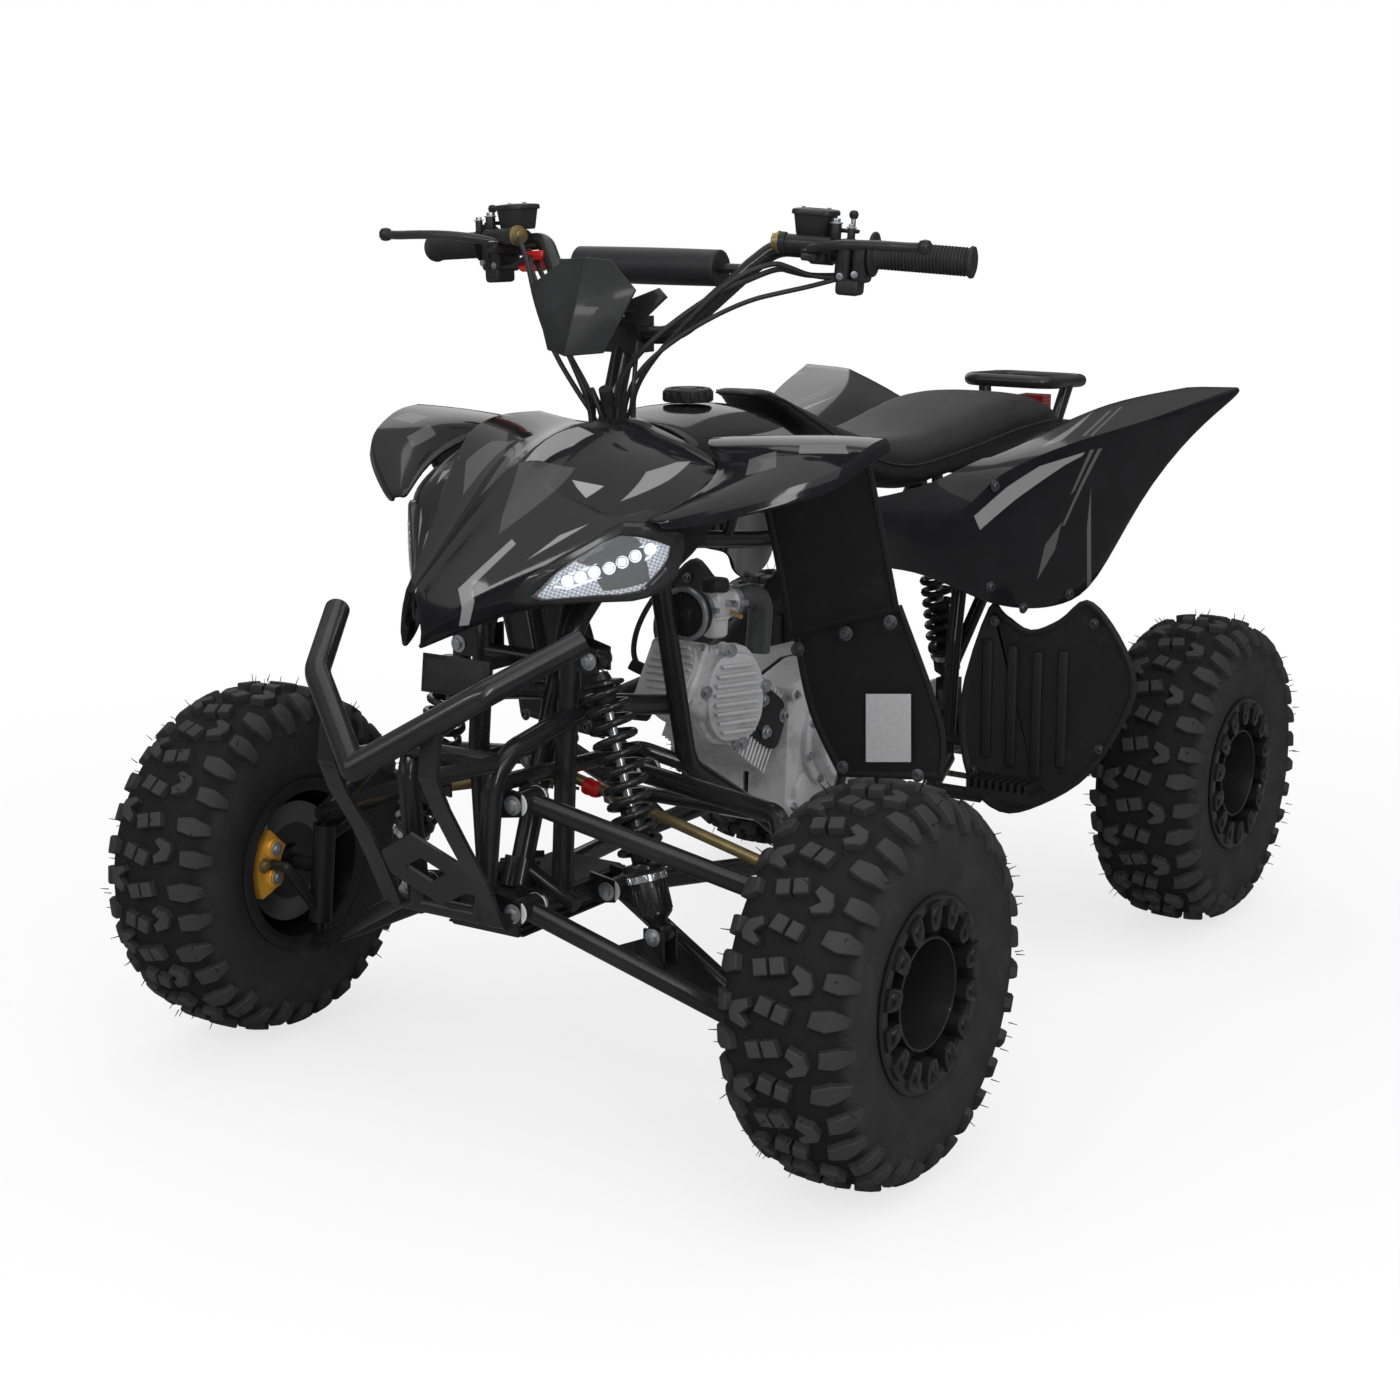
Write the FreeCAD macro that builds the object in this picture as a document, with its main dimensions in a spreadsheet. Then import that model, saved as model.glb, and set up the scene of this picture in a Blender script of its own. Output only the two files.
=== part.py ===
"""Sport quad bike of the 125 cc class, standing on its four wheels.

Frame: +Z up, the vehicle's front towards -Y, its left side towards +X, the ground at Z zero.
Lengths are millimetres. Stations along the vehicle are measured from the middle of the wheelbase.
"""

import FreeCAD, Part
import math
import os

import Sketcher

V = FreeCAD.Vector

# Driving sizes: alias, value, what it is
SIZES = [
    ("wheelbase", 1136, "front axle to rear axle"),
    ("front_track", 938, "between the centre planes of the front tyres"),
    ("rear_track", 751, "between the centre planes of the rear tyres"),
    ("mid_station", 61, "mid wheelbase from the origin, which lies under the middle of the overall length"),
    ("jig_width", 1000, "width of the jig whose grid carries the frame and body stations"),
    ("jig_length", 1000, "length of the same jig"),
    ("jig_height", 1000, "height of the same jig"),
    ("running_gap", 0.05, "radial clearance of a running fit"),
    ("seat_gap", 0.3, "clearance between pieces that rest on each other"),
    ("wheel_radius", 232, "tyre tread radius out to the lug tips"),
    ("tyre_width", 168, "tyre section width out to the side lugs"),
    ("lug_depth", 9, "tread lugs above the carcass"),
    ("rim_width", 150, "rim over its flanges"),
    ("flange_radius", 115, "rim flange"),
    ("flange_wall", 5, "thickness of a rim flange"),
    ("bead_radius", 102, "bead seat of the rim"),
    ("rim_wall", 5, "rim barrel wall"),
    ("barrel_radius", 62, "open centre barrel of the rim, inside"),
    ("barrel_wall", 4, "wall of that barrel"),
    ("ring_depth", 21, "depth of the ring recess that holds the blocks"),
    ("block_inset", 4, "blocks below the outer face of the rim"),
    ("block_hole", 6.5, "hole in each block"),
    ("web_wall", 6, "wheel disc that bolts to the hub"),
    ("web_depth", 75, "outer face of the rim down to the wheel disc"),
    ("pilot_radius", 22, "hub pilot in the wheel disc"),
    ("hub_flange_radius", 50, "hub flange under the wheel disc"),
    ("hub_flange_wall", 6, "thickness of that flange"),
    ("hub_radius", 23, "hub barrel"),
    ("hub_length", 46, "hub barrel inboard of its flange"),
    ("hub_cap_length", 14, "pilot beyond the wheel disc"),
    ("disc_radius", 80, "front brake disc"),
    ("disc_wall", 4, "brake disc thickness"),
    ("disc_inset", 38, "front brake disc inboard of the hub flange"),
    ("spindle_radius", 10, "stub axle"),
    ("kingpin_radius", 6, "ball joint studs on the kingpin axis"),
    ("knuckle_radius", 15, "upright boss around the kingpin"),
    ("ball_radius", 14, "ball joint housings at the arms' ends"),
    ("arm_tube", 25, "tube of the suspension arms"),
    ("arm_bush", 28, "bush at the arms' pivots"),
    ("bush_length", 36, "length of that bush"),
    ("pivot_pin", 10, "pivot bolts of the arms and shocks"),
    ("frame_tube", 26, "main tubes of the frame"),
    ("brace_tube", 20, "lighter tubes of the frame"),
    ("seat_tube", 22, "tubes of the rear subframe"),
    ("bend_radius", 55, "tube bends of the frame"),
    ("bracket_wall", 4, "plate brackets"),
    ("bumper_tube", 30, "bumper bar"),
    ("strap_wall", 6, "bumper straps"),
    ("strap_width", 26, "width of a bumper strap"),
    ("shock_radius", 21, "lower cylinder of a front shock"),
    ("shock_cylinder", 66, "length of that cylinder"),
    ("rod_radius", 6, "shock rod"),
    ("spring_radius", 27, "shock spring, outside"),
    ("spring_wire", 6.5, "spring wire"),
    ("eye_radius", 14, "shock eyes"),
    ("eye_width", 22, "width of a shock eye"),
    ("carrier_radius", 34, "rear axle carrier"),
    ("carrier_length", 112, "rear axle carrier along the axle"),
    ("axle_radius", 14, "rear axle"),
    ("sprocket_radius", 62, "rear sprocket out to its teeth"),
    ("sprocket_wall", 5, "rear sprocket thickness"),
    ("sprocket_offset", 78, "chain line from the centre line"),
    ("pinion_radius", 22, "front sprocket"),
    ("chain_width", 11, "chain over its plates"),
    ("chain_height", 11, "chain link height"),
    ("rear_disc_radius", 82, "rear brake disc"),
    ("case_width", 136, "engine case"),
    ("cover_radius", 66, "round side covers of the engine"),
    ("cover_wall", 36, "how far a side cover stands out"),
    ("cylinder_width", 96, "finned cylinder"),
    ("fin_wall", 3, "one cooling fin"),
    ("fin_pitch", 9, "fin spacing"),
    ("fin_depth", 9, "fin height above the cylinder"),
    ("panel_wall", 4, "moulded body panels"),
    ("cap_radius", 33, "fuel cap"),
    ("cap_height", 17, "fuel cap height"),
    ("stem_radius", 14, "steering stem"),
    ("stem_rake", 20, "steering stem lean in degrees"),
    ("bar_tube", 22, "handlebar tube"),
    ("grip_radius", 17, "handlebar grips"),
    ("grip_length", 122, "length of a grip"),
    ("pad_radius", 23, "handlebar crash pad"),
    ("pad_length", 218, "length of the crash pad"),
    ("link_tube", 14, "tie rods"),
    ("rack_tube", 20, "rear rack tube"),
    ("pipe_tube", 30, "exhaust header"),
    ("muffler_radius", 44, "exhaust muffler"),
    ("muffler_length", 300, "exhaust muffler length"),
    ("plate_wall", 3, "thin plates and the front shield"),
    ("peg_length", 110, "footpeg tread"),
    ("peg_width", 46, "footpeg tread across"),
    ("peg_height", 26, "footpeg depth"),
    ("caliper_bridge", 8, "caliper beyond the disc's edge"),
    ("caliper_width", 42, "caliper across the disc"),
    ("disc_gap", 2, "room between disc and caliper"),
    ("link_gap", 8, "room over the steering arm where the tie rod is open"),
    ("link_pin", 8, "tie rod pins"),
    ("rod_lift", 2.4, "room between the pitman plate and a tie rod eye"),
    ("rail_line", 52, "line of the rails that carry the suspension brackets"),
    ("chain_gap", 0.6, "room between the chain and the teeth"),
    ("rib_width", 14, "ribs of the heel guards"),
    ("rib_height", 8, "how far those ribs stand out"),
    ("lamp_depth", 22, "depth of a headlamp block"),
    ("lamp_proud", 1.5, "how far its lens stands out"),
    ("clamp_width", 60, "handlebar clamp"),
    ("clamp_depth", 36, "handlebar clamp along the vehicle"),
    ("clamp_height", 44, "handlebar clamp upright"),
    ("lever_radius", 5, "brake levers"),
    ("perch_radius", 17, "brake lever perch around the bar"),
    ("perch_length", 48, "that perch along the bar"),
    ("reservoir_length", 52, "brake reservoir along the bar"),
    ("reservoir_width", 40, "brake reservoir across the bar"),
    ("reservoir_height", 34, "brake reservoir upright"),
    ("switch_length", 40, "switch box along the bar"),
    ("switch_width", 40, "switch box across the bar"),
    ("switch_height", 56, "switch box upright"),
    ("cable_radius", 4, "control cables"),
    ("horn_radius", 34, "horn"),
    ("horn_depth", 26, "horn along the vehicle"),
    ("lamp_width", 44, "tail lamp"),
    ("lamp_height", 34, "tail lamp upright"),
    ("lamp_length", 30, "tail lamp along the vehicle"),
    ("crossbar_radius", 6, "crossbar of the handlebar inside its pad"),
    ("shift_radius", 6, "foot levers"),
    ("stay_radius", 7, "thin stays of the body panels"),
]


class Size:
    """A length that carries both its value and the sheet expression behind it."""

    def __init__(self, value, text):
        self.value = value
        self.text = text

    def __float__(self):
        return float(self.value)

    def __add__(self, other):
        return Size(self.value + other.value, f"({self.text} + {other.text})")

    def __sub__(self, other):
        return Size(self.value - other.value, f"({self.text} - {other.text})")

    def __neg__(self):
        return Size(-self.value, f"(0 - {self.text})")

    def __mul__(self, share):
        return Size(self.value * share, f"({self.text} * {share})")

    def __truediv__(self, count):
        return Size(self.value / count, f"({self.text} / {count})")


class Sheet:
    """The driving sizes as a spreadsheet, each reached by its alias."""

    def __init__(self, document):
        self.table = document.addObject("Spreadsheet::Sheet", "sizes")
        self.values = {}
        for row, (alias, value, note) in enumerate(SIZES, start=1):
            self.table.set(f"A{row}", note)
            self.table.set(f"B{row}", str(value))
            self.table.setAlias(f"B{row}", alias)
            self.values[alias] = value
        document.recompute()

    def __getattr__(self, alias):
        return Size(self.values[alias], f"sizes.{alias}")


DOC = FreeCAD.newDocument("quad_bike")
S = Sheet(DOC)
NOTHING = Size(0, "0")
PARTS = {}


def num(name):
    """A driving size as a plain number."""
    return float(S.values[name])


def keep(node, thing):
    """Registers the document object that becomes the piece called node."""
    thing.Label = node
    PARTS[node] = thing
    return thing


def feature(node, shape):
    """A sub-part whose shape is built from curves and solids."""
    thing = DOC.addObject("Part::Feature", node)
    thing.Shape = shape
    return keep(node, thing)


# Grid and vectors


def grid(shares):
    """A place on the jig, its station counted from mid wheelbase."""
    x_share, y_share, z_share = shares
    return V(
        x_share * num("jig_width"),
        num("mid_station") + y_share * num("jig_length"),
        z_share * num("jig_height"),
    )


def mirrored(point):
    """The same place on the vehicle's other side."""
    return V(-point.x, point.y, point.z)


def sided(point, side):
    """The place on the left (+1) or on the right (-1)."""
    return V(side * point.x, point.y, point.z)


def along(start, end, distance):
    """The place at a distance from start towards end."""
    return start + (end - start).normalize() * distance


# Solids from curves


def bent_path(points, bend):
    """Straight runs joined by tangent arcs, each as large as its runs allow."""
    edges = []
    start = points[0]
    for before, corner, after in zip(points, points[1:], points[2:]):
        back = (before - corner).normalize()
        ahead = (after - corner).normalize()
        half_turn = (math.pi - back.getAngle(ahead)) / 2
        room = 0.45 * min((before - corner).Length, (after - corner).Length)
        radius = min(bend, room / math.tan(half_turn))
        trim = radius * math.tan(half_turn)
        middle = corner + (back + ahead).normalize() * (radius / math.cos(half_turn) - radius)
        edges.append(Part.LineSegment(start, corner + back * trim).toShape())
        edges.append(Part.Arc(corner + back * trim, middle, corner + ahead * trim).toShape())
        start = corner + ahead * trim
    edges.append(Part.LineSegment(start, points[-1]).toShape())
    return Part.Wire(edges)


def tube(points, diameter, bend=None):
    """A round bar along a bent path."""
    if len(points) == 2:
        return rod(points[0], points[1], diameter / 2)
    path = bent_path(points, num("bend_radius") if bend is None else bend)
    ring = Part.Wire([Part.makeCircle(diameter / 2, points[0], points[1] - points[0])])
    return path.makePipeShell([ring], True, False)


def rod(start, end, radius):
    """A cylinder between two places."""
    return Part.makeCylinder(radius, (end - start).Length, start, end - start)


def ball(centre, radius):
    """A sphere about a place."""
    return Part.makeSphere(radius, centre)


def slab(corners, thickness):
    """A flat plate whose corners are given, thickened along a vector."""
    return Part.Face(Part.makePolygon(corners + corners[:1])).extrude(thickness)


def fused(shapes):
    """One solid out of pieces that overlap."""
    return shapes[0].multiFuse(shapes[1:]).removeSplitter()


def offset_inward(profile, wall):
    """The section's inner line: a wall inside a profile that runs from right to left over the top."""
    normals = []
    for (x0, z0), (x1, z1) in zip(profile, profile[1:]):
        length = math.hypot(x1 - x0, z1 - z0)
        normals.append(((z1 - z0) / length, -(x1 - x0) / length))
    inner = []
    for index, (x, z) in enumerate(profile):
        first = normals[max(index - 1, 0)]
        second = normals[min(index, len(normals) - 1)]
        blend = max(1 + first[0] * second[0] + first[1] * second[1], MITRE_LIMIT_SHARE)
        inner.append((x + wall * (first[0] + second[0]) / blend, z + wall * (first[1] + second[1]) / blend))
    return inner


MITRE_LIMIT_SHARE = 0.5


def skin(front, back):
    """A closed body of flat facets between two grids of places that have the same rows and columns."""
    faces = []

    def facet(*corners):
        sides = [(b - a).Length for a, b in zip(corners, corners[1:] + corners[:1])]
        if min(sides) > 0:
            faces.append(Part.Face(Part.makePolygon(list(corners) + [corners[0]])))

    def quad(a, b, c, d):
        facet(a, b, c)
        facet(a, c, d)

    rows = len(front)
    columns = len(front[0])
    for row in range(rows - 1):
        for column in range(columns - 1):
            low, high = front[row], front[row + 1]
            quad(low[column], low[column + 1], high[column + 1], high[column])
            low, high = back[row], back[row + 1]
            quad(low[column], high[column], high[column + 1], low[column + 1])
        for column in (0, columns - 1):
            quad(front[row][column], front[row + 1][column], back[row + 1][column], back[row][column])
    for column in range(columns - 1):
        for row in (0, rows - 1):
            quad(front[row][column], front[row][column + 1], back[row][column + 1], back[row][column])
    solid = Part.Solid(Part.Shell(faces))
    if solid.Volume < 0:
        solid.reverse()
    return solid


def shell(stations, symmetric, wall):
    """A moulded panel through open sections, each a station and its line of (x, z) shares."""
    front = []
    back = []
    for y_share, line_shares in stations:
        line = [(x * num("jig_width"), z * num("jig_height")) for x, z in line_shares]
        if symmetric:
            line = [(-x, z) for x, z in reversed(line[1:])] + line
        y = num("mid_station") + y_share * num("jig_length")
        front.append([V(x, y, z) for x, z in line])
        back.append([V(x, y, z) for x, z in offset_inward(line, wall)])
    return skin(front, back)


def panel_mark(stations, y_share, place, wall):
    """A point inside a panel's wall, its place counted along the section's line at a station."""
    before = max(index for index in range(len(stations) - 1) if stations[index][0] <= y_share)
    (y0, low), (y1, high) = stations[before], stations[before + 1]
    share = (y_share - y0) / (y1 - y0)
    line = []
    for (x_low, z_low), (x_high, z_high) in zip(low, high):
        x = x_low + (x_high - x_low) * share
        z = z_low + (z_high - z_low) * share
        line.append((x * num("jig_width"), z * num("jig_height")))
    inner = offset_inward(line, wall / 2)
    at = min(int(place), len(inner) - 2)
    (x0, z0), (x1, z1) = inner[at], inner[at + 1]
    rest = place - at
    return V(x0 + (x1 - x0) * rest, num("mid_station") + y_share * num("jig_length"), z0 + (z1 - z0) * rest)


def flipped(shape):
    """The shape on the vehicle's other side."""
    return shape.mirror(V(0, 0, 0), V(1, 0, 0))


# Bodies from sketches


def new_body(name):
    """A body of its own."""
    return DOC.addObject("PartDesign::Body", name)


def plane_of(body, role):
    """One of the body's own origin planes."""
    return next(item for item in body.Origin.OriginFeatures if item.Role == role)


def sketch_on(body, role, depth=None):
    """A sketch attached to an origin plane, moved out by a bound depth."""
    sketch = body.newObject("Sketcher::SketchObject", "Outline")
    sketch.AttachmentSupport = [(plane_of(body, role), "")]
    sketch.MapMode = "FlatFace"
    if depth is not None:
        sketch.setExpression("AttachmentOffset.Base.z", depth.text)
    return sketch


def bind(sketch, kind, geometry, vertex, size):
    """Fixes one coordinate of a sketch vertex to a size."""
    index = sketch.addConstraint(Sketcher.Constraint(kind, -1, 1, geometry, vertex, size.value))
    sketch.setExpression(f"Constraints[{index}]", size.text)


def polygon(sketch, corners):
    """A closed outline whose corners are pairs of sizes."""
    count = len(corners)
    first = sketch.GeometryCount
    for index in range(count):
        a = corners[index]
        b = corners[(index + 1) % count]
        line = Part.LineSegment(V(float(a[0]), float(a[1]), 0), V(float(b[0]), float(b[1]), 0))
        sketch.addGeometry(line, False)
    for index in range(count):
        following = first + (index + 1) % count
        sketch.addConstraint(Sketcher.Constraint("Coincident", first + index, 2, following, 1))
    for index, (x, y) in enumerate(corners):
        bind(sketch, "DistanceX", first + index, 1, x)
        bind(sketch, "DistanceY", first + index, 1, y)


def circle(sketch, x, y, radius):
    """A circle at a bound centre with a bound radius."""
    index = sketch.addGeometry(Part.Circle(V(float(x), float(y), 0), V(0, 0, 1), float(radius)), False)
    bind(sketch, "DistanceX", index, 3, x)
    bind(sketch, "DistanceY", index, 3, y)
    constraint = sketch.addConstraint(Sketcher.Constraint("Radius", index, float(radius)))
    sketch.setExpression(f"Constraints[{constraint}]", radius.text)


def revolved(body, corners, axis="H_Axis"):
    """A full turn of an outline drawn in the body's XZ plane."""
    sketch = sketch_on(body, "XZ_Plane")
    polygon(sketch, corners)
    turn = body.newObject("PartDesign::Revolution", "Turn")
    turn.Profile = sketch
    turn.ReferenceAxis = (sketch, [axis])
    turn.Angle = 360
    return turn


def padded(body, sketch, length, midplane=False, reverse=False):
    """A sketch pushed out by a bound length."""
    pad = body.newObject("PartDesign::Pad", "Pad")
    pad.Profile = sketch
    pad.setExpression("Length", length.text)
    pad.Midplane = midplane
    pad.Reversed = reverse
    return pad


def placed(body, position, rotation=None):
    """Puts a body at its place in the vehicle."""
    body.Placement = FreeCAD.Placement(position, rotation or FreeCAD.Rotation())
    return body


def turned_half(axis=V(0, 0, 1)):
    """Half a turn, which makes a left piece face right."""
    return FreeCAD.Rotation(axis, 180)


# Driving places


def front_centre(side):
    return V(side * num("front_track") / 2, num("mid_station") - num("wheelbase") / 2, num("wheel_radius"))


def rear_centre(side):
    return V(side * num("rear_track") / 2, num("mid_station") + num("wheelbase") / 2, num("wheel_radius"))


def stem_point(z_share):
    """A place on the steering axis at a height given as a share of the jig's."""
    top = grid(STEM_TOP_SHARES)
    drop = top.z - z_share * num("jig_height")
    return V(0, top.y - drop * math.tan(math.radians(num("stem_rake"))), top.z - drop)


STEM_TOP_SHARES = (0, -0.385, 0.925)

# Ball joints of a front wheel, from its centre, as shares of the wheel radius
LOWER_BALL_SHARES = (-0.418, -0.017, -0.44)
UPPER_BALL_SHARES = (-0.47, 0.013, 0.315)
ARM_JOINT_SHARES = (-0.513, 0.22, 0.293)


def from_wheel(side, shares):
    """A place given from the front wheel's centre in shares of its radius."""
    centre = front_centre(side)
    radius = num("wheel_radius")
    return V(centre.x + side * shares[0] * radius, centre.y + shares[1] * radius, centre.z + shares[2] * radius)


# Wheels

# Half of the tyre's section: width share, radius share, row of lugs it belongs to.
TYRE_SHARES = [
    (1.0, 0.70, None),
    (0.965, 0.905, "shoulder"),
    (0.78, 0.978, "shoulder"),
    (0.27, 1.0, "centre"),
]
# Where a lug starts and ends along one pitch of the tread, a gap behind each.
LUG_SHARES = (0, 0.43, 0.5, 0.93)
LUG_ROWS = {"centre": (1, 1, 0, 0), "shoulder": (0, 0, 1, 1)}
LUG_PITCHES = 14


def tyre_half(step, mirror):
    """One half of the tyre's section at one step of the tread, from the bead out, lugs up or down."""
    half = num("tyre_width") / 2
    bead = num("rim_width") / 2 - num("flange_wall") - num("seat_gap")
    sag = math.cos(math.pi * LUG_SHARES[1] / LUG_PITCHES)
    floor = (num("bead_radius") + num("seat_gap")) / sag
    line = [(bead, floor), (bead, (num("flange_radius") + num("seat_gap")) / sag)]
    for x_share, r_share, row in TYRE_SHARES:
        up = row is None or LUG_ROWS[row][(step + 2 * mirror) % len(LUG_SHARES)]
        drop = 0 if up else num("lug_depth")
        line.append((half * x_share, num("wheel_radius") * r_share - drop))
    return line


def ring_skin(rings):
    """A closed body of flat facets through rings of places that run round an axle."""
    faces = []
    for ring, after in zip(rings, rings[1:] + rings[:1]):
        places = zip(ring, ring[1:] + ring[:1], after, after[1:] + after[:1])
        for a, b, d, c in places:
            faces.append(Part.Face(Part.makePolygon([a, b, c, a])))
            faces.append(Part.Face(Part.makePolygon([a, c, d, a])))
    solid = Part.Solid(Part.Shell(faces))
    if solid.Volume < 0:
        solid.reverse()
    return solid


def lugged_tyre():
    """Low-pressure balloon tyre about the X axis: lugs in two halves that stand half a pitch apart."""
    rings = []
    steps = len(LUG_SHARES)
    for index in range(LUG_PITCHES * steps):
        pitch, step = divmod(index, steps)
        angle = math.tau * (pitch + LUG_SHARES[step]) / LUG_PITCHES - math.pi / 2
        left = [(-x, r) for x, r in reversed(tyre_half(step, 0))]
        section = tyre_half(step, 1) + left
        rings.append([V(x, r * math.cos(angle), r * math.sin(angle)) for x, r in section])
    return ring_skin(rings)


TYRE_FORM = lugged_tyre()


def tyre(node, centre, side):
    """The lugged tyre at a wheel's centre, its tread mirrored from side to side."""
    shape = TYRE_FORM.copy() if side > 0 else TYRE_FORM.mirror(V(), V(1, 0, 0))
    shape.translate(centre)
    return feature(node, shape)


def rim(node, centre, side):
    """Rim with a deep open barrel in the middle and a ring recess around it on the outer side."""
    body = new_body(node)
    outer = S.rim_width / 2
    floor = outer - S.ring_depth
    web = outer - S.web_depth
    inside = S.bead_radius - S.rim_wall
    barrel = S.barrel_radius + S.barrel_wall
    corners = [
        (outer, S.flange_radius),
        (outer - S.flange_wall, S.flange_radius),
        (outer - S.flange_wall, S.bead_radius),
        (S.flange_wall - outer, S.bead_radius),
        (S.flange_wall - outer, S.flange_radius),
        (-outer, S.flange_radius),
        (-outer, inside),
        (floor - S.rim_wall, inside),
        (floor - S.rim_wall, barrel),
        (web - S.web_wall, barrel),
        (web - S.web_wall, S.pilot_radius),
        (web, S.pilot_radius),
        (web, S.barrel_radius),
        (outer - S.rim_wall, S.barrel_radius),
        (outer - S.rim_wall, barrel),
        (floor, barrel),
        (floor, inside),
        (outer - S.flange_wall, inside),
        (outer, S.bead_radius),
    ]
    revolved(body, corners)
    DOC.recompute()
    shape = body.Shape.multiFuse(rim_blocks())
    if side < 0:
        shape.rotate(V(), V(0, 0, 1), math.degrees(math.pi))
    shape.translate(centre)
    return feature(node, shape)


RIM_BLOCKS = 14
BLOCK_INNER_SHARE = 0.52
BLOCK_OUTER_SHARE = 0.76
BLOCK_HOLE_SHARE = 0.6


def rim_blocks():
    """The ring of drilled blocks in the recess, wide at the flange and narrow at the barrel."""
    near = num("barrel_radius") + num("barrel_wall") / 2
    far = num("bead_radius") - num("rim_wall") / 2
    floor = num("rim_width") / 2 - num("ring_depth") - num("rim_wall") / 2
    top = num("rim_width") / 2 - num("block_inset")
    reach = math.pi / RIM_BLOCKS
    inner = near * math.tan(reach * BLOCK_INNER_SHARE)
    outer = far * math.tan(reach * BLOCK_OUTER_SHARE)
    corners = [V(floor, -inner, near), V(floor, inner, near), V(floor, outer, far), V(floor, -outer, far)]
    block = slab(corners, V(top - floor, 0, 0))
    middle = near + (far - near) * BLOCK_HOLE_SHARE
    start = floor + num("rim_wall") / 2
    block = block.cut(rod(V(start, 0, middle), V(top + num("rim_wall"), 0, middle), num("block_hole")))
    blocks = []
    for index in range(RIM_BLOCKS):
        turned = block.copy()
        turned.rotate(V(), V(1, 0, 0), math.degrees(2 * reach * index))
        blocks.append(turned)
    return blocks


def front_hub(node, centre, side):
    """Hub with its flange, its brake disc and the bore that runs on the stub axle."""
    body = new_body(node)
    face = S.rim_width / 2 - S.web_depth - S.web_wall
    flange = face - S.hub_flange_wall
    end = flange - S.hub_length
    disc = flange - S.disc_inset
    bore = S.spindle_radius + S.running_gap
    corners = [
        (face + S.web_wall + S.hub_cap_length, NOTHING),
        (face + S.web_wall + S.hub_cap_length, S.pilot_radius * 0.8),
        (face + S.web_wall, S.pilot_radius - S.seat_gap),
        (face, S.pilot_radius - S.seat_gap),
        (face, S.hub_flange_radius),
        (flange, S.hub_flange_radius),
        (flange, S.hub_radius),
        (disc + S.disc_wall, S.hub_radius),
        (disc + S.disc_wall, S.disc_radius),
        (disc, S.disc_radius),
        (disc, S.hub_radius),
        (end, S.hub_radius),
        (end, bore),
        (flange, bore),
        (flange, NOTHING),
    ]
    revolved(body, corners)
    return keep(node, placed(body, centre, turned_half() if side < 0 else None))


def rear_axle():
    """Solid rear axle with wheel flanges, sprocket and brake disc, one turning piece."""
    body = new_body("rear_axle")
    wheel = S.rear_track / 2
    face = wheel + S.rim_width / 2 - S.web_depth - S.web_wall
    flange = face - S.hub_flange_wall
    end = face + S.web_wall + S.hub_cap_length
    line = S.sprocket_offset
    right = [
        (S.carrier_length / 2 + S.seat_gap, S.axle_radius),
        (line - S.sprocket_wall / 2, S.hub_radius),
        (line - S.sprocket_wall / 2, S.sprocket_radius),
        (line + S.sprocket_wall / 2, S.sprocket_radius),
        (line + S.sprocket_wall / 2, S.hub_radius),
        (line + S.hub_radius, S.hub_radius),
        (line + S.hub_radius, S.axle_radius),
        (flange - S.hub_length, S.axle_radius),
        (flange - S.hub_length, S.hub_radius),
        (flange, S.hub_radius),
        (flange, S.hub_flange_radius),
        (face, S.hub_flange_radius),
        (face, S.pilot_radius - S.seat_gap),
        (face + S.web_wall, S.pilot_radius - S.seat_gap),
        (end, S.pilot_radius * 0.8),
        (end, NOTHING),
    ]
    swap = {S.sprocket_radius.text: S.rear_disc_radius}
    left = [(-x, swap.get(r.text, r)) for x, r in reversed(right)]
    revolved(body, right + left)
    middle = V(0, rear_centre(1).y, num("wheel_radius"))
    return keep("rear_axle", placed(body, middle))


# Front suspension

LOWER_PIVOT_FRONT_SHARES = (0.080, -0.705, 0.288)
LOWER_PIVOT_REAR_SHARES = (0.080, -0.520, 0.268)
UPPER_PIVOT_FRONT_SHARES = (0.078, -0.698, 0.416)
UPPER_PIVOT_REAR_SHARES = (0.078, -0.470, 0.402)
UPPER_ARM_KINK_SHARES = (0.303, -0.509, 0.390)
SHOCK_TOP_SHARES = (0.098, -0.586, 0.566)
SHOCK_FOOT_SHARES = (0.202, -0.607, 0.252)
ARM_PIVOT_SHARES = {
    "lower": (LOWER_PIVOT_FRONT_SHARES, LOWER_PIVOT_REAR_SHARES),
    "upper": (UPPER_PIVOT_FRONT_SHARES, UPPER_PIVOT_REAR_SHARES),
}
EAR_SHARE = 0.6
STUD_SHARE = 3.4
GUSSET_START_SHARE = 0.30
GUSSET_END_SHARE = 0.86


def bush(pivot):
    """The bush of an arm's pivot, along the vehicle, with a clear bore for its bolt."""
    half = V(0, num("bush_length") / 2, 0)
    outside = rod(pivot - half, pivot + half, num("arm_bush") / 2)
    return outside, rod(pivot - half, pivot + half, num("pivot_pin") / 2 + num("seat_gap"))


def arm(side, level):
    """One A-arm: two tubes from its bushes to the ball joint housing, and that joint's stud."""
    lower = from_wheel(side, LOWER_BALL_SHARES)
    upper = from_wheel(side, UPPER_BALL_SHARES)
    joint, other = (lower, upper) if level == "lower" else (upper, lower)
    pivots = [sided(grid(shares), side) for shares in ARM_PIVOT_SHARES[level]]
    shapes = []
    bores = []
    for index, pivot in enumerate(pivots):
        outside, bore = bush(pivot)
        run = [pivot, joint]
        if level == "upper" and index == 1:
            run = [pivot, sided(grid(UPPER_ARM_KINK_SHARES), side), joint]
        shapes += [tube(run, num("arm_tube"), num("frame_tube")), outside]
        bores.append(bore)
    shapes.append(ball(joint, num("ball_radius")))
    shapes.append(rod(joint, along(joint, other, stud_reach()), num("kingpin_radius")))
    if level == "lower":
        shapes += lower_arm_gusset(side, pivots, joint)
    return fused(shapes).cut(bores[0].fuse(bores[1]))


def stud_reach():
    """How far a ball stud reaches into the upright."""
    return num("ball_radius") * STUD_SHARE


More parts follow.
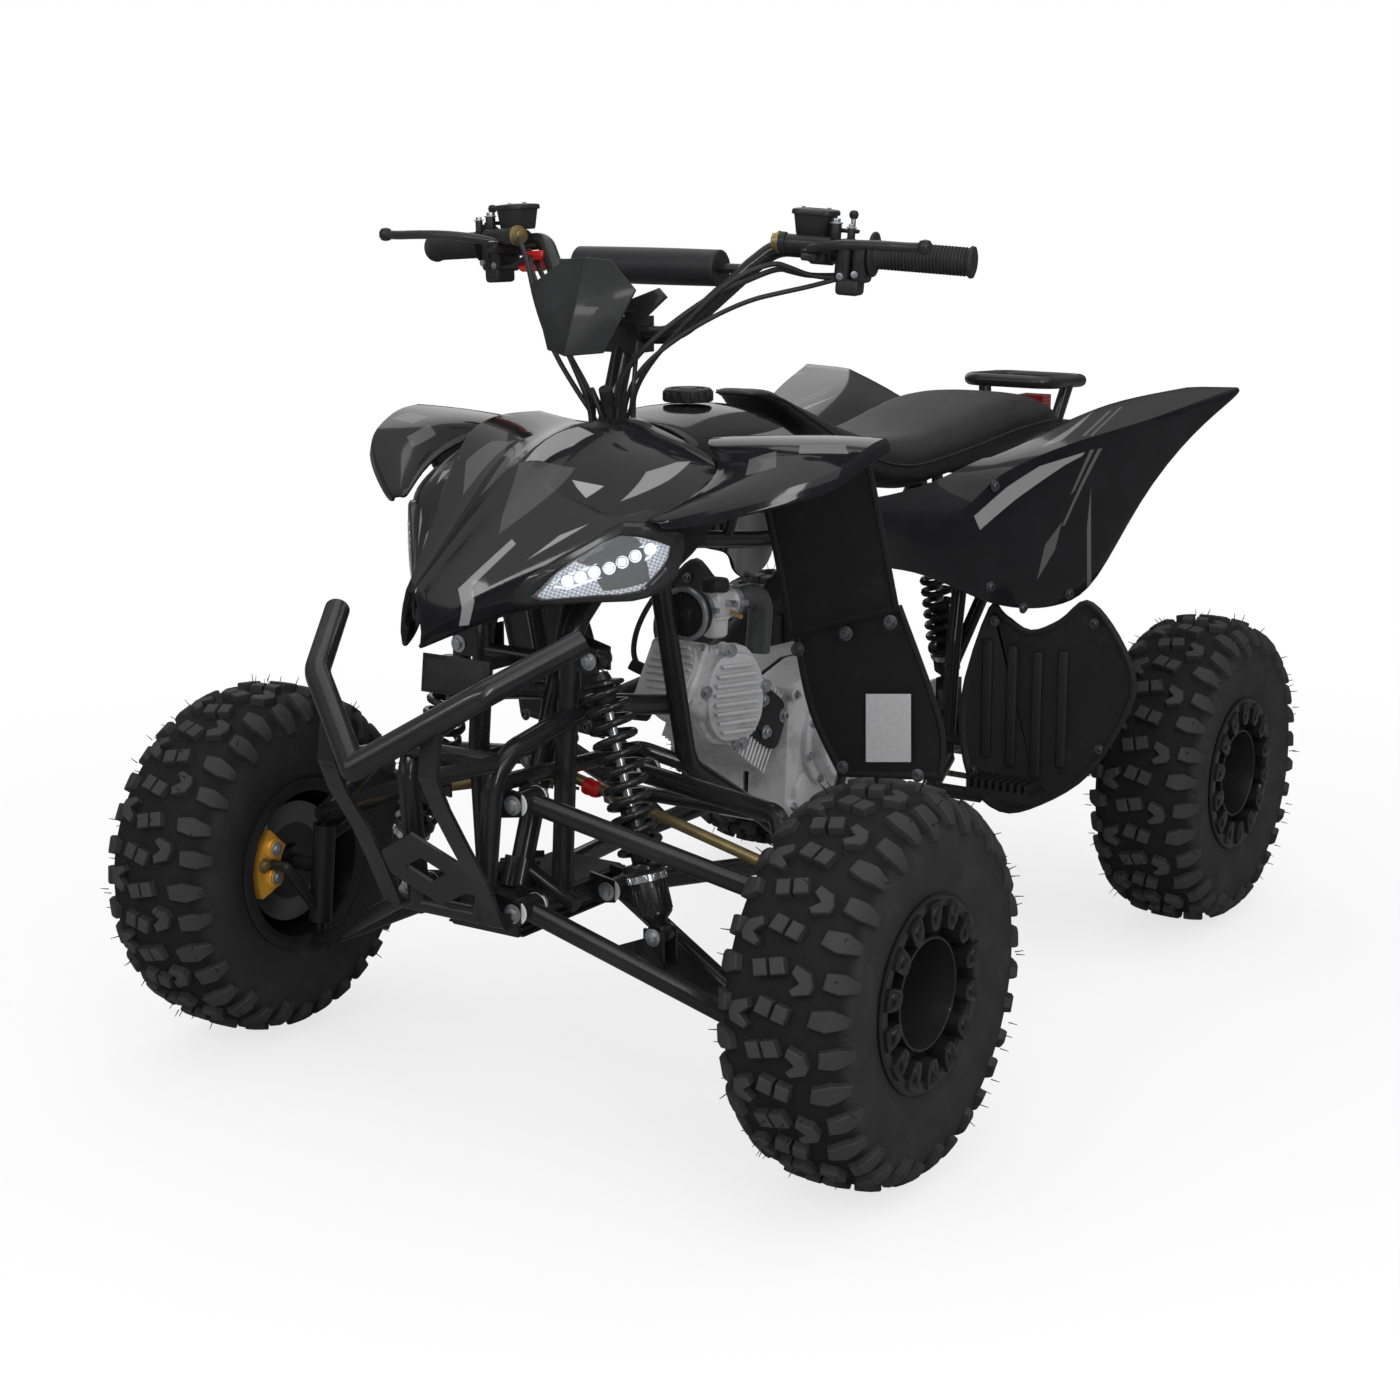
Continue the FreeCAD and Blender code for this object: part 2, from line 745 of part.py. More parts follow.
def lower_arm_gusset(side, pivots, joint):
    """The plate between the lower arm's tubes and the ears that hold the shock's foot."""
    inner = [pivot + (joint - pivot) * GUSSET_START_SHARE for pivot in pivots]
    outer = [pivot + (joint - pivot) * GUSSET_END_SHARE for pivot in pivots]
    plate = slab([inner[0], outer[0], outer[1], inner[1]], V(0, 0, num("bracket_wall")))
    foot = sided(grid(SHOCK_FOOT_SHARES), side)
    share = (foot.x - joint.x) / (pivots[0].x - joint.x)
    low = min(joint.z + (pivot.z - joint.z) * share for pivot in pivots)
    return [plate] + shock_ears(foot, foot.z - low)


def shock_ears(centre, depth):
    """Two ears with a pin across, reaching down from the pin's height by a depth."""
    gap = num("eye_width") / 2 + num("seat_gap")
    wall = num("bracket_wall")
    half = num("eye_radius")
    shapes = [rod(centre - V(0, gap + wall, 0), centre + V(0, gap + wall, 0), num("pivot_pin") / 2)]
    for face in (-gap - wall, gap):
        low = centre + V(-half, face, -depth)
        high = V(0, 0, depth + half * EAR_SHARE)
        corners = [low, low + V(2 * half, 0, 0), low + V(2 * half, 0, 0) + high, low + high]
        shapes.append(slab(corners, V(0, wall, 0)))
    return shapes


def shock_frame(top, foot):
    """Turns a body drawn along +Z from a shock's foot so that it points at its top."""
    return FreeCAD.Placement(foot, FreeCAD.Rotation(V(0, 0, 1), top - foot))


def shock_solid(top, foot, cylinder_radius, cylinder_length):
    """Damper: foot eye, lower cylinder, body, rod, spring seats and top eye."""
    length = (top - foot).Length
    eye = num("eye_radius")
    seat = num("spring_radius")
    plate = num("spring_wire")
    low_seat = eye + cylinder_length
    body_top = low_seat + 0.45 * (length - low_seat)
    axis = V(0, 0, 1)
    shapes = [
        Part.makeCylinder(eye * 0.6, 2 * eye, V(0, 0, 0), axis),
        Part.makeCylinder(cylinder_radius, cylinder_length - eye * 0.6, V(0, 0, eye * 1.6), axis),
        Part.makeCylinder(seat, plate, V(0, 0, low_seat), axis),
        Part.makeCylinder(cylinder_radius * 0.66, body_top - low_seat, V(0, 0, low_seat), axis),
        Part.makeCylinder(num("rod_radius"), length - eye - body_top, V(0, 0, body_top), axis),
        Part.makeCylinder(seat, plate, V(0, 0, length - 2.4 * eye), axis),
        Part.makeCylinder(eye * 0.6, 2.4 * eye, V(0, 0, length - 2.4 * eye), axis),
    ]
    solid = fused(shapes)
    solid.Placement = shock_frame(top, foot)
    across = V(0, num("eye_width") / 2, 0)
    eyes = [rod(place - across, place + across, eye) for place in (top, foot)]
    bores = [rod(place - across, place + across, num("pivot_pin") / 2 + num("seat_gap")) for place in (top, foot)]
    return fused([solid] + eyes).cut(bores[0].fuse(bores[1]))


def spring_solid(top, foot, cylinder_length):
    """The coil between a shock's seats, wound as a tube of its own outer and inner size."""
    length = (top - foot).Length
    eye = num("eye_radius")
    start = eye + cylinder_length + num("spring_wire") + num("seat_gap")
    end = length - 2.4 * eye - num("seat_gap")
    outside = Part.makeCylinder(num("spring_radius"), end - start, V(0, 0, start))
    inside = Part.makeCylinder(num("spring_radius") - num("spring_wire"), end - start, V(0, 0, start))
    solid = outside.cut(inside)
    solid.Placement = shock_frame(top, foot)
    return solid


def front_suspension():
    """Arms, shocks and springs of both front wheels."""
    for level in ("upper", "lower"):
        feature(f"{level}_arms", Part.makeCompound([arm(1, level), arm(-1, level)]))
    shocks = []
    springs = []
    for side in (1, -1):
        top = sided(grid(SHOCK_TOP_SHARES), side)
        foot = sided(grid(SHOCK_FOOT_SHARES), side)
        shocks.append(shock_solid(top, foot, num("shock_radius"), num("shock_cylinder")))
        springs.append(spring_solid(top, foot, num("shock_cylinder")))
    feature("front_shocks", Part.makeCompound(shocks))
    feature("front_springs", Part.makeCompound(springs))


ARM_ROOT_SHARE = 2.7
BOSS_START_SHARE = 2.1
ARM_END_SHARE = 1.6


def knuckle(side, word):
    """Upright between the ball joints, with the stub axle and the steering arm."""
    lower = from_wheel(side, LOWER_BALL_SHARES)
    upper = from_wheel(side, UPPER_BALL_SHARES)
    low = along(lower, upper, num("ball_radius") * BOSS_START_SHARE)
    high = along(upper, lower, num("ball_radius") + 1.5 * num("seat_gap"))
    centre = front_centre(side)
    root = lower + (upper - lower) * ((centre.z - lower.z) / (upper.z - lower.z))
    tip = V(centre.x - side * num("web_wall") * 2.2, centre.y, centre.z)
    joint = from_wheel(side, ARM_JOINT_SHARES)
    start = along(upper, lower, ARM_ROOT_SHARE * num("ball_radius"))
    arm_end = joint - V(0, 0, num("kingpin_radius") * ARM_END_SHARE)
    shapes = [
        rod(low, high, num("knuckle_radius")),
        rod(V(root.x, centre.y, centre.z), tip, num("spindle_radius")),
        rod(start, arm_end, num("kingpin_radius") * 1.2),
        ball(arm_end, num("kingpin_radius") * ARM_END_SHARE),
    ]
    shapes += caliper_bracket(side, along(lower, upper, ARM_ROOT_SHARE * num("ball_radius")))
    bore = num("kingpin_radius") + num("running_gap")
    reach = stud_reach() + num("seat_gap")
    bores = [rod(lower, along(lower, upper, reach), bore), rod(upper, along(upper, lower, reach), bore)]
    return feature(f"knuckle_{word}", fused(shapes).cut(bores[0].fuse(bores[1])))




CALIPER_SPAN_ANGLE = 62
CALIPER_MIDDLE_ANGLE = 168
CALIPER_ROOT_SHARE = 0.62
CALIPER_INSIDE_SHARE = 0.62


def disc_plane():
    """Inboard face of the front brake disc, counted outwards from the wheel's centre plane."""
    face = num("rim_width") / 2 - num("web_depth") - num("web_wall")
    return face - num("hub_flange_wall") - num("disc_inset")


def wheel_sector(start, radius, width, middle, span):
    """A sector about the wheel's axis; its middle angle counts from rearwards over the top."""
    sector = Part.makeCylinder(radius, width, V(0, 0, 0), V(0, 0, 1), span)
    lay = FreeCAD.Rotation(V(0, 0, 1), V(1, 0, 0))
    turn = FreeCAD.Rotation(V(1, 0, 0), middle + 90 - span / 2)
    sector.Placement = FreeCAD.Placement(start, turn.multiply(lay))
    return sector


def caliper(side, word):
    """Brake caliper that straddles the front disc ahead of the axle."""
    centre = front_centre(1)
    outer = num("disc_radius") + num("caliper_bridge")
    width = num("caliper_width")
    start = centre + V(disc_plane() + num("disc_wall") / 2 - width * CALIPER_ROOT_SHARE, 0, 0)
    axis = V(1, 0, 0)
    block = wheel_sector(start, outer, width, CALIPER_MIDDLE_ANGLE, CALIPER_SPAN_ANGLE)
    block = block.cut(Part.makeCylinder(num("disc_radius") * CALIPER_INSIDE_SHARE, width, start, axis))
    slot_wall = num("disc_wall") + 2 * num("disc_gap")
    slot_start = centre + V(disc_plane() - num("disc_gap"), 0, 0)
    block = block.cut(Part.makeCylinder(num("disc_radius") + num("disc_gap"), slot_wall, slot_start, axis))
    return feature(f"caliper_{word}", block if side > 0 else flipped(block))


def caliper_bracket(side, root):
    """The ear on the upright that carries the caliper, up to its inner face."""
    centre = front_centre(side)
    inner = centre.x + side * (disc_plane() + num("disc_wall") / 2 - num("caliper_width") * CALIPER_ROOT_SHARE)
    inner = inner - side * num("seat_gap")
    angle = math.radians(CALIPER_MIDDLE_ANGLE)
    reach = num("disc_radius") * (1 + CALIPER_INSIDE_SHARE) / 2
    place = V(inner, centre.y + reach * math.cos(angle), centre.z + reach * math.sin(angle))
    elbow = V(root.x, place.y, place.z)
    radius = num("kingpin_radius") * 1.2
    return [rod(root, elbow, radius), ball(elbow, radius), rod(elbow, place, radius)]


PITMAN_JOINT_SHARES = (0.015, -0.531, 0.385)
LINK_EYE_SHARE = 0.62


def stem_axis():
    """Direction of the steering axis, upwards."""
    return (stem_point(1) - stem_point(0)).normalize()


def tie_rod(side, word):
    """Tie rod from the pitman plate out to the steering arm, its outer eye open above the arm."""
    axis = stem_axis()
    eye = num("link_tube") * LINK_EYE_SHARE
    joint = sided(grid(PITMAN_JOINT_SHARES), side)
    inner = joint + axis * (num("bracket_wall") + num("rod_lift") + eye)
    outer = from_wheel(side, ARM_JOINT_SHARES) + V(0, 0, num("link_gap") + eye)
    pin_end = joint - axis * num("bracket_wall")
    shapes = [rod(inner, outer, num("link_tube") / 2), ball(inner, eye), ball(outer, eye)]
    shapes.append(rod(pin_end, inner, num("link_pin") / 2))
    return feature(f"tie_rod_{word}", fused(shapes))


# Frame

SIDE_RUN_SHARES = {
    "lower_rail": [(0.048, -0.745, 0.283), (0.050, -0.49, 0.258), (0.115, -0.25, 0.235), (0.115, 0.20, 0.235), (0.100, 0.285, 0.268)],
    "front_post": [(0.048, -0.745, 0.283), (0.066, -0.742, 0.470), (0.072, -0.560, 0.505), (0.085, -0.425, 0.480)],
    "tower": [(0.057, -0.606, 0.272), (0.066, -0.606, 0.45), (0.066, -0.590, 0.600), (0.066, -0.475, 0.690)],
    "down_tube": [(0.100, -0.470, 0.690), (0.100, -0.400, 0.400), (0.105, -0.235, 0.300), (0.112, -0.150, 0.236)],
}
SPINE_SHARES = [(0.066, -0.475, 0.690), (0.100, -0.440, 0.690), (0.105, -0.250, 0.665), (0.102, -0.050, 0.648), (0.100, 0.150, 0.6685), (0.100, 0.450, 0.6885), (0.095, 0.700, 0.700)]
REAR_POST_SHARES = [(0.100, 0.285, 0.268), (0.100, 0.300, 0.440), (0.100, 0.345, 0.680)]
REAR_BRACE_SHARES = [(0.100, 0.292, 0.400), (0.100, 0.590, 0.694)]
CROSS_SHARES = {
    "nose_low": (0.084, -0.745, 0.283),
    "nose_high": (0.066, -0.742, 0.470),
    "low_middle": (0.050, -0.490, 0.258),
    "tower_top": (0.066, -0.594, 0.560),
    "engine_front": (0.105, -0.235, 0.300),
    "engine_seat_front": (0.115, -0.040, 0.235),
    "engine_seat_rear": (0.115, 0.095, 0.235),
    "foot_rest": (0.115, 0.200, 0.235),
    "pivot": (0.100, 0.285, 0.268),
    "spine_front": (0.100, -0.432, 0.690),
    "seat_front": (0.101, 0.050, 0.658),
    "seat_rear": (0.095, 0.690, 0.6995),
}
SHOCK_CROSS_SHARES = (0.100, 0.400, 0.6852)
STEM_BEARING_SHARE = 0.640
STEM_FOOT_SHARE = 0.300


def cross_tube(shares, diameter):
    """A straight tube from side to side."""
    point = grid(shares)
    return rod(mirrored(point), point, diameter / 2)


def pivot_bracket(pivot, side, rail_x):
    """Ears before and behind a bush, the bolt through it, all reaching in to the rail."""
    gap = num("bush_length") / 2 + num("seat_gap")
    wall = num("bracket_wall")
    half = num("arm_bush") / 2
    shapes = [rod(pivot - V(0, gap + wall, 0), pivot + V(0, gap + wall, 0), num("pivot_pin") / 2)]
    for face in (-gap - wall, gap):
        outer = V(pivot.x + side * half * 0.6, pivot.y + face, pivot.z)
        inner = V(side * rail_x, pivot.y + face, pivot.z)
        corners = [outer - V(0, 0, half), outer + V(0, 0, half), inner + V(0, 0, half * 1.4), inner - V(0, 0, half * 1.4)]
        shapes.append(slab(corners, V(0, wall, 0)))
    return shapes


def arm_brackets(side):
    """Brackets of all four arm pivots on one side, and the ears at the shock's top."""
    shapes = []
    for shares in (LOWER_PIVOT_FRONT_SHARES, LOWER_PIVOT_REAR_SHARES, UPPER_PIVOT_FRONT_SHARES, UPPER_PIVOT_REAR_SHARES):
        shapes += pivot_bracket(sided(grid(shares), side), side, num("rail_line"))
    top = sided(grid(SHOCK_TOP_SHARES), side)
    gap = num("eye_width") / 2 + num("seat_gap")
    wall = num("bracket_wall")
    half = num("eye_radius")
    shapes.append(rod(top - V(0, gap + wall, 0), top + V(0, gap + wall, 0), num("pivot_pin") / 2))
    for face in (-gap - wall, gap):
        outer = top + V(side * half * 0.7, face, 0)
        inner = V(side * num("rail_line"), outer.y, outer.z)
        corners = [outer - V(0, 0, half), outer + V(0, 0, half), inner + V(0, 0, 2 * half), inner - V(0, 0, half)]
        shapes.append(slab(corners, V(0, wall, 0)))
    return shapes


def upper_pivot_rails(side):
    """The short rail between tower and down tube that carries the upper arm's pivots."""
    lift = V(0, 0, num("brace_tube"))
    front_pivot = grid(UPPER_PIVOT_FRONT_SHARES) + lift
    rear_pivot = grid(UPPER_PIVOT_REAR_SHARES) + lift
    front = V(side * num("rail_line"), front_pivot.y, front_pivot.z)
    rear = V(side * num("rail_line"), rear_pivot.y + num("bush_length"), rear_pivot.z)
    down = V(side * grid(SIDE_RUN_SHARES["down_tube"][1]).x, grid(SIDE_RUN_SHARES["down_tube"][1]).y, grid(SIDE_RUN_SHARES["down_tube"][1]).z)
    post = V(side * grid(CROSS_SHARES["nose_high"]).x, grid(CROSS_SHARES["nose_high"]).y, front.z)
    return tube([post, front, rear, down], num("brace_tube"), num("frame_tube"))


def stem_bearings():
    """Upper sleeve and lower cup of the steering stem, with their stays to the cross tubes."""
    high = stem_point(STEM_BEARING_SHARE)
    axis = (stem_point(1) - stem_point(0)).normalize()
    half = axis * num("stem_radius")
    low = stem_point(STEM_FOOT_SHARE)
    wall = num("bracket_wall")
    outer = num("stem_radius") + 2 * wall
    sleeves = [rod(high - half, high + half, outer), rod(low - half * 1.6, low + half, outer)]
    bores = [
        rod(high - half * 2, high + half * 2, num("stem_radius") + num("running_gap")),
        rod(low - half, low + half * 2, num("stem_radius") + num("running_gap")),
    ]
    front = grid(CROSS_SHARES["tower_top"])
    span = grid(CROSS_SHARES["nose_low"]).x
    stays = []
    for side in (1, -1):
        stays.append(rod(V(side * front.x, grid(SIDE_RUN_SHARES["tower"][2]).y, high.z), V(side * outer * 0.8, high.y, high.z), num("brace_tube") / 2))
        rail = grid(SIDE_RUN_SHARES["lower_rail"][1])
        stays.append(rod(V(side * span, low.y, rail.z + num("brace_tube") / 2), V(side * outer * 0.8, low.y, low.z), num("brace_tube") / 2))
    return sleeves, bores, stays


SEAT_ROUNDS = 12
PANEL_STAY_SHARES = [
    ("COWL", (0.085, -0.462, 0.690), -0.520, 3.2),
    ("TANK", (0.105, -0.200, 0.664), -0.200, 3.2),
    ("TANK", (0.105, -0.320, 0.672), -0.320, 3.2),
    ("REAR_FENDER", (0.100, 0.120, 0.664), 0.120, 0.5),
    ("TAIL", (0.090, 0.694, 0.6995), 0.694, 1.4),
]
LEG_STAY_SHARES = ((0.115, -0.080, 0.240), (0.215, -0.198, 0.400))
GUARD_STAY_SHARES = ((0.100, 0.262, 0.300), (0.330, 0.262, 0.300))


def seated_rod(start, mark, radius, panel):
    """A round bar from a point towards a mark in a panel's wall, its rounded end just short of the panel."""
    clear = radius + 2 * num("seat_gap")
    low = 0
    high = 1
    for _ in range(SEAT_ROUNDS):
        share = (low + high) / 2
        end = start + (mark - start) * share
        if Part.Vertex(end).distToShape(panel)[0] > clear:
            low = share
        else:
            high = share
    end = start + (mark - start) * low
    return fused([rod(start, end, radius), ball(end, radius)])


def panel_stays():
    """Thin stays of the left side that hold the body panels, each ending against a panel's inner face."""
    wall = num("panel_wall")
    radius = num("stay_radius")
    tables = {"COWL": COWL_SHARES, "TANK": TANK_SHARES, "REAR_FENDER": REAR_FENDER_SHARES, "TAIL": TAIL_SHARES}
    stays = []
    for name, start_shares, y_share, place in PANEL_STAY_SHARES:
        panel = shell(tables[name], False, wall)
        start = grid(start_shares)
        mark = panel_mark(tables[name], y_share, place, wall / 2)
        stays.append(seated_rod(start, mark, radius, panel))
    start, mark = [grid(shares) for shares in LEG_STAY_SHARES]
    panel = sheet_panel(FOOT_SHIELD_SHARES, wall)
    stays.append(seated_rod(start, mark, radius, panel))
    back = V(0, num("seat_gap") + radius, 0)
    start, end = [grid(shares) + back for shares in GUARD_STAY_SHARES]
    post = grid(REAR_POST_SHARES[0])
    stays += [rod(start, end, radius), rod(start, V(post.x, post.y, start.z), radius)]
    return stays


def main_frame():
    """The welded frame: rails, posts, tower, spine, seat rails, brackets and stem bearings."""
    shapes = []
    for side in (1, -1):
        for runs in SIDE_RUN_SHARES.values():
            shapes.append(tube([sided(grid(shares), side) for shares in runs], num("frame_tube")))
        shapes.append(tube([sided(grid(shares), side) for shares in SPINE_SHARES], num("seat_tube")))
        shapes.append(tube([sided(grid(shares), side) for shares in REAR_POST_SHARES], num("seat_tube")))
        shapes.append(tube([sided(grid(shares), side) for shares in REAR_BRACE_SHARES], num("brace_tube")))
        shapes.append(upper_pivot_rails(side))
        shapes += arm_brackets(side)
    for name, shares in CROSS_SHARES.items():
        shapes.append(cross_tube(shares, num("brace_tube")))
    sleeves, bores, stays = stem_bearings()
    shapes += [piece.cut(bores) for piece in stays + sleeves]
    shapes += rear_shock_mount()
    for stay in panel_stays():
        shapes += [stay, flipped(stay)]
    return feature("main_frame", shapes[0].multiFuse(shapes[1:]))


REAR_SHOCK_TOP_SHARES = (0, 0.400, 0.640)
REAR_SHOCK_FOOT_SHARES = (0, 0.475, 0.335)


def rear_shock_mount():
    """Cross tube with two ears and a pin that carry the rear shock's top eye."""
    cross = grid(SHOCK_CROSS_SHARES)
    top = grid(REAR_SHOCK_TOP_SHARES)
    gap = num("eye_width") / 2 + num("seat_gap")
    wall = num("bracket_wall")
    half = num("eye_radius")
    shapes = [cross_tube(SHOCK_CROSS_SHARES, num("brace_tube"))]
    shapes.append(rod(top - V(gap + wall, 0, 0), top + V(gap + wall, 0, 0), num("pivot_pin") / 2))
    for face in (-gap - wall, gap):
        low = V(face, top.y, top.z)
        corners = [low + V(0, -half, -half), low + V(0, half, -half), V(face, cross.y + half, cross.z), V(face, cross.y - half, cross.z)]
        shapes.append(slab(corners, V(wall, 0, 0)))
    return shapes


def swingarm():
    """Two legs from the pivot sleeve to the axle carrier, with the shock's lower ears."""
    pivot = grid(CROSS_SHARES["pivot"])
    axle = V(0, rear_centre(1).y, num("wheel_radius"))
    half = num("carrier_length") / 2
    start = pivot.y + num("brace_tube") / 2 + num("seat_gap")
    leg_x = half - num("seat_tube") / 2 - num("bracket_wall")
    shapes = [rod(axle - V(half, 0, 0), axle + V(half, 0, 0), num("carrier_radius"))]
    for side in (1, -1):
        shapes.append(rod(V(side * leg_x, start, pivot.z), V(side * leg_x, axle.y, axle.z), num("seat_tube") / 2))
    foot = grid(REAR_SHOCK_FOOT_SHARES)
    cross_z = axle.z + (pivot.z - axle.z) * (axle.y - foot.y) / (axle.y - pivot.y)
    shapes.append(rod(V(-leg_x, foot.y, cross_z), V(leg_x, foot.y, cross_z), num("seat_tube") / 2))
    gap = num("eye_width") / 2 + num("seat_gap")
    wall = num("bracket_wall")
    eye = num("eye_radius")
    shapes.append(rod(foot - V(gap + wall, 0, 0), foot + V(gap + wall, 0, 0), num("pivot_pin") / 2))
    for face in (-gap - wall, gap):
        low = V(face, foot.y - eye, cross_z)
        high = foot.z + eye * EAR_SHARE
        corners = [low, low + V(0, 2 * eye, 0), V(face, foot.y + eye, high), V(face, foot.y - eye, high)]
        shapes.append(slab(corners, V(wall, 0, 0)))
    bore = rod(axle - V(2 * half, 0, 0), axle + V(2 * half, 0, 0), num("axle_radius") + num("running_gap"))
    cut = [shape.cut(bore) for shape in shapes]
    return feature("swingarm", cut[0].multiFuse(cut[1:]))


def rear_shock():
    """Damper and coil between the swingarm and the subframe."""
    top = grid(REAR_SHOCK_TOP_SHARES)
    foot = grid(REAR_SHOCK_FOOT_SHARES)
    length = num("shock_cylinder") * 0.7
    quarter = FreeCAD.Rotation(V(0, 0, 1), 90)
    damper = shock_solid(V(0, 0, (top - foot).Length), V(0, 0, 0), num("shock_radius"), length)
    coil = spring_solid(V(0, 0, (top - foot).Length), V(0, 0, 0), length)
    tilt = FreeCAD.Rotation(V(0, 0, 1), top - foot)
    for node, shape in (("rear_shock", damper), ("rear_spring", coil)):
        shape.Placement = FreeCAD.Placement(foot, tilt.multiply(quarter))
        feature(node, shape)


# Bumper

BUMPER_BAR_SHARES = [(0.181, -0.725, 0.619), (0.120, -0.830, 0.569), (0, -0.907, 0.488)]
STRAP_SHARES = [(0.074, -0.862, 0.534), (0.074, -0.870, 0.478), (0.075, -0.852, 0.440), (0.073, -0.820, 0.392), (0.076, -0.790, 0.342), (0.076, -0.7615, 0.283)]
PLATE_MIDDLE_SHARES = (0, -0.7885, 0.342)
PLATE_SHARES = (0.090, 0.056)
PLATE_WINDOW_SHARE = 0.34
STAY_START_SHARES = (0.074, -0.868, 0.478)


def strap(side):
    """A flat bar bent along its stations, one width wide."""
    line = [sided(grid(shares), side) for shares in STRAP_SHARES]
    half = V(num("strap_width") / 2, 0, 0)
    back = V(0, num("strap_wall"), 0)
    shapes = []
    for start, end in zip(line, line[1:]):
        shapes.append(slab([start - half, end - half, end + back - half, start + back - half], half * 2))
    return shapes


def front_bumper():
    """Bent bar with a mitred point, two straps down to the frame, the plate between them and two stays."""
    half = [grid(shares) for shares in BUMPER_BAR_SHARES]
    radius = num("bumper_tube") / 2
    bar = tube(half, 2 * radius, num("bend_radius"))
    shapes = [bar, flipped(bar), ball(half[-1], radius)]
    for side in (1, -1):
        shapes += strap(side)
        start = sided(grid(STAY_START_SHARES), side)
        post = sided(grid(CROSS_SHARES["nose_high"]), side)
        end = V(start.x, post.y - num("frame_tube") / 2 - num("seat_gap"), post.z)
        shapes.append(rod(start, end, num("brace_tube") / 2))
    shapes.append(bumper_plate())
    return feature("front_bumper", shapes[0].multiFuse(shapes[1:]))


def bumper_plate():
    """The square plate that hangs by two corners between the straps, with a square window in it."""
    middle = grid(PLATE_MIDDLE_SHARES)
    slope = (grid(STRAP_SHARES[5]) - grid(STRAP_SHARES[3])).normalize()
    slope = V(0, slope.y, slope.z)
    across = V(PLATE_SHARES[0] * num("jig_width"), 0, 0)
    down = slope * (PLATE_SHARES[1] * num("jig_height"))
    normal = across.cross(down).normalize() * num("bracket_wall")

    def diamond(share):
        corners = [middle + across * share, middle + down * share, middle - across * share, middle - down * share]
        return slab(corners, normal)

    return diamond(1).cut(diamond(PLATE_WINDOW_SHARE))


# Engine

CASE_SHARES = [(-0.115, 0.262), (-0.105, 0.440), (-0.020, 0.462), (0.120, 0.455), (0.175, 0.400), (0.165, 0.300), (0.120, 0.2453), (-0.080, 0.2453)]
CYLINDER_START_SHARES = (0, -0.105, 0.365)
CYLINDER_END_SHARES = (0, -0.225, 0.445)
HEAD_END_SHARE = 1.62
COVER_SHARES = (-0.010, 0.352)
PINION_SHARES = (0.110, 0.325)
CARBURETTOR_SHARES = (0.050, -0.262, 0.5768)
CARBURETTOR_BORE_SHARE = 0.7
INTAKE_ELBOW_SHARES = (0.050, -0.180, 0.580)
INTAKE_END_SHARES = (0.050, -0.160, 0.500)
PIPE_SHARES = [
    (-0.0582, -0.264, 0.424),
    (-0.136, -0.262, 0.420),
    (-0.136, 0.010, 0.440),
    (-0.140, 0.200, 0.520),
    (-0.164, 0.330, 0.545),
    (-0.164, 0.420, 0.550),
]


def prism(body, outline, width, offset=None):
    """A side outline drawn in the YZ plane, pushed across by a width about the middle plane."""
    sketch = sketch_on(body, "YZ_Plane", offset)
    polygon(sketch, outline)
    return padded(body, sketch, width, midplane=True)


def engine_case():
    """Crankcase with its two round side covers and the front sprocket on its shaft."""
    body = new_body("engine_case")
    outline = [(S.jig_length * y + S.mid_station, S.jig_height * z) for y, z in CASE_SHARES]
    prism(body, outline, S.case_width)
    y_share, z_share = COVER_SHARES
    for side in (1, -1):
        sketch = sketch_on(body, "YZ_Plane")
        circle(sketch, S.jig_length * y_share + S.mid_station, S.jig_height * z_share, S.cover_radius)
        padded(body, sketch, S.case_width / 2 + S.cover_wall, reverse=side < 0)
    y_share, z_share = PINION_SHARES
    y = S.jig_length * y_share + S.mid_station
    z = S.jig_height * z_share
    shaft = sketch_on(body, "YZ_Plane")
    circle(shaft, y, z, S.spindle_radius)
    padded(body, shaft, S.sprocket_offset + S.sprocket_wall)
    sprocket = sketch_on(body, "YZ_Plane", S.sprocket_offset - S.sprocket_wall / 2)
    circle(sprocket, y, z, S.pinion_radius)
    padded(body, sprocket, S.sprocket_wall)
    return keep("engine_case", body)


def cylinder_head():
    """Cylinder and head leaning forward out of the case, with fins all round."""
    start = grid(CYLINDER_START_SHARES)
    end = grid(CYLINDER_END_SHARES)
    axis = (end - start).normalize()
    half = num("cylinder_width") / 2
    length = (end - start).Length
    depth = num("fin_depth")
    wide = half + depth
    shapes = [Part.makeBox(2 * half, 2 * half, length * HEAD_END_SHARE, V(-half, -half, 0))]
    count = int((length - 2 * num("fin_pitch")) // num("fin_pitch"))
    for index in range(count):
        height = (index + 2) * num("fin_pitch")
        shapes.append(Part.makeBox(2 * wide, 2 * wide, num("fin_wall"), V(-wide, -wide, height)))
    shapes.append(Part.makeBox(2 * wide, 2 * half, length * (HEAD_END_SHARE - 1), V(-wide, -half, length)))
    solid = fused(shapes)
    solid.Placement = FreeCAD.Placement(start, FreeCAD.Rotation(V(0, 0, 1), axis))
    DOC.recompute()
    return feature("cylinder_head", solid.cut(PARTS["engine_case"].Shape))


def carburettor():
    """Carburettor over the cylinder: body, float bowl, and the elbow of its intake."""
    place = grid(CARBURETTOR_SHARES)
    elbow = grid(INTAKE_ELBOW_SHARES)
    low = grid(INTAKE_END_SHARES)
    bore = num("pipe_tube") * CARBURETTOR_BORE_SHARE
    shapes = [
        rod(place - V(0, 2 * bore, 0), place + V(0, 2 * bore, 0), bore),
        rod(place - V(0, 0, 2 * bore), place + V(0, 0, 2 * bore), bore * CARBURETTOR_BORE_SHARE),
        tube([place, elbow, low], num("pipe_tube"), num("pipe_tube")),
    ]
    return feature("carburettor", fused(shapes))


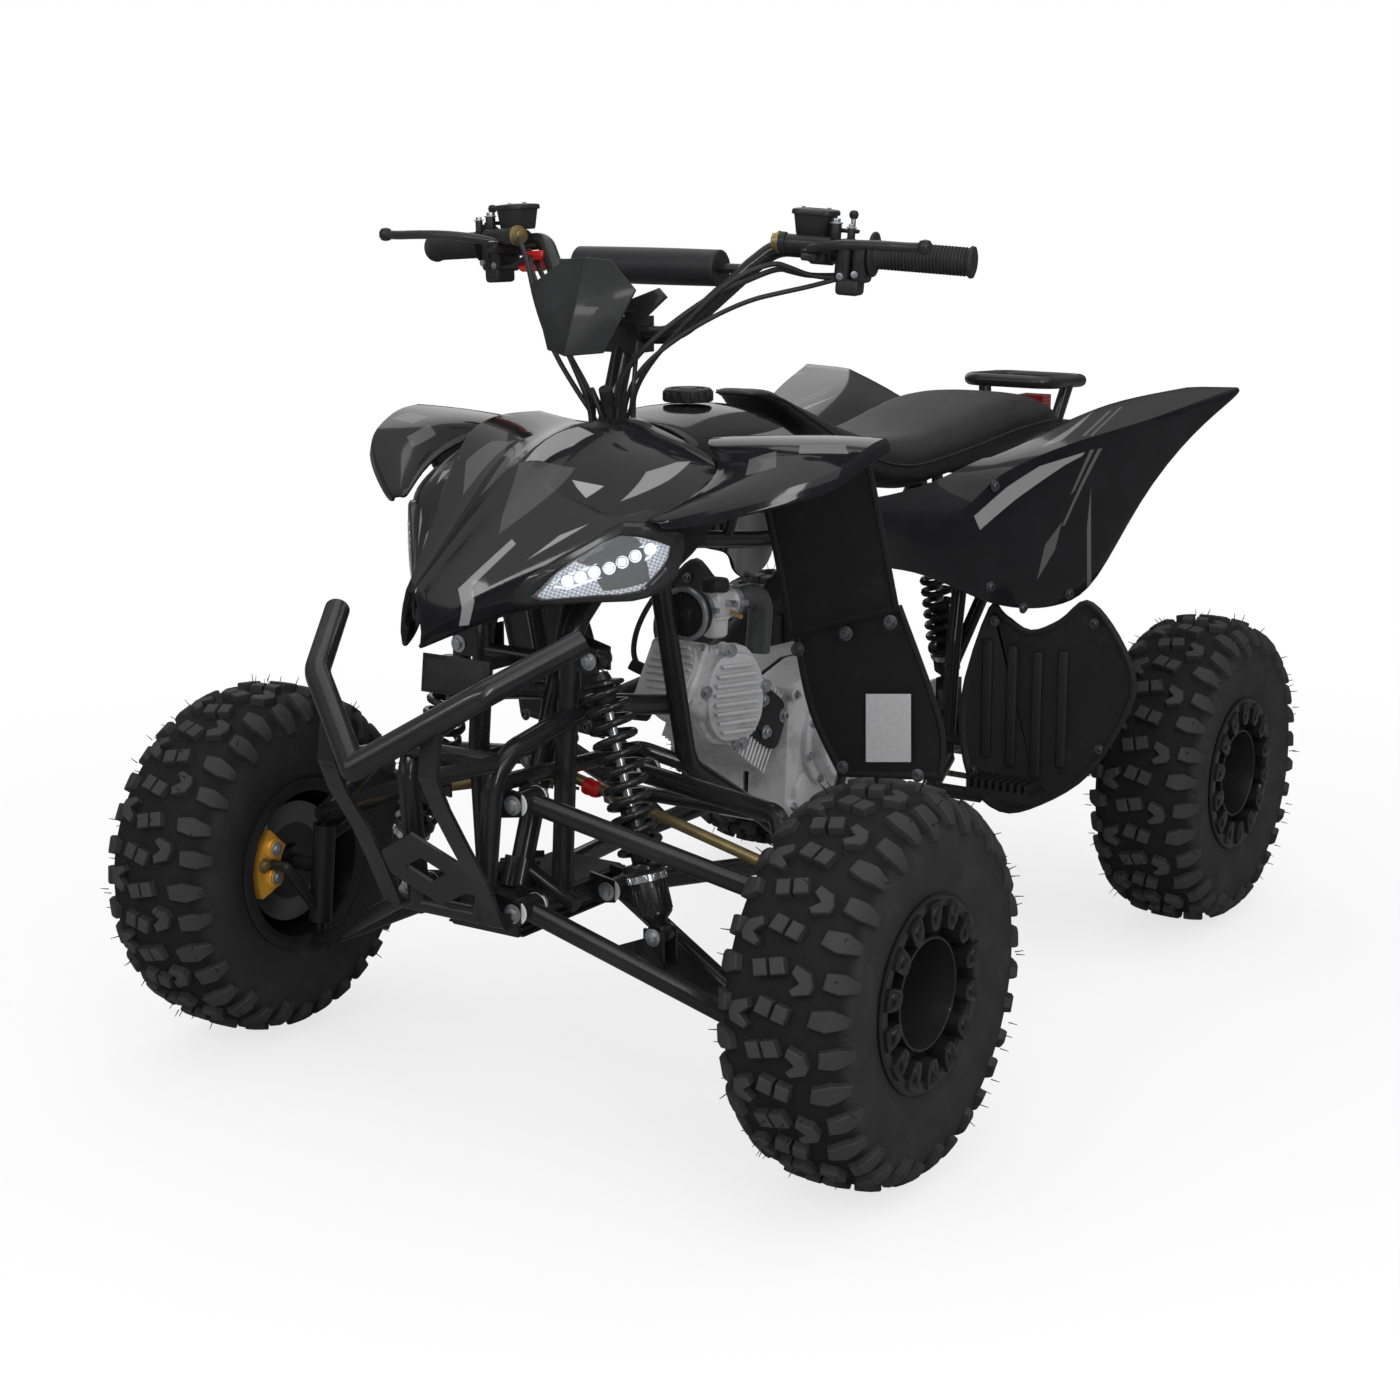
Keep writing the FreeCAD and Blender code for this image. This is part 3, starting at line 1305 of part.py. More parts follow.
def exhaust():
    """Header from the head's right side, along the engine and into the muffler."""
    points = [grid(shares) for shares in PIPE_SHARES]
    header = tube(points, num("pipe_tube"), num("bend_radius"))
    direction = (points[-1] - points[-2]).normalize()
    end = points[-1] + direction * num("muffler_length")
    muffler = rod(points[-1], end, num("muffler_radius"))
    tip = rod(end, end + direction * num("pipe_tube"), num("pipe_tube") / 2)
    return feature("exhaust", fused([header, muffler, tip]))


def belt_outline(first, first_radius, second, second_radius):
    """The outline of a belt around two wheels in the YZ plane."""
    span = second - first
    lean = math.atan2(span.z, span.y)
    swing = math.acos((first_radius - second_radius) / span.Length)

    def rim_point(centre, radius, angle):
        return centre + V(0, radius * math.cos(angle), radius * math.sin(angle))

    top = lean + swing
    bottom = lean - swing
    first_top = rim_point(first, first_radius, top)
    first_bottom = rim_point(first, first_radius, bottom)
    second_top = rim_point(second, second_radius, top)
    second_bottom = rim_point(second, second_radius, bottom)
    edges = [
        Part.LineSegment(first_top, second_top).toShape(),
        Part.Arc(second_top, rim_point(second, second_radius, lean), second_bottom).toShape(),
        Part.LineSegment(second_bottom, first_bottom).toShape(),
        Part.Arc(first_bottom, rim_point(first, first_radius, lean + math.pi), first_top).toShape(),
    ]
    return Part.Wire(edges)


def chain():
    """The chain as one loop around both sprockets, open between its runs."""
    pinion = V(0, grid((0, PINION_SHARES[0], 0)).y, PINION_SHARES[1] * num("jig_height"))
    rear = V(0, rear_centre(1).y, num("wheel_radius"))
    inner_rear = num("sprocket_radius") + num("chain_gap")
    inner_front = num("pinion_radius") + num("chain_gap")
    thick = num("chain_height")
    outer = belt_outline(pinion, inner_front + thick, rear, inner_rear + thick)
    inner = belt_outline(pinion, inner_front, rear, inner_rear)
    loop = Part.Face(outer).cut(Part.Face(inner)).extrude(V(num("chain_width"), 0, 0))
    loop.translate(V(num("sprocket_offset") - num("chain_width") / 2, 0, 0))
    return feature("chain", loop.Solids[0])


# Body panels

COWL_SHARES = [
    (-0.803, [(0, 0.668), (0.006, 0.672), (0.012, 0.652), (0.015, 0.636), (0.016, 0.622), (0.014, 0.608), (0.008, 0.603)]),
    (-0.760, [(0, 0.700), (0.015, 0.712), (0.022, 0.686), (0.032, 0.664), (0.038, 0.648), (0.036, 0.624), (0.026, 0.616)]),
    (-0.700, [(0, 0.745), (0.034, 0.772), (0.043, 0.738), (0.064, 0.708), (0.080, 0.684), (0.078, 0.648), (0.066, 0.638)]),
    (-0.640, [(0, 0.795), (0.054, 0.826), (0.065, 0.790), (0.098, 0.758), (0.132, 0.722), (0.130, 0.655), (0.118, 0.646)]),
    (-0.580, [(0, 0.818), (0.066, 0.842), (0.080, 0.815), (0.125, 0.786), (0.188, 0.740), (0.192, 0.665), (0.180, 0.656)]),
    (-0.520, [(0, 0.824), (0.072, 0.842), (0.090, 0.824), (0.142, 0.802), (0.206, 0.762), (0.208, 0.705), (0.198, 0.696)]),
    (-0.462, [(0, 0.824), (0.076, 0.838), (0.098, 0.828), (0.148, 0.812), (0.204, 0.785), (0.208, 0.760), (0.200, 0.752)]),
]
FENDER_SHARES = [
    (-0.600, [(0.1755, 0.738), (0.186, 0.742), (0.198, 0.738), (0.202, 0.726)]),
    (-0.540, [(0.2035, 0.764), (0.235, 0.770), (0.272, 0.760), (0.277, 0.744)]),
    (-0.474, [(0.2095, 0.790), (0.270, 0.798), (0.345, 0.787), (0.350, 0.768)]),
    (-0.4605, [(0.2095, 0.793), (0.270, 0.803), (0.350, 0.791), (0.355, 0.772)]),
    (-0.446, [(0.154, 0.812), (0.250, 0.820), (0.356, 0.800), (0.360, 0.782)]),
    (-0.400, [(0.140, 0.815), (0.250, 0.824), (0.362, 0.820), (0.368, 0.802)]),
    (-0.360, [(0.144, 0.808), (0.250, 0.820), (0.358, 0.822), (0.366, 0.804)]),
]
TANK_SHARES = [
    (-0.386, [(0, 0.824), (0.058, 0.822), (0.096, 0.802), (0.122, 0.765), (0.128, 0.725)]),
    (-0.300, [(0, 0.836), (0.062, 0.832), (0.104, 0.806), (0.132, 0.757), (0.138, 0.712)]),
    (-0.200, [(0, 0.834), (0.060, 0.828), (0.100, 0.800), (0.130, 0.748), (0.136, 0.702)]),
    (-0.110, [(0, 0.820), (0.050, 0.812), (0.086, 0.785), (0.118, 0.735), (0.126, 0.698)]),
    (-0.035, [(0, 0.765), (0.040, 0.758), (0.070, 0.742), (0.102, 0.718), (0.114, 0.696)]),
]
TAIL_SHARES = [
    (0.670, [(0, 0.728), (0.080, 0.726), (0.118, 0.716), (0.122, 0.700)]),
    (0.740, [(0, 0.728), (0.070, 0.726), (0.098, 0.716), (0.102, 0.700)]),
    (0.790, [(0, 0.720), (0.050, 0.718), (0.070, 0.710), (0.074, 0.698)]),
]
REAR_FENDER_SHARES = [
    (-0.020, [(0.124, 0.690), (0.130, 0.690), (0.138, 0.668), (0.142, 0.630), (0.142, 0.598)]),
    (0.080, [(0.126, 0.688), (0.134, 0.690), (0.146, 0.665), (0.152, 0.620), (0.152, 0.585)]),
    (0.150, [(0.136, 0.690), (0.148, 0.700), (0.190, 0.650), (0.196, 0.595), (0.198, 0.545)]),
    (0.200, [(0.138, 0.695), (0.156, 0.712), (0.205, 0.700), (0.212, 0.610), (0.215, 0.522)]),
    (0.260, [(0.138, 0.700), (0.165, 0.722), (0.228, 0.722), (0.238, 0.620), (0.240, 0.508)]),
    (0.330, [(0.138, 0.706), (0.178, 0.735), (0.265, 0.743), (0.265, 0.640), (0.262, 0.506)]),
    (0.400, [(0.138, 0.712), (0.192, 0.750), (0.300, 0.757), (0.288, 0.655), (0.278, 0.522)]),
    (0.470, [(0.138, 0.718), (0.207, 0.765), (0.330, 0.768), (0.322, 0.725), (0.312, 0.650)]),
    (0.560, [(0.138, 0.724), (0.230, 0.783), (0.356, 0.784), (0.356, 0.766), (0.354, 0.742)]),
    (0.663, [(0.146, 0.738), (0.300, 0.797), (0.379, 0.800), (0.382, 0.797), (0.383, 0.790)]),
]
SEAT_SHARES = [
    (-0.150, 0.030, 0.846, 0.838),
    (-0.110, 0.052, 0.845, 0.828),
    (-0.030, 0.070, 0.810, 0.778),
    (0.060, 0.090, 0.774, 0.712),
    (0.162, 0.108, 0.750, 0.6815),
    (0.300, 0.122, 0.762, 0.6902),
    (0.450, 0.130, 0.784, 0.7002),
    (0.560, 0.128, 0.784, 0.7075),
    (0.625, 0.110, 0.768, 0.7120),
    (0.655, 0.070, 0.744, 0.7160),
]
SEAT_SHOULDER_SHARES = ((0.72, 1.0), (0.94, 0.78), (1.0, 0.42), (0.92, 0.0))
LEG_SHIELD_SHARES = [
    [(0.168, -0.366, 0.8066), (0.255, -0.385, 0.8168), (0.350, -0.395, 0.8155)],
    [(0.168, -0.305, 0.650), (0.250, -0.320, 0.680), (0.338, -0.330, 0.700)],
    [(0.160, -0.262, 0.545), (0.240, -0.262, 0.570), (0.322, -0.262, 0.595)],
]
FOOT_SHIELD_SHARES = [
    [(0.165, -0.2577, 0.552), (0.240, -0.2577, 0.577), (0.322, -0.2577, 0.602)],
    [(0.165, -0.215, 0.440), (0.250, -0.210, 0.440), (0.345, -0.185, 0.440)],
    [(0.190, -0.180, 0.350), (0.260, -0.178, 0.356), (0.340, -0.175, 0.366)],
]
HEEL_GUARD_SHARES = [(0.178, 0.506), (0.205, 0.498), (0.244, 0.480), (0.290, 0.500), (0.330, 0.532), (0.372, 0.500), (0.408, 0.435), (0.402, 0.380), (0.345, 0.282), (0.270, 0.225), (0.204, 0.205), (0.150, 0.250), (0.135, 0.363)]
HEEL_PLANE_SHARE = 0.262
HEEL_RIB_SHARES = ((0.172, 0.290, 0.455), (0.212, 0.280, 0.450), (0.252, 0.270, 0.445))


def section_wire(y_share, points):
    """A closed section across the vehicle at a station."""
    y = num("mid_station") + y_share * num("jig_length")
    corners = [V(x, y, z) for x, z in points]
    return Part.makePolygon(corners + corners[:1])


def seat():
    """The saddle as one closed cushion, narrow at the tank and broad at the tail."""
    wires = []
    for y_share, half_share, top_share, bottom_share in SEAT_SHARES:
        half = half_share * num("jig_width")
        bottom = bottom_share * num("jig_height")
        rise = top_share * num("jig_height") - bottom
        right = [(half * x, bottom + rise * z) for x, z in SEAT_SHOULDER_SHARES]
        line = [(-x, z) for x, z in reversed(right)] + right
        wires.append(section_wire(y_share, line))
    return feature("seat", Part.makeLoft(wires, True, True))


def pair(node, left):
    """The left piece and its mirror image, as two solids of one node."""
    return feature(node, Part.makeCompound([left, flipped(left)]))


def sheet_panel(rows, wall):
    """A panel that follows a grid of places, thickened rearwards."""
    front = [[grid(shares) for shares in row] for row in rows]
    back = [[point + V(0, wall, 0) for point in row] for row in front]
    return skin(front, back)


def heel_guard():
    """Guard between the rider's heel and the rear wheel: a dished plate with upright ribs."""
    body = new_body("heel_guard_plate")
    outline = [(S.jig_width * x, S.jig_height * z) for x, z in HEEL_GUARD_SHARES]
    sketch = sketch_on(body, "XZ_Plane")
    polygon(sketch, outline)
    padded(body, sketch, S.panel_wall)
    for x_share, low_share, high_share in HEEL_RIB_SHARES:
        rib = sketch_on(body, "XZ_Plane")
        left = S.jig_width * x_share
        right = left + S.rib_width
        low = S.jig_height * low_share
        high = S.jig_height * high_share
        polygon(rib, [(left, low), (right, low), (right, high), (left, high)])
        padded(body, rib, S.panel_wall + S.rib_height)
    y = num("mid_station") + HEEL_PLANE_SHARE * num("jig_length")
    return placed(body, V(0, y, 0))


CAP_SHARES = (0, -0.249, 0.8355)
LAMP_START_SHARES = (0.082, -0.695, 0.652)
LAMP_RUN_SHARES = (0.664, 0.748, 0)
LAMP_OUTLINE_SHARES = [(0, 0), (0.038, 0.046), (0.0965, 0.070), (0.164, 0.058), (0.156, 0.030), (0.127, 0.004), (0.060, -0.002)]


def lamp_block(growth, depth, proud):
    """A lens block in the cowl's side facet: its outline grown, pushed inwards by a depth."""
    run = V(*LAMP_RUN_SHARES).normalize()
    outward = V(run.y, -run.x, 0)
    start = grid(LAMP_START_SHARES)
    outline = [(s * num("jig_length"), z * num("jig_height")) for s, z in LAMP_OUTLINE_SHARES]
    middle_s = sum(s for s, z in outline) / len(outline)
    middle_z = sum(z for s, z in outline) / len(outline)
    corners = []
    for s, z in outline:
        reach = math.hypot(s - middle_s, z - middle_z)
        grown = (reach + growth) / reach
        place = start + run * (middle_s + (s - middle_s) * grown)
        corners.append(place + V(0, 0, middle_z + (z - middle_z) * grown) + outward * proud)
    return slab(corners, outward * -depth)


def front_cowl():
    """Nose cowl, its side facets opened for the lamps."""
    panel = shell(COWL_SHARES, True, num("panel_wall"))
    hole = lamp_block(num("seat_gap"), 2 * num("lamp_depth"), num("lamp_depth"))
    return feature("front_cowl", panel.cut([hole, flipped(hole)]))


def headlamps():
    """Lens blocks on both sides of the cowl."""
    return pair("headlamps", lamp_block(0, num("lamp_depth"), num("lamp_proud") + num("panel_wall")))


def body_panels():
    """Cowl, fenders, tank cover, tail, seat and guards."""
    wall = num("panel_wall")
    front_cowl()
    headlamps()
    pair("front_fenders", shell(FENDER_SHARES, False, wall))
    feature("tank_cover", shell(TANK_SHARES, True, wall))
    pair("rear_fenders", shell(REAR_FENDER_SHARES, False, wall))
    tail_cover()
    seat()
    shields = [sheet_panel(LEG_SHIELD_SHARES, wall), sheet_panel(FOOT_SHIELD_SHARES, wall)]
    shields += [flipped(shield) for shield in shields]
    feature("leg_shields", Part.makeCompound(shields))
    guard = heel_guard()
    DOC.recompute()
    pair("heel_guards", guard.Shape.copy())


def fuel_cap():
    """Screw cap on top of the tank cover."""
    body = new_body("fuel_cap")
    corners = [
        (NOTHING, NOTHING),
        (S.cap_radius * 0.8, NOTHING),
        (S.cap_radius, S.cap_height * 0.25),
        (S.cap_radius, S.cap_height * 0.85),
        (S.cap_radius * 0.9, S.cap_height),
        (NOTHING, S.cap_height),
    ]
    revolved(body, corners, "V_Axis")
    return keep("fuel_cap", placed(body, grid(CAP_SHARES)))


# Rear rack, tail and foot rests

RACK_LOOP_SHARES = [(0, 0.783, 0.786), (0.074, 0.783, 0.786), (0.074, 0.645, 0.792), (0, 0.645, 0.792)]
RACK_FOOT_SHARES = ((0.074, 0.716, 0.789), (0.060, 0.694, 0.712))
TAIL_LAMP_SHARES = (0, 0.748, 0.7285)
HORN_SHARES = (0.112, -0.4258, 0.596)
PEG_SHARES = (0.190, 0.200, 0.260)
SHIFT_SHARES = [(0.0683, 0.060, 0.300), (0.130, 0.060, 0.300), (0.150, 0.055, 0.290), (0.150, 0.010, 0.285), (0.215, 0.008, 0.285)]
PEDAL_SHARES = [(-0.1283, 0.170, 0.238), (-0.156, 0.170, 0.240), (-0.170, 0.055, 0.285), (-0.225, 0.050, 0.285)]
TREAD_SHARE = 0.25
PEG_DROP_SHARE = 0.7


def rack_feet(radius):
    """Both legs of the rack, as round bars of a radius."""
    top, low = [grid(shares) for shares in RACK_FOOT_SHARES]
    return [rod(low, top, radius), rod(mirrored(low), mirrored(top), radius)]


def rear_rack():
    """Grab rail behind the seat: one bent loop on two legs that stand on the subframe."""
    points = [grid(shares) for shares in RACK_LOOP_SHARES]
    left = tube(points, num("rack_tube"), num("rack_tube") * 1.5)
    return feature("rear_rack", fused([left, flipped(left)] + rack_feet(num("rack_tube") / 2)))


def tail_cover():
    """Cover behind the seat, with round holes for the rack's legs."""
    panel = shell(TAIL_SHARES, True, num("panel_wall"))
    return feature("tail_cover", panel.cut(rack_feet(num("rack_tube") / 2 + num("seat_gap"))))


def tail_lamp():
    """Lamp block standing on the tail cover."""
    body = new_body("tail_lamp")
    half = S.lamp_width / 2
    corners = [
        (NOTHING - half, NOTHING),
        (half, NOTHING),
        (half, S.lamp_height),
        (NOTHING - half, S.lamp_height),
    ]
    sketch = sketch_on(body, "XZ_Plane")
    polygon(sketch, corners)
    padded(body, sketch, S.lamp_length, midplane=True)
    return keep("tail_lamp", placed(body, grid(TAIL_LAMP_SHARES)))


def horn():
    """Disc horn in front of the engine's left side."""
    place = grid(HORN_SHARES)
    back = place + V(0, num("horn_depth"), 0)
    disc = rod(place, back, num("horn_radius"))
    return feature("horn", disc)


def footpegs():
    """Rider's pegs: a tread block on a tube that reaches in to the frame rail."""
    place = grid(PEG_SHARES)
    length = num("peg_length")
    width = num("peg_width")
    height = num("peg_height")
    block = Part.makeBox(length, width, height / 2, V(place.x, place.y - width / 2, place.z - height / 2))
    shapes = [block]
    pitch = width * TREAD_SHARE
    count = int(length // pitch)
    for index in range(count):
        tooth = V(place.x + index * pitch, place.y - width / 2, place.z)
        shapes.append(Part.makeBox(pitch / 2, width, height / 2, tooth))
    start = grid(CROSS_SHARES["foot_rest"]).x + num("frame_tube") / 2 + num("seat_gap")
    middle = place.z - height * PEG_DROP_SHARE
    shapes.append(rod(V(start, place.y, middle), V(place.x + pitch, place.y, middle), num("brace_tube") / 2))
    return pair("footpegs", fused(shapes))


def foot_levers():
    """Gear lever on the left and brake pedal on the right."""
    radius = num("shift_radius")
    solids = []
    for table in (SHIFT_SHARES, PEDAL_SHARES):
        points = [grid(shares) for shares in table]
        solids.append(fused([tube(points, 2 * radius, 2 * radius), ball(points[-1], 1.5 * radius)]))
    return feature("foot_levers", Part.makeCompound(solids))


# Steering

PAD_SHARES = (0, -0.334, 1.010)
BAR_SHARES = [
    (0, -0.385, 0.930),
    (0.074, -0.385, 0.930),
    (0.152, -0.333, 1.014),
    (0.1755, -0.3155, 1.0366),
    (0.409, -0.254, 1.021),
]
SHIELD_SHARES = [
    [(0.079, -0.475, 0.990), (0.034, -0.462, 1.023), (0, -0.467, 1.026)],
    [(0.060, -0.481, 0.952), (0.030, -0.482, 0.968), (0, -0.489, 0.968)],
    [(0.042, -0.490, 0.915), (0.021, -0.500, 0.913), (0, -0.512, 0.911)],
]
SHIELD_STAY_SHARES = ((0, -0.486, 0.968), (0, -0.4047, 0.945))
LEVER_SHARES = [(0.225, -0.345, 1.036), (0.290, -0.364, 1.044), (0.404, -0.363, 1.041)]
CABLE_SHARES = [
    [(0.2003, -0.3138, 1.0196), (0.183, -0.319, 1.0185), (0.150, -0.3545, 0.996), (0.1194, -0.3716, 0.9818),
     (0.070, -0.425, 0.930), (0.030, -0.440, 0.880), (0.022, -0.428, 0.835), (0.022, -0.440, 0.790)],
    [(0.2022, -0.3213, 1.0252), (0.184, -0.3305, 1.0255), (0.150, -0.374, 1.000), (0.112, -0.394, 0.960),
     (0.064, -0.414, 0.905), (0.036, -0.418, 0.862), (0.034, -0.414, 0.835), (0.036, -0.424, 0.790)],
]
PERCH_SHARE = 0.94
SWITCH_SHARE = 0.68


def steering_stem():
    """Stem from its foot up to the bar clamp, with the pitman plate for the tie rods."""
    axis = stem_axis()
    foot = stem_point(STEM_FOOT_SHARE)
    bar = grid(BAR_SHARES[0])
    radius = num("stem_radius")
    half = V(num("clamp_width"), num("clamp_depth"), num("clamp_height")) * (1 / 2)
    block = Part.makeBox(2 * half.x, 2 * half.y, 2 * half.z, bar - half)
    joint = grid(PITMAN_JOINT_SHARES)
    centre = stem_point(0) + axis * (V(0, joint.y, joint.z) - stem_point(0)).dot(axis)
    ahead = (V(0, joint.y, joint.z) - centre).normalize()
    margin = num("link_pin")
    far = (V(0, joint.y, joint.z) - centre).Length + margin
    wide = joint.x + margin
    corners = [
        centre + V(-2 * radius, 0, 0),
        centre + V(2 * radius, 0, 0),
        centre + V(wide, 0, 0) + ahead * far,
        centre - V(wide, 0, 0) + ahead * far,
    ]
    shapes = [rod(foot, stem_point(BAR_SHARES[0][2]), radius), block, slab(corners, axis * num("bracket_wall"))]
    clear = num("running_gap")
    cuts = [rod(bar - V(2 * half.x, 0, 0), bar + V(2 * half.x, 0, 0), num("bar_tube") / 2 + clear)]
    for side in (1, -1):
        place = sided(joint, side)
        reach = axis * (2 * num("bracket_wall"))
        cuts.append(rod(place - reach, place + reach, num("link_pin") / 2 + clear))
    return feature("steering_stem", fused(shapes).cut(cuts))


def handlebar():
    """One bent bar with the crossbar that its pad wraps."""
    points = [grid(shares) for shares in BAR_SHARES]
    left = tube(points, num("bar_tube"), num("bend_radius"))
    pad = grid(PAD_SHARES)
    riser = grid(BAR_SHARES[2])
    end = V(riser.x, pad.y, pad.z)
    cross = rod(mirrored(end), end, num("crossbar_radius"))
    return feature("handlebar", fused([left, flipped(left), cross]))


def crash_pad():
    """Round pad between the bar's risers, wrapped around the crossbar."""
    centre = grid(PAD_SHARES)
    half = V(num("pad_length") / 2, 0, 0)
    bore = num("crossbar_radius") + num("seat_gap")
    return feature("crash_pad", rod(centre - half, centre + half, num("pad_radius")).cut(rod(centre - half, centre + half, bore)))


def on_bar(distance):
    """A place on the left bar end, a distance in from its tip, and the direction outwards."""
    tip = grid(BAR_SHARES[-1])
    outward = (tip - grid(BAR_SHARES[-2])).normalize()
    return tip - outward * distance, outward


def bar_bore():
    """The room that a piece clamped on the bar leaves for it."""
    start, outward = on_bar((grid(BAR_SHARES[-1]) - grid(BAR_SHARES[-2])).Length)
    return rod(start, grid(BAR_SHARES[-1]), num("bar_tube") / 2 + num("seat_gap"))


def bar_box(distance, length, width, height, lift):
    """A box around the left bar end, its outer face a distance in from the tip."""
    place, outward = on_bar(distance + length)
    box = Part.makeBox(length, width, height, V(0, -width / 2, lift))
    box.Placement = FreeCAD.Placement(place, FreeCAD.Rotation(V(1, 0, 0), outward))
    return box


def grips():
    """Rubber grips with an end flange, a clear fit over the bar."""
    start, outward = on_bar(num("grip_length"))
    tip, outward = on_bar(0)
    flange = rod(start, start + outward * num("plate_wall"), num("grip_radius") * 1.6)
    sleeve = rod(start, tip + outward * num("plate_wall"), num("grip_radius"))
    return pair("grips", fused([flange, sleeve]).cut(bar_bore()))


def switch_boxes():
    """Switch housings just inboard of the grips."""
    distance = num("grip_length") + num("plate_wall")
    height = num("switch_height")
    box = bar_box(distance, num("switch_length"), num("switch_width"), height, -height * SWITCH_SHARE)
    return pair("switch_boxes", box.cut(bar_bore()))


def brake_controls():
    """Hand brake of each side: perch around the bar, reservoir above and its lever."""
    distance = num("grip_length") + 2 * num("plate_wall") + num("switch_length")
    outer, outward = on_bar(distance)
    inner, outward = on_bar(distance + num("perch_length"))
    radius = num("lever_radius")
    lever = [grid(shares) for shares in LEVER_SHARES]
    pivot = inner + (outer - inner) * (1 / 2)
    shapes = [
        rod(inner, outer, num("perch_radius")),
        rod(pivot, lever[0], 2 * radius),
        tube(lever, 2 * radius, num("bend_radius")),
        ball(lever[-1], 1.5 * radius),
    ]
    length = num("reservoir_length")
    lift = num("perch_radius") * PERCH_SHARE
    shapes.append(bar_box(distance, length, num("reservoir_width"), num("reservoir_height"), lift))
    left = fused(shapes).cut(bar_bore())
    return pair("brake_controls", left)


def number_shield():
    """Folded shield ahead of the bar clamp, on a stay that ends at the clamp."""
    left = sheet_panel(SHIELD_SHARES, num("plate_wall"))
    start, end = [grid(shares) for shares in SHIELD_STAY_SHARES]
    stay = rod(start, end, num("lever_radius"))
    return feature("number_shield", fused([left, flipped(left), stay]))


def control_cables():
    """Cables from the hand controls down to the opening behind the cowl."""
    solids = []
    for table in CABLE_SHARES:
        cable = tube([grid(shares) for shares in table], 2 * num("cable_radius"), num("bend_radius"))
        solids += [cable, flipped(cable)]
    return feature("control_cables", Part.makeCompound(solids))


def build():
    """Builds every piece and writes one STEP file for each."""
    for side, word in ((1, "left"), (-1, "right")):
        tyre(f"front_tyre_{word}", front_centre(side), side)
        rim(f"front_rim_{word}", front_centre(side), side)
        front_hub(f"front_hub_{word}", front_centre(side), side)
        tyre(f"rear_tyre_{word}", rear_centre(side), side)
        rim(f"rear_rim_{word}", rear_centre(side), side)
        knuckle(side, word)
        caliper(side, word)
        tie_rod(side, word)
    rear_axle()
    front_suspension()
    main_frame()
    swingarm()
    rear_shock()
    front_bumper()
    engine_case()
    cylinder_head()
    carburettor()
    exhaust()
    chain()
    body_panels()
    fuel_cap()
    rear_rack()
    tail_lamp()
    horn()
    footpegs()
    foot_levers()
    steering_stem()
    handlebar()
    crash_pad()
    grips()
    switch_boxes()
    brake_controls()
    number_shield()
    control_cables()
    DOC.recompute()
    faults = [thing.Label for thing in DOC.Objects if "Invalid" in thing.State or "Error" in thing.State]
    assert not faults, faults
    os.makedirs("parts", exist_ok=True)
    for node, thing in PARTS.items():
        shape = thing.Shape
        assert not shape.isNull() and shape.isValid() and shape.Volume > 0, node
        shape.exportStep(f"parts/{node}.step")
    print(len(PARTS), "pieces")


build()
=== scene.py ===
"""The looks of a quad bike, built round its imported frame: finishes, detailed pieces, light and camera."""

import logging
import math
from dataclasses import dataclass, field
from enum import Enum
from typing import Sequence

import bmesh
import bpy
from mathutils import Matrix, Vector


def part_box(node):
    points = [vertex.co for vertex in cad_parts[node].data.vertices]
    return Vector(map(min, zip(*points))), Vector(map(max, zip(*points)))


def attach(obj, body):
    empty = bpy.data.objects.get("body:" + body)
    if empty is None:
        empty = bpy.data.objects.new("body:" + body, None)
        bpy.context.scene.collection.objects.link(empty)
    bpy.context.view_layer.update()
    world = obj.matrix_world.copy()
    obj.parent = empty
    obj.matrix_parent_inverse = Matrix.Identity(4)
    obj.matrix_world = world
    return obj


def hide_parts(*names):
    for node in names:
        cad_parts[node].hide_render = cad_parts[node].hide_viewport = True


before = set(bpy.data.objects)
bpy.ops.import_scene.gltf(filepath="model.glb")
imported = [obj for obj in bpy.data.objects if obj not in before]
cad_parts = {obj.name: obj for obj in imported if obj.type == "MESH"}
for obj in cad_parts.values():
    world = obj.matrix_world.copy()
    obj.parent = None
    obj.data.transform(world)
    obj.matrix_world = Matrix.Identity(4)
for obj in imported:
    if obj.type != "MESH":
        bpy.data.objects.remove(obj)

LOG = logging.getLogger("quad_bike")
MID = 0.061
MERGE = 1e-6
SIDES = ((1, "left"), (-1, "right"))
Point = tuple[float, float, float]
Flat = tuple[float, float]


class Axis(Enum):
    """A direction of the vehicle."""

    ACROSS = Vector((1, 0, 0))
    ALONG = Vector((0, 1, 0))
    UP = Vector((0, 0, 1))


def station(point: Sequence[float]) -> Vector:
    """Turns a station counted from the middle of the wheelbase into a place in the row frame."""
    return Vector((point[0], point[1] + MID, point[2]))


def stations(points: Sequence[Point]) -> list[Vector]:
    """Several stations as places."""
    return [station(point) for point in points]


def centre_of(name: str) -> Vector:
    """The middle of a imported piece's box."""
    low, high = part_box(name)
    return (low + high) / 2


def sided(point: Vector, side: int) -> Vector:
    """The same place on the left (1) or right (-1) side."""
    return Vector((point.x * side, point.y, point.z))


# Shader expressions


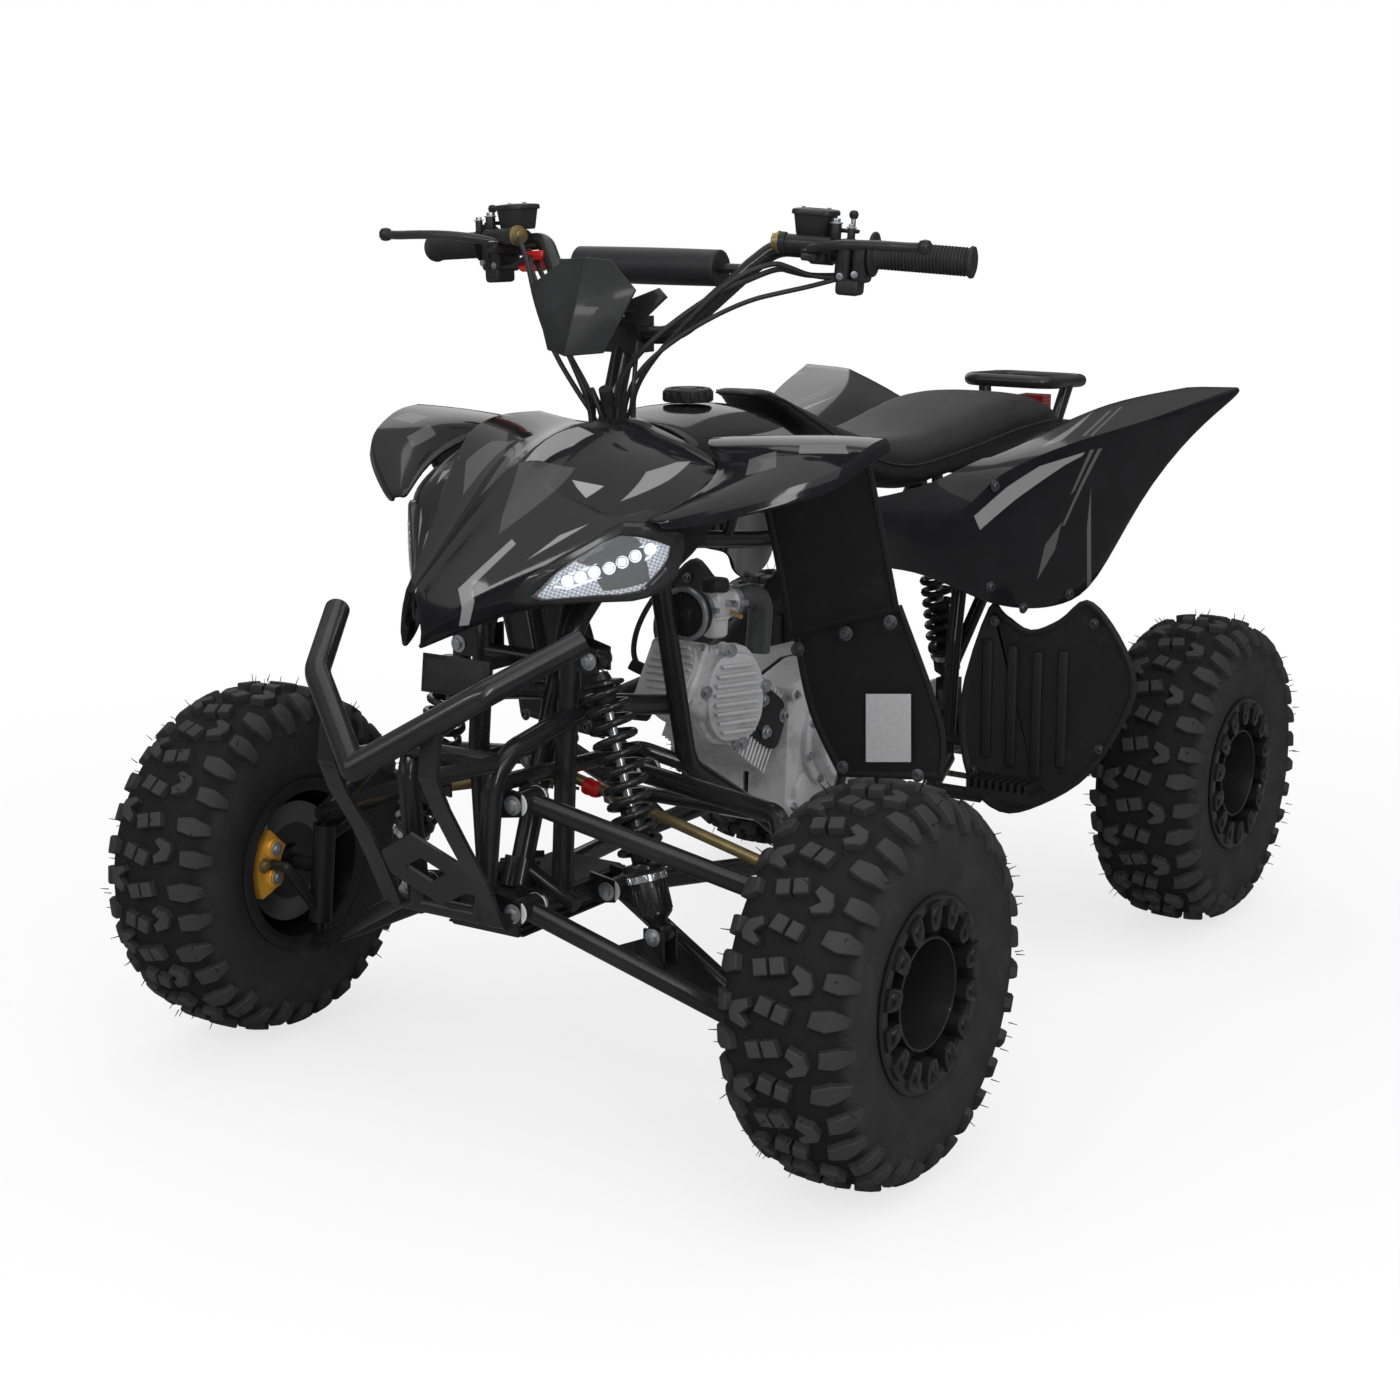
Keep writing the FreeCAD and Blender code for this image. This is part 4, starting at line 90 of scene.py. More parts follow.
class Wire:
    """A shader socket that takes part in Python expressions."""

    def __init__(self, shop: "Shop", socket: bpy.types.NodeSocket) -> None:
        """Keeps the socket and the shop that adds nodes to its tree."""
        self.shop = shop
        self.socket = socket

    def _math(self, operation: str, *values: object) -> "Wire":
        """Adds one Math node over the values."""
        return self.shop.node("ShaderNodeMath", {"operation": operation}, dict(enumerate(values)))

    def __add__(self, other: object) -> "Wire":
        """Sum."""
        return self._math("ADD", self, other)

    __radd__ = __add__

    def __mul__(self, other: object) -> "Wire":
        """Product."""
        return self._math("MULTIPLY", self, other)

    __rmul__ = __mul__

    def __sub__(self, other: object) -> "Wire":
        """Difference."""
        return self._math("SUBTRACT", self, other)

    def __rsub__(self, other: object) -> "Wire":
        """Reflected difference, so that 1 - mask works."""
        return self._math("SUBTRACT", other, self)

    def __pow__(self, other: object) -> "Wire":
        """Power."""
        return self._math("POWER", self, other)

    def __gt__(self, other: object) -> "Wire":
        """One where this is larger."""
        return self._math("GREATER_THAN", self, other)

    def __abs__(self) -> "Wire":
        """Size without sign."""
        return self._math("ABSOLUTE", self)

    def most(self, other: object) -> "Wire":
        """The larger of two values."""
        return self._math("MAXIMUM", self, other)

    def sine(self) -> "Wire":
        """Sine of the value in radians."""
        return self._math("SINE", self)

    def ramp(self, low: float, high: float) -> "Wire":
        """Goes smoothly from 0 at low to 1 at high."""
        sockets = {"Value": self, "From Min": low, "From Max": high}
        return self.shop.node("ShaderNodeMapRange", {"interpolation_type": "SMOOTHSTEP"}, sockets)


class Shop:
    """Adds nodes to one material's tree."""

    def __init__(self, name: str) -> None:
        """Makes the empty material."""
        self.material = bpy.data.materials.new(name)
        self.material.use_nodes = True
        self.tree = self.material.node_tree
        self.tree.nodes.clear()
        self.places: "Wire | None" = None

    def node(self, kind: str, settings: dict, sockets: dict, output: int | str = 0) -> Wire:
        """Adds a node.

        Args:
            kind: the node's type.
            settings: its own options, set first.
            sockets: values or wires by socket name or index.
            output: which output is wanted.

        Returns:
            The wire of that output.
        """
        made = self.tree.nodes.new(kind)
        for key, value in settings.items():
            setattr(made, key, value)
        for key, value in sockets.items():
            target = made.inputs[key]
            if isinstance(value, Wire):
                self.tree.links.new(value.socket, target)
            else:
                target.default_value = value
        return Wire(self, made.outputs[output] if made.outputs else None)

    def place(self) -> Wire:
        """Object coordinates."""
        if self.places is None:
            self.places = self.node("ShaderNodeTexCoord", {}, {}, "Object")
        return self.places

    def centred(self, centre: Sequence[float], stretch: Sequence[float] = (1, 1, 1)) -> Wire:
        """Object coordinates counted from a centre and stretched."""
        shift = tuple(-c * s for c, s in zip(centre, stretch))
        return self.node("ShaderNodeMapping", {}, {"Vector": self.place(), "Location": shift, "Scale": tuple(stretch)})

    def split(self, vector: Wire | None = None) -> tuple[Wire, Wire, Wire]:
        """The x, y and z of a vector, by default of the place."""
        first = self.node("ShaderNodeSeparateXYZ", {}, {"Vector": vector or self.place()})
        outputs = first.socket.node.outputs
        return tuple(Wire(self, outputs[index]) for index in range(3))

    def noise(self, scale: float, detail: float = 3, roughness: float = 0.5, vector: Wire | None = None) -> Wire:
        """Noise between 0 and 1."""
        sockets = {"Vector": vector or self.place(), "Scale": scale, "Detail": detail, "Roughness": roughness}
        return self.node("ShaderNodeTexNoise", {}, sockets)

    def cells(self, scale: float, feature: str = "F1") -> Wire:
        """Distance pattern of scattered cells."""
        sockets = {"Vector": self.place(), "Scale": scale}
        return self.node("ShaderNodeTexVoronoi", {"feature": feature}, sockets, "Distance")

    def blend(self, mask: object, low: object, high: object) -> Wire:
        """A colour that goes from low to high by a mask."""
        made = self.tree.nodes.new("ShaderNodeMix")
        made.data_type = "RGBA"
        for index, value in ((0, mask), (6, low), (7, high)):
            if isinstance(value, Wire):
                self.tree.links.new(value.socket, made.inputs[index])
            elif index == 0:
                made.inputs[index].default_value = value
            else:
                made.inputs[index].default_value = (*value, 1) if len(value) == 3 else value
        return Wire(self, made.outputs[2])

    def bump(self, height: Wire, strength: float, depth: float) -> Wire:
        """A bumped normal; depth is in metres."""
        return self.node("ShaderNodeBump", {}, {"Height": height, "Strength": strength, "Distance": depth})

    def surface(self, **sockets: object) -> Wire:
        """A Principled surface with its sockets, by name with _ for blanks."""
        named = {}
        for key, value in sockets.items():
            name = key.replace("_", " ")
            if isinstance(value, tuple) and len(value) == 3 and "Color" in name:
                value = (*value, 1)
            named[name] = value
        return self.node("ShaderNodeBsdfPrincipled", {}, named)

    def finish(self, shader: Wire) -> bpy.types.Material:
        """Joins the shader to the output."""
        self.node("ShaderNodeOutputMaterial", {}, {"Surface": shader})
        return self.material


# Finishes

MADE: dict[object, bpy.types.Material] = {}


@dataclass(frozen=True)
class Finish:
    """What every finish has: a name, and a material made once."""

    name: str

    def build(self, shop: Shop) -> Wire:
        """The shader of the finish."""
        raise NotImplementedError

    def material(self) -> bpy.types.Material:
        """The material, made on first use."""
        if self not in MADE:
            shop = Shop(self.name)
            MADE[self] = shop.finish(self.build(shop))
        return MADE[self]


@dataclass(frozen=True)
class Coat(Finish):
    """Sprayed or powder-coated metal: fine orange peel, dust and rubbed patches."""

    colour: Point = (0.012, 0.012, 0.013)
    rough: float = 0.22
    metal: float = 0.0
    peel: float = 0.25
    clear: float = 0.5

    def build(self, shop: Shop) -> Wire:
        """Base coat with peel and wear."""
        wear = shop.noise(26, 5, 0.65).ramp(0.52, 0.74)
        fine = shop.noise(420, 2)
        dust = shop.noise(9, 4, 0.6).ramp(0.45, 0.8) * 0.35
        pale = tuple(min(1, c * 2.2 + 0.012) for c in self.colour)
        colour = shop.blend(dust, self.colour, pale)
        rough = wear * 0.14 + fine * 0.05 + self.rough
        normal = shop.bump(fine, self.peel, 0.0006)
        return shop.surface(Base_Color=colour, Roughness=rough, Metallic=self.metal, Specular_IOR_Level=0.3,
                            Coat_Weight=self.clear, Coat_Roughness=0.08, Normal=normal)


@dataclass(frozen=True)
class Plastic(Finish):
    """Moulded plastic with a fine leather-like grain."""

    colour: Point = (0.016, 0.016, 0.017)
    rough: float = 0.5
    grain: float = 0.35
    size: float = 900

    def build(self, shop: Shop) -> Wire:
        """Grain, faint scuffs and dust."""
        cells = shop.cells(self.size)
        scuff = shop.noise(38, 6, 0.7).ramp(0.55, 0.75)
        pale = tuple(min(1, c * 1.7 + 0.008) for c in self.colour)
        colour = shop.blend(scuff * 0.6, self.colour, pale)
        rough = self.rough + scuff * 0.12 - cells * 0.08
        normal = shop.bump(cells, self.grain, 0.0004)
        return shop.surface(Base_Color=colour, Roughness=rough, Specular_IOR_Level=0.45, Normal=normal)


@dataclass(frozen=True)
class GreyPatch:
    """A convex patch seen from the side as (y, z) stations, or from above as (x, y) stations, and its grey. The patches
    are in part painted highlights and painted reflections on glossy facets, in part grey stripes.
    """

    corners: tuple[Flat, ...]
    grey: float
    plan: bool = False
    lowest_x: float = 0.0

    def placed(self) -> list[Flat]:
        """The corners in the row frame, running clockwise."""
        if self.plan:
            corners = [(x, y + MID) for x, y in self.corners]
        else:
            corners = [(y + MID, z) for y, z in self.corners]
        pairs = zip(corners, corners[1:] + corners[:1])
        area = sum(a[0] * b[1] - b[0] * a[1] for a, b in pairs)
        return corners if area < 0 else corners[::-1]

    def mask(self, sideways: Wire, along: Wire, up: Wire) -> Wire:
        """One inside the patch on both sides of the vehicle."""
        first, second = (sideways, along) if self.plan else (along, up)
        total = sideways > self.lowest_x
        corners = self.placed()
        for (u0, v0), (u1, v1) in zip(corners, corners[1:] + corners[:1]):
            span = math.hypot(u1 - u0, v1 - v0)
            a, b = (v1 - v0) / span, -(u1 - u0) / span
            total = total * (first * a + second * b - (a * u0 + b * v0)).ramp(-0.0003, 0.0003)
        return total


@dataclass(frozen=True)
class Fairing(Finish):
    """Glossy moulded panel, lacquered, with grey patches in its colour: in part painted highlights and painted
    reflections, in part grey stripes.
    """

    highlights_and_stripes: tuple[GreyPatch, ...] = ()
    colour: Point = (0.008, 0.008, 0.009)

    def build(self, shop: Shop) -> Wire:
        """Lacquer over black with the grey patches laid in: painted highlights, painted reflections and grey stripes.
        """
        haze = shop.noise(14, 4, 0.6)
        colour = shop.blend(haze.ramp(0.4, 0.8) * 0.5, self.colour, tuple(c * 1.8 for c in self.colour))
        rough = shop.noise(60, 4, 0.65).ramp(0.45, 0.8) * 0.08 + 0.1
        x, y, z = shop.split()
        side = abs(x)
        # Each grey patch lightens the colour: in part painted highlights and painted reflections, in part grey stripes.
        for grey_patch in self.highlights_and_stripes:
            flecks = shop.noise(900, 2).ramp(0.2, 0.8) * 0.25 + 0.85
            tone = shop.blend(1.0, self.colour, (grey_patch.grey,) * 3)
            tone = shop.blend(flecks * 0.5, tone, (grey_patch.grey * 1.18,) * 3)
            mask = grey_patch.mask(side, y, z)
            colour = shop.blend(mask, colour, tone)
            rough = rough + mask * 0.18
        normal = shop.bump(shop.noise(160, 2), 0.06, 0.001)
        return shop.surface(Base_Color=colour, Roughness=rough, Specular_IOR_Level=0.15, Coat_Weight=0.45,
                            Coat_Roughness=0.04, Normal=normal)


@dataclass(frozen=True)
class TyreRubber(Finish):
    """Moulded tyre rubber: matt, a painted sheen lightening the lug tips, painted shade between the lugs, fine rings on
    the wall.
    """

    centre: Point = (0, 0, 0)
    colour: Point = (0.017, 0.017, 0.018)
    rough: float = 0.72
    painted_gap_shade: float = 1.0

    def build(self, shop: Shop) -> Wire:
        """Rings round the axle, mould marks, a painted sheen on the lug tips and painted shade darkening the ground
        between lugs.
        """
        local = shop.centred(self.centre)
        x, y, z = shop.split(local)
        radius = (y * y + z * z) ** 0.5
        wall = radius.ramp(0.120, 0.126) * (1 - radius.ramp(0.176, 0.186))
        rings = (radius * 2600).sine() * wall
        # Lighter lug tips: a painted sheen.
        tip = radius.ramp(0.2255, 0.2305)
        dust = shop.noise(22, 5, 0.65).ramp(0.35, 0.8)
        grey = shop.blend(dust * 0.6, self.colour, (0.034, 0.033, 0.032))
        colour = shop.blend(tip * 0.35, grey, (0.042, 0.042, 0.043))
        # Darker ground between the lugs: painted shade, scaled by the gap factor.
        colour = shop.blend(radius.ramp(0.186, 0.204) * self.painted_gap_shade, colour, (0.0065, 0.0065, 0.007))
        seam = (1 - abs(x).ramp(0.0004, 0.0011)) * radius.ramp(0.215, 0.22)
        rough = shop.noise(70, 4, 0.6) * 0.2 + self.rough - wall * 0.1
        height = shop.noise(260, 4, 0.6) * 0.5 + rings * 0.12 + seam * 1.5
        normal = shop.bump(height, 0.5, 0.0008)
        return shop.surface(Base_Color=colour, Roughness=rough, Specular_IOR_Level=0.35, Normal=normal)


@dataclass(frozen=True)
class Rubber(Finish):
    """Soft black rubber of grips, boots and cables."""

    colour: Point = (0.014, 0.014, 0.014)
    rough: float = 0.62

    def build(self, shop: Shop) -> Wire:
        """Fine skin and dull bloom."""
        bloom = shop.noise(48, 5, 0.6).ramp(0.4, 0.8)
        colour = shop.blend(bloom * 0.6, self.colour, (0.032, 0.032, 0.031))
        normal = shop.bump(shop.noise(700, 3), 0.35, 0.0003)
        return shop.surface(Base_Color=colour, Roughness=bloom * 0.15 + self.rough, Normal=normal)


@dataclass(frozen=True)
class Cast(Finish):
    """Sand-cast alloy with silver paint."""

    colour: Point = (0.40, 0.41, 0.42)
    rough: float = 0.42
    metal: float = 0.75
    grain: float = 0.6

    def build(self, shop: Shop) -> Wire:
        """Casting skin, oil stains in patches."""
        skin = shop.noise(520, 4, 0.65)
        stain = shop.noise(16, 5, 0.7).ramp(0.48, 0.72)
        dark = tuple(c * 0.42 for c in self.colour)
        colour = shop.blend(stain * 0.55, self.colour, dark)
        rough = self.rough + skin * 0.2 + stain * 0.1
        normal = shop.bump(skin, self.grain, 0.0005)
        return shop.surface(Base_Color=colour, Roughness=rough, Metallic=self.metal, Normal=normal)


@dataclass(frozen=True)
class Bare(Finish):
    """Bare or plated metal with fine turning marks."""

    colour: Point = (0.55, 0.56, 0.58)
    rough: float = 0.24
    warm: Point = (0.38, 0.38, 0.40)
    marks: float = 0.25
    metal: float = 0.85

    def build(self, shop: Shop) -> Wire:
        """Streaks of colour and roughness."""
        streak = shop.noise(5, 3, 0.5, shop.centred((0, 0, 0), (60, 6, 60)))
        patch = shop.noise(30, 4, 0.6).ramp(0.4, 0.75)
        colour = shop.blend(patch, self.colour, self.warm)
        rough = streak * 0.18 + self.rough
        normal = shop.bump(streak, self.marks, 0.0003)
        return shop.surface(Base_Color=colour, Roughness=rough, Metallic=self.metal, Normal=normal)


@dataclass(frozen=True)
class DiscSteel(Finish):
    """Ground steel of a brake disc: rings round the axle."""

    centre: Point = (0, 0, 0)

    def build(self, shop: Shop) -> Wire:
        """Ground rings and a dull band outside the pad's track."""
        _, y, z = shop.split(shop.centred(self.centre))
        radius = (y * y + z * z) ** 0.5
        rings = shop.noise(900, 2, 0.6, shop.node("ShaderNodeCombineXYZ", {}, {"X": radius}))
        track = radius.ramp(0.050, 0.053)
        colour = shop.blend(track, (0.10, 0.10, 0.105), (0.28, 0.28, 0.29))
        rough = rings * 0.3 + 0.22
        normal = shop.bump(rings, 0.4, 0.0003)
        return shop.surface(Base_Color=colour, Roughness=rough, Metallic=1.0, Normal=normal)


@dataclass(frozen=True)
class Vinyl(Finish):
    """Seat cover: matt black vinyl with a leather grain."""

    colour: Point = (0.013, 0.013, 0.014)
    rough: float = 0.48

    def build(self, shop: Shop) -> Wire:
        """Grain cells, creases and worn sheen."""
        grain = shop.cells(620, "DISTANCE_TO_EDGE").ramp(0.0, 0.25)
        crease = shop.noise(34, 5, 0.7)
        sheen = shop.noise(6, 3).ramp(0.4, 0.7)
        colour = shop.blend(crease.ramp(0.45, 0.8) * 0.5, self.colour, (0.026, 0.026, 0.027))
        rough = self.rough - sheen * 0.1 + crease * 0.1
        normal = shop.bump(grain + crease * 0.6, 0.3, 0.0004)
        return shop.surface(Base_Color=colour, Roughness=rough, Normal=normal)


@dataclass(frozen=True)
class Reflector(Finish):
    """Silvered lamp body behind clear ribs, as prisms in a slanting grid, with painted light and shade on the prisms
    and a painted glow.
    """

    colour: Point = (0.72, 0.74, 0.78)

    def build(self, shop: Shop) -> Wire:
        """Prism grid in relief, with painted light and shade of the prisms in the colour and a painted glow from the
        emission.
        """
        x, y, z = shop.split()
        run = y * 0.75 + abs(x) * 0.66
        across = ((run + z * 0.55) * 900).sine()
        down = ((z - run * 0.35) * 1000).sine()
        grid = across * down
        # Painted light and shade: the prism grid lightens and darkens the silver.
        shade = grid.ramp(-0.7, 0.9)
        colour = shop.blend(shade, (0.30, 0.32, 0.36), self.colour)
        # Painted glow: the reflector is no light source; its emission stands in for its bright reflection.
        glow = shop.blend(shade, (0.16, 0.18, 0.21), (0.62, 0.68, 0.78))
        normal = shop.bump(grid, 0.8, 0.0012)
        return shop.surface(Base_Color=colour, Roughness=shade * 0.1 + 0.12, Metallic=0.55, Emission_Color=glow,
                            Emission_Strength=0.5, Coat_Weight=1.0, Coat_Roughness=0.02, Normal=normal)


@dataclass(frozen=True)
class Lit(Finish):
    """A lamp's light source under its clear dome; on the channel round the lights it is a painted glow."""

    colour: Point = (0.93, 0.97, 1.0)
    power: float = 1.2

    def build(self, shop: Shop) -> Wire:
        """Bright surface, a touch uneven."""
        ripple = shop.noise(300, 2)
        glow = shop.blend(ripple * 0.3, self.colour, tuple(c * 0.85 for c in self.colour))
        return shop.surface(Base_Color=glow, Roughness=ripple * 0.1 + 0.1, Emission_Color=glow,
                            Emission_Strength=self.power)


@dataclass(frozen=True)
class Tinted(Finish):
    """Coloured clear plastic of a lamp lens."""

    colour: Point = (0.35, 0.006, 0.006)

    def build(self, shop: Shop) -> Wire:
        """Ribbed colour under gloss."""
        x, _, z = shop.split()
        ribs = (x * 1200).sine() * (z * 1200).sine()
        colour = shop.blend(ribs.ramp(-0.8, 0.8), tuple(c * 0.4 for c in self.colour), self.colour)
        normal = shop.bump(ribs, 0.5, 0.0008)
        return shop.surface(Base_Color=colour, Roughness=ribs.ramp(-1, 1) * 0.05 + 0.08, Coat_Weight=1.0, Normal=normal)


@dataclass(frozen=True)
class Clear(Finish):
    """Clear polycarbonate of a lamp cover."""

    def build(self, shop: Shop) -> Wire:
        """Nearly invisible face on, brighter at a glance."""
        glance = shop.node("ShaderNodeLayerWeight", {}, {"Blend": 0.35}, "Fresnel")
        alpha = glance * 0.5 + 0.06
        ripple = shop.noise(60, 2)
        normal = shop.bump(ripple, 0.05, 0.0006)
        return shop.surface(Base_Color=(0.85, 0.88, 0.92), Roughness=ripple * 0.03 + 0.02, Alpha=alpha, Coat_Weight=1.0,
                            Normal=normal)


@dataclass(frozen=True)
class Label(Finish):
    """Blank sticker, printed plain."""

    colour: Point = (0.33, 0.33, 0.34)

    def build(self, shop: Shop) -> Wire:
        """Paper-like mottling, darker in patches."""
        mottle = shop.noise(240, 3)
        colour = shop.blend(mottle.ramp(0.35, 0.7) * 0.4, self.colour, tuple(c * 0.72 for c in self.colour))
        return shop.surface(Base_Color=colour, Roughness=mottle * 0.2 + 0.35, Normal=shop.bump(mottle, 0.15, 0.0003))


FRAME_BLACK = Coat("frame_black")
BRACKET_BLACK = Coat("bracket_black", rough=0.34, clear=0.2)
RIM_BLACK = Coat("rim_black", colour=(0.010, 0.010, 0.011), rough=0.30, peel=0.15, clear=0.35)
SPRING_BLACK = Coat("spring_black", rough=0.2)
EXHAUST_BLACK = Coat("exhaust_black", colour=(0.02, 0.02, 0.02), rough=0.55, peel=0.6, clear=0.0)
CONTROL_BLACK = Coat("control_black", colour=(0.016, 0.016, 0.017), rough=0.36, clear=0.15)
PLASTIC = Plastic("matte_plastic")
SIDE_PLASTIC = Plastic("side_plastic", colour=(0.0125, 0.0125, 0.0135), rough=0.58, grain=0.45, size=1100)
SHIELD_GREY = Coat("shield_grey", colour=(0.020, 0.0205, 0.0215), rough=0.36, metal=0.2, peel=0.1, clear=0.2)
BEZEL_GREY = Coat("bezel_black", colour=(0.016, 0.016, 0.017), rough=0.24, metal=0.1, peel=0.1, clear=0.6)
GRIP = Rubber("grip_rubber")
CABLE = Rubber("cable_rubber", rough=0.45)
ALLOY = Cast("engine_alloy", colour=(0.66, 0.66, 0.67), metal=0.55)
COVER_BLACK = Cast("cover_black", colour=(0.03, 0.03, 0.032), rough=0.4, metal=0.4)
STEEL = Bare("zinc_steel")
CHROME = Bare("chrome", colour=(0.75, 0.76, 0.78), rough=0.08, warm=(0.62, 0.63, 0.65), marks=0.05)
YELLOW_ZINC = Bare("zinc_yellow", colour=(0.40, 0.31, 0.14), rough=0.34, warm=(0.25, 0.20, 0.12))
GOLD = Bare("gold_alloy", colour=(0.80, 0.42, 0.06), rough=0.3, warm=(0.62, 0.30, 0.035), metal=0.55)
CHAIN_STEEL = Bare("chain_steel", colour=(0.22, 0.21, 0.20), rough=0.4, warm=(0.13, 0.12, 0.11))
SEAT_VINYL = Vinyl("seat_vinyl")
PAD_VINYL = Vinyl("pad_vinyl", colour=(0.016, 0.016, 0.018), rough=0.36)
RED_PLASTIC = Plastic("red_plastic", colour=(0.45, 0.008, 0.008), rough=0.35, grain=0.1)
WHITE_NYLON = Plastic("white_nylon", colour=(0.55, 0.55, 0.53), rough=0.45, grain=0.1)
TAIL_LENS = Tinted("tail_lens")
# The reflector's emission is a painted glow.
REFLECTOR = Reflector("lamp_reflector")
LED = Lit("lamp_led")
LABEL = Label("blank_label", colour=(0.50, 0.50, 0.51))
PIPING = Rubber("seat_piping", colour=(0.02, 0.02, 0.021), rough=0.5)
# The channel round the lights is no light source: its emission is a painted glow.
CHANNEL_PAINTED_GLOW = Lit("lamp_channel", colour=(0.66, 0.74, 0.88), power=0.95)
CLEAR = Clear("lamp_cover")
LEVER_BLACK = Coat("lever_black", colour=(0.02, 0.02, 0.021), rough=0.26, clear=0.4)
DARK_STEEL = Bare("dark_steel", colour=(0.16, 0.16, 0.17), rough=0.3, warm=(0.10, 0.10, 0.10))
BRASS = Bare("brass", colour=(0.65, 0.45, 0.16), rough=0.3, warm=(0.45, 0.30, 0.12))
DUCT = Plastic("intake_duct", colour=(0.055, 0.056, 0.058), rough=0.34, grain=0.1)
SLEEVE = Rubber("loom_sleeve", colour=(0.010, 0.010, 0.010), rough=0.7)


# Mesh work


class Form:
    """One mesh in the making, built from bmesh shapes."""

    def __init__(self) -> None:
        """Starts empty."""
        self.bm = bmesh.new()

    def add(self, part: "Form", matrix: Matrix | None = None, slot: int | None = None) -> "Form":
        """Joins a copy of another form.

        Args:
            part: the form to copy.
            matrix: where the copy goes.
            slot: material slot for all its faces.

        Returns:
            This form.
        """
        mesh = bpy.data.meshes.new("joined")
        part.bm.to_mesh(mesh)
        if matrix is not None:
            mesh.transform(matrix)
            if matrix.determinant() < 0:
                mesh.flip_normals()
        if slot is not None:
            mesh.polygons.foreach_set("material_index", [slot] * len(mesh.polygons))
        self.bm.from_mesh(mesh)
        bpy.data.meshes.remove(mesh)
        return self

    def ring(self, part: "Form", count: int, base: Matrix | None = None, place: Matrix | None = None,
             slot: int | None = None, start: float = 0.0) -> "Form":
        """Adds a part at even places round a z axis.

        Args:
            part: the part to repeat.
            count: how many there are.
            base: where the axis stands.
            place: the part's own place before the turn.
            slot: its material slot.
            start: how far round the first one is, in steps.

        Returns:
            This form.
        """
        for index in range(count):
            turn = spoke(index + start, count)
            self.add(part, (base or Matrix()) @ turn @ (place or Matrix()), slot)
        return self

    def bevel(self, width: float, segments: int = 2, sharp: float = 0.5) -> "Form":
        """Rounds every edge that turns more than an angle in radians."""
        edges = [e for e in self.bm.edges if len(e.link_faces) == 2 and e.calc_face_angle(0) > sharp]
        if edges:
            bmesh.ops.bevel(self.bm, geom=edges, offset=width, segments=segments, profile=0.5, affect="EDGES",
                            material=-1, clamp_overlap=True)
        return self

    def turned(self) -> "Form":
        """Faces outwards, after doubles are merged."""
        bmesh.ops.remove_doubles(self.bm, verts=self.bm.verts, dist=MERGE)
        bmesh.ops.recalc_face_normals(self.bm, faces=self.bm.faces)
        return self

    def forwards(self) -> "Form":
        """Turns an open sheet so that its faces look ahead."""
        if sum(f.normal.y for f in self.bm.faces) > 0:
            bmesh.ops.reverse_faces(self.bm, faces=self.bm.faces)
        return self

    def shift(self, matrix: Matrix) -> "Form":
        """Moves the whole form."""
        bmesh.ops.transform(self.bm, matrix=matrix, verts=self.bm.verts)
        if matrix.determinant() < 0:
            bmesh.ops.reverse_faces(self.bm, faces=self.bm.faces)
        return self

    def object(self, name: str, finishes: Sequence[Finish], smooth: float = 0.6) -> bpy.types.Object:
        """Makes the Blender object.

        Args:
            name: its name.
            finishes: one per material slot.
            smooth: edges that turn more than this angle stay sharp.

        Returns:
            The object, at the origin.
        """
        mesh = bpy.data.meshes.new(name)
        self.bm.to_mesh(mesh)
        self.bm.free()
        for finish in finishes:
            mesh.materials.append(finish.material())
        made = bpy.data.objects.new(name, mesh)
        bpy.context.scene.collection.objects.link(made)
        shade(made, smooth)
        return made


def shade(piece: bpy.types.Object, angle: float) -> None:
    """Smooth shading that stays sharp on edges past an angle."""
    mesh = piece.data
    mesh.shade_smooth()
    mesh.set_sharp_from_angle(angle=angle)


def walled(piece: bpy.types.Object, thickness: float, width: float = 0.0, sharp: float = 1.0) -> None:
    """Gives a sheet its wall behind its face, and rounds edges that turn more than an angle if a width is given."""
    wall = piece.modifiers.new("wall", "SOLIDIFY")
    wall.thickness = thickness
    wall.offset = -1
    if width:
        rounded = piece.modifiers.new("rounded", "BEVEL")
        rounded.width = width
        rounded.segments = 2
        rounded.limit_method = "ANGLE"
        rounded.angle_limit = sharp


def move(x: float, y: float, z: float) -> Matrix:
    """A shift along the three axes."""
    return Matrix.Translation((x, y, z))


def quarter(axis: str, way: int = 1) -> Matrix:
    """A quarter turn about an axis."""
    return Matrix.Rotation(way * math.pi / 2, 4, axis)


def spoke(index: float, count: int) -> Matrix:
    """The turn about z that leads to one of several even places."""
    return Matrix.Rotation(math.tau * index / count, 4, "Z")


def upright(y: float) -> Matrix:
    """Stands a plate drawn in x and z up at a place along the vehicle, its thickness towards the front."""
    return Matrix(((1, 0, 0, 0), (0, 0, -1, y), (0, 1, 0, 0), (0, 0, 0, 1)))


def abreast(x: float) -> Matrix:
    """Stands a plate drawn in y and z up at a place across the vehicle, its thickness towards the left."""
    return Matrix(((0, 0, 1, x), (1, 0, 0, 0), (0, 1, 0, 0), (0, 0, 0, 1)))


def towards(direction: Vector, origin: Vector) -> Matrix:
    """A matrix that lays the z axis along a direction at an origin."""
    turn = Axis.UP.value.rotation_difference(direction.normalized()).to_matrix().to_4x4()
    return Matrix.Translation(origin) @ turn


def block(size: Sequence[float], width: float = 0.0, segments: int = 2) -> Form:
    """A box about the origin, its edges rounded."""
    form = Form()
    bmesh.ops.create_cube(form.bm, size=1)
    bmesh.ops.scale(form.bm, vec=Vector(size), verts=form.bm.verts)
    if width:
        form.bevel(width, segments)
    return form


def drum(radius: float, length: float, segments: int = 24, width: float = 0.0) -> Form:
    """A round bar from the origin along z, its ends rounded."""
    form = Form()
    bmesh.ops.create_cone(form.bm, cap_ends=True, segments=segments, radius1=radius, radius2=radius, depth=length)
    bmesh.ops.translate(form.bm, vec=Vector((0, 0, length / 2)), verts=form.bm.verts)
    if width:
        form.bevel(width, 2, 0.9)
    return form


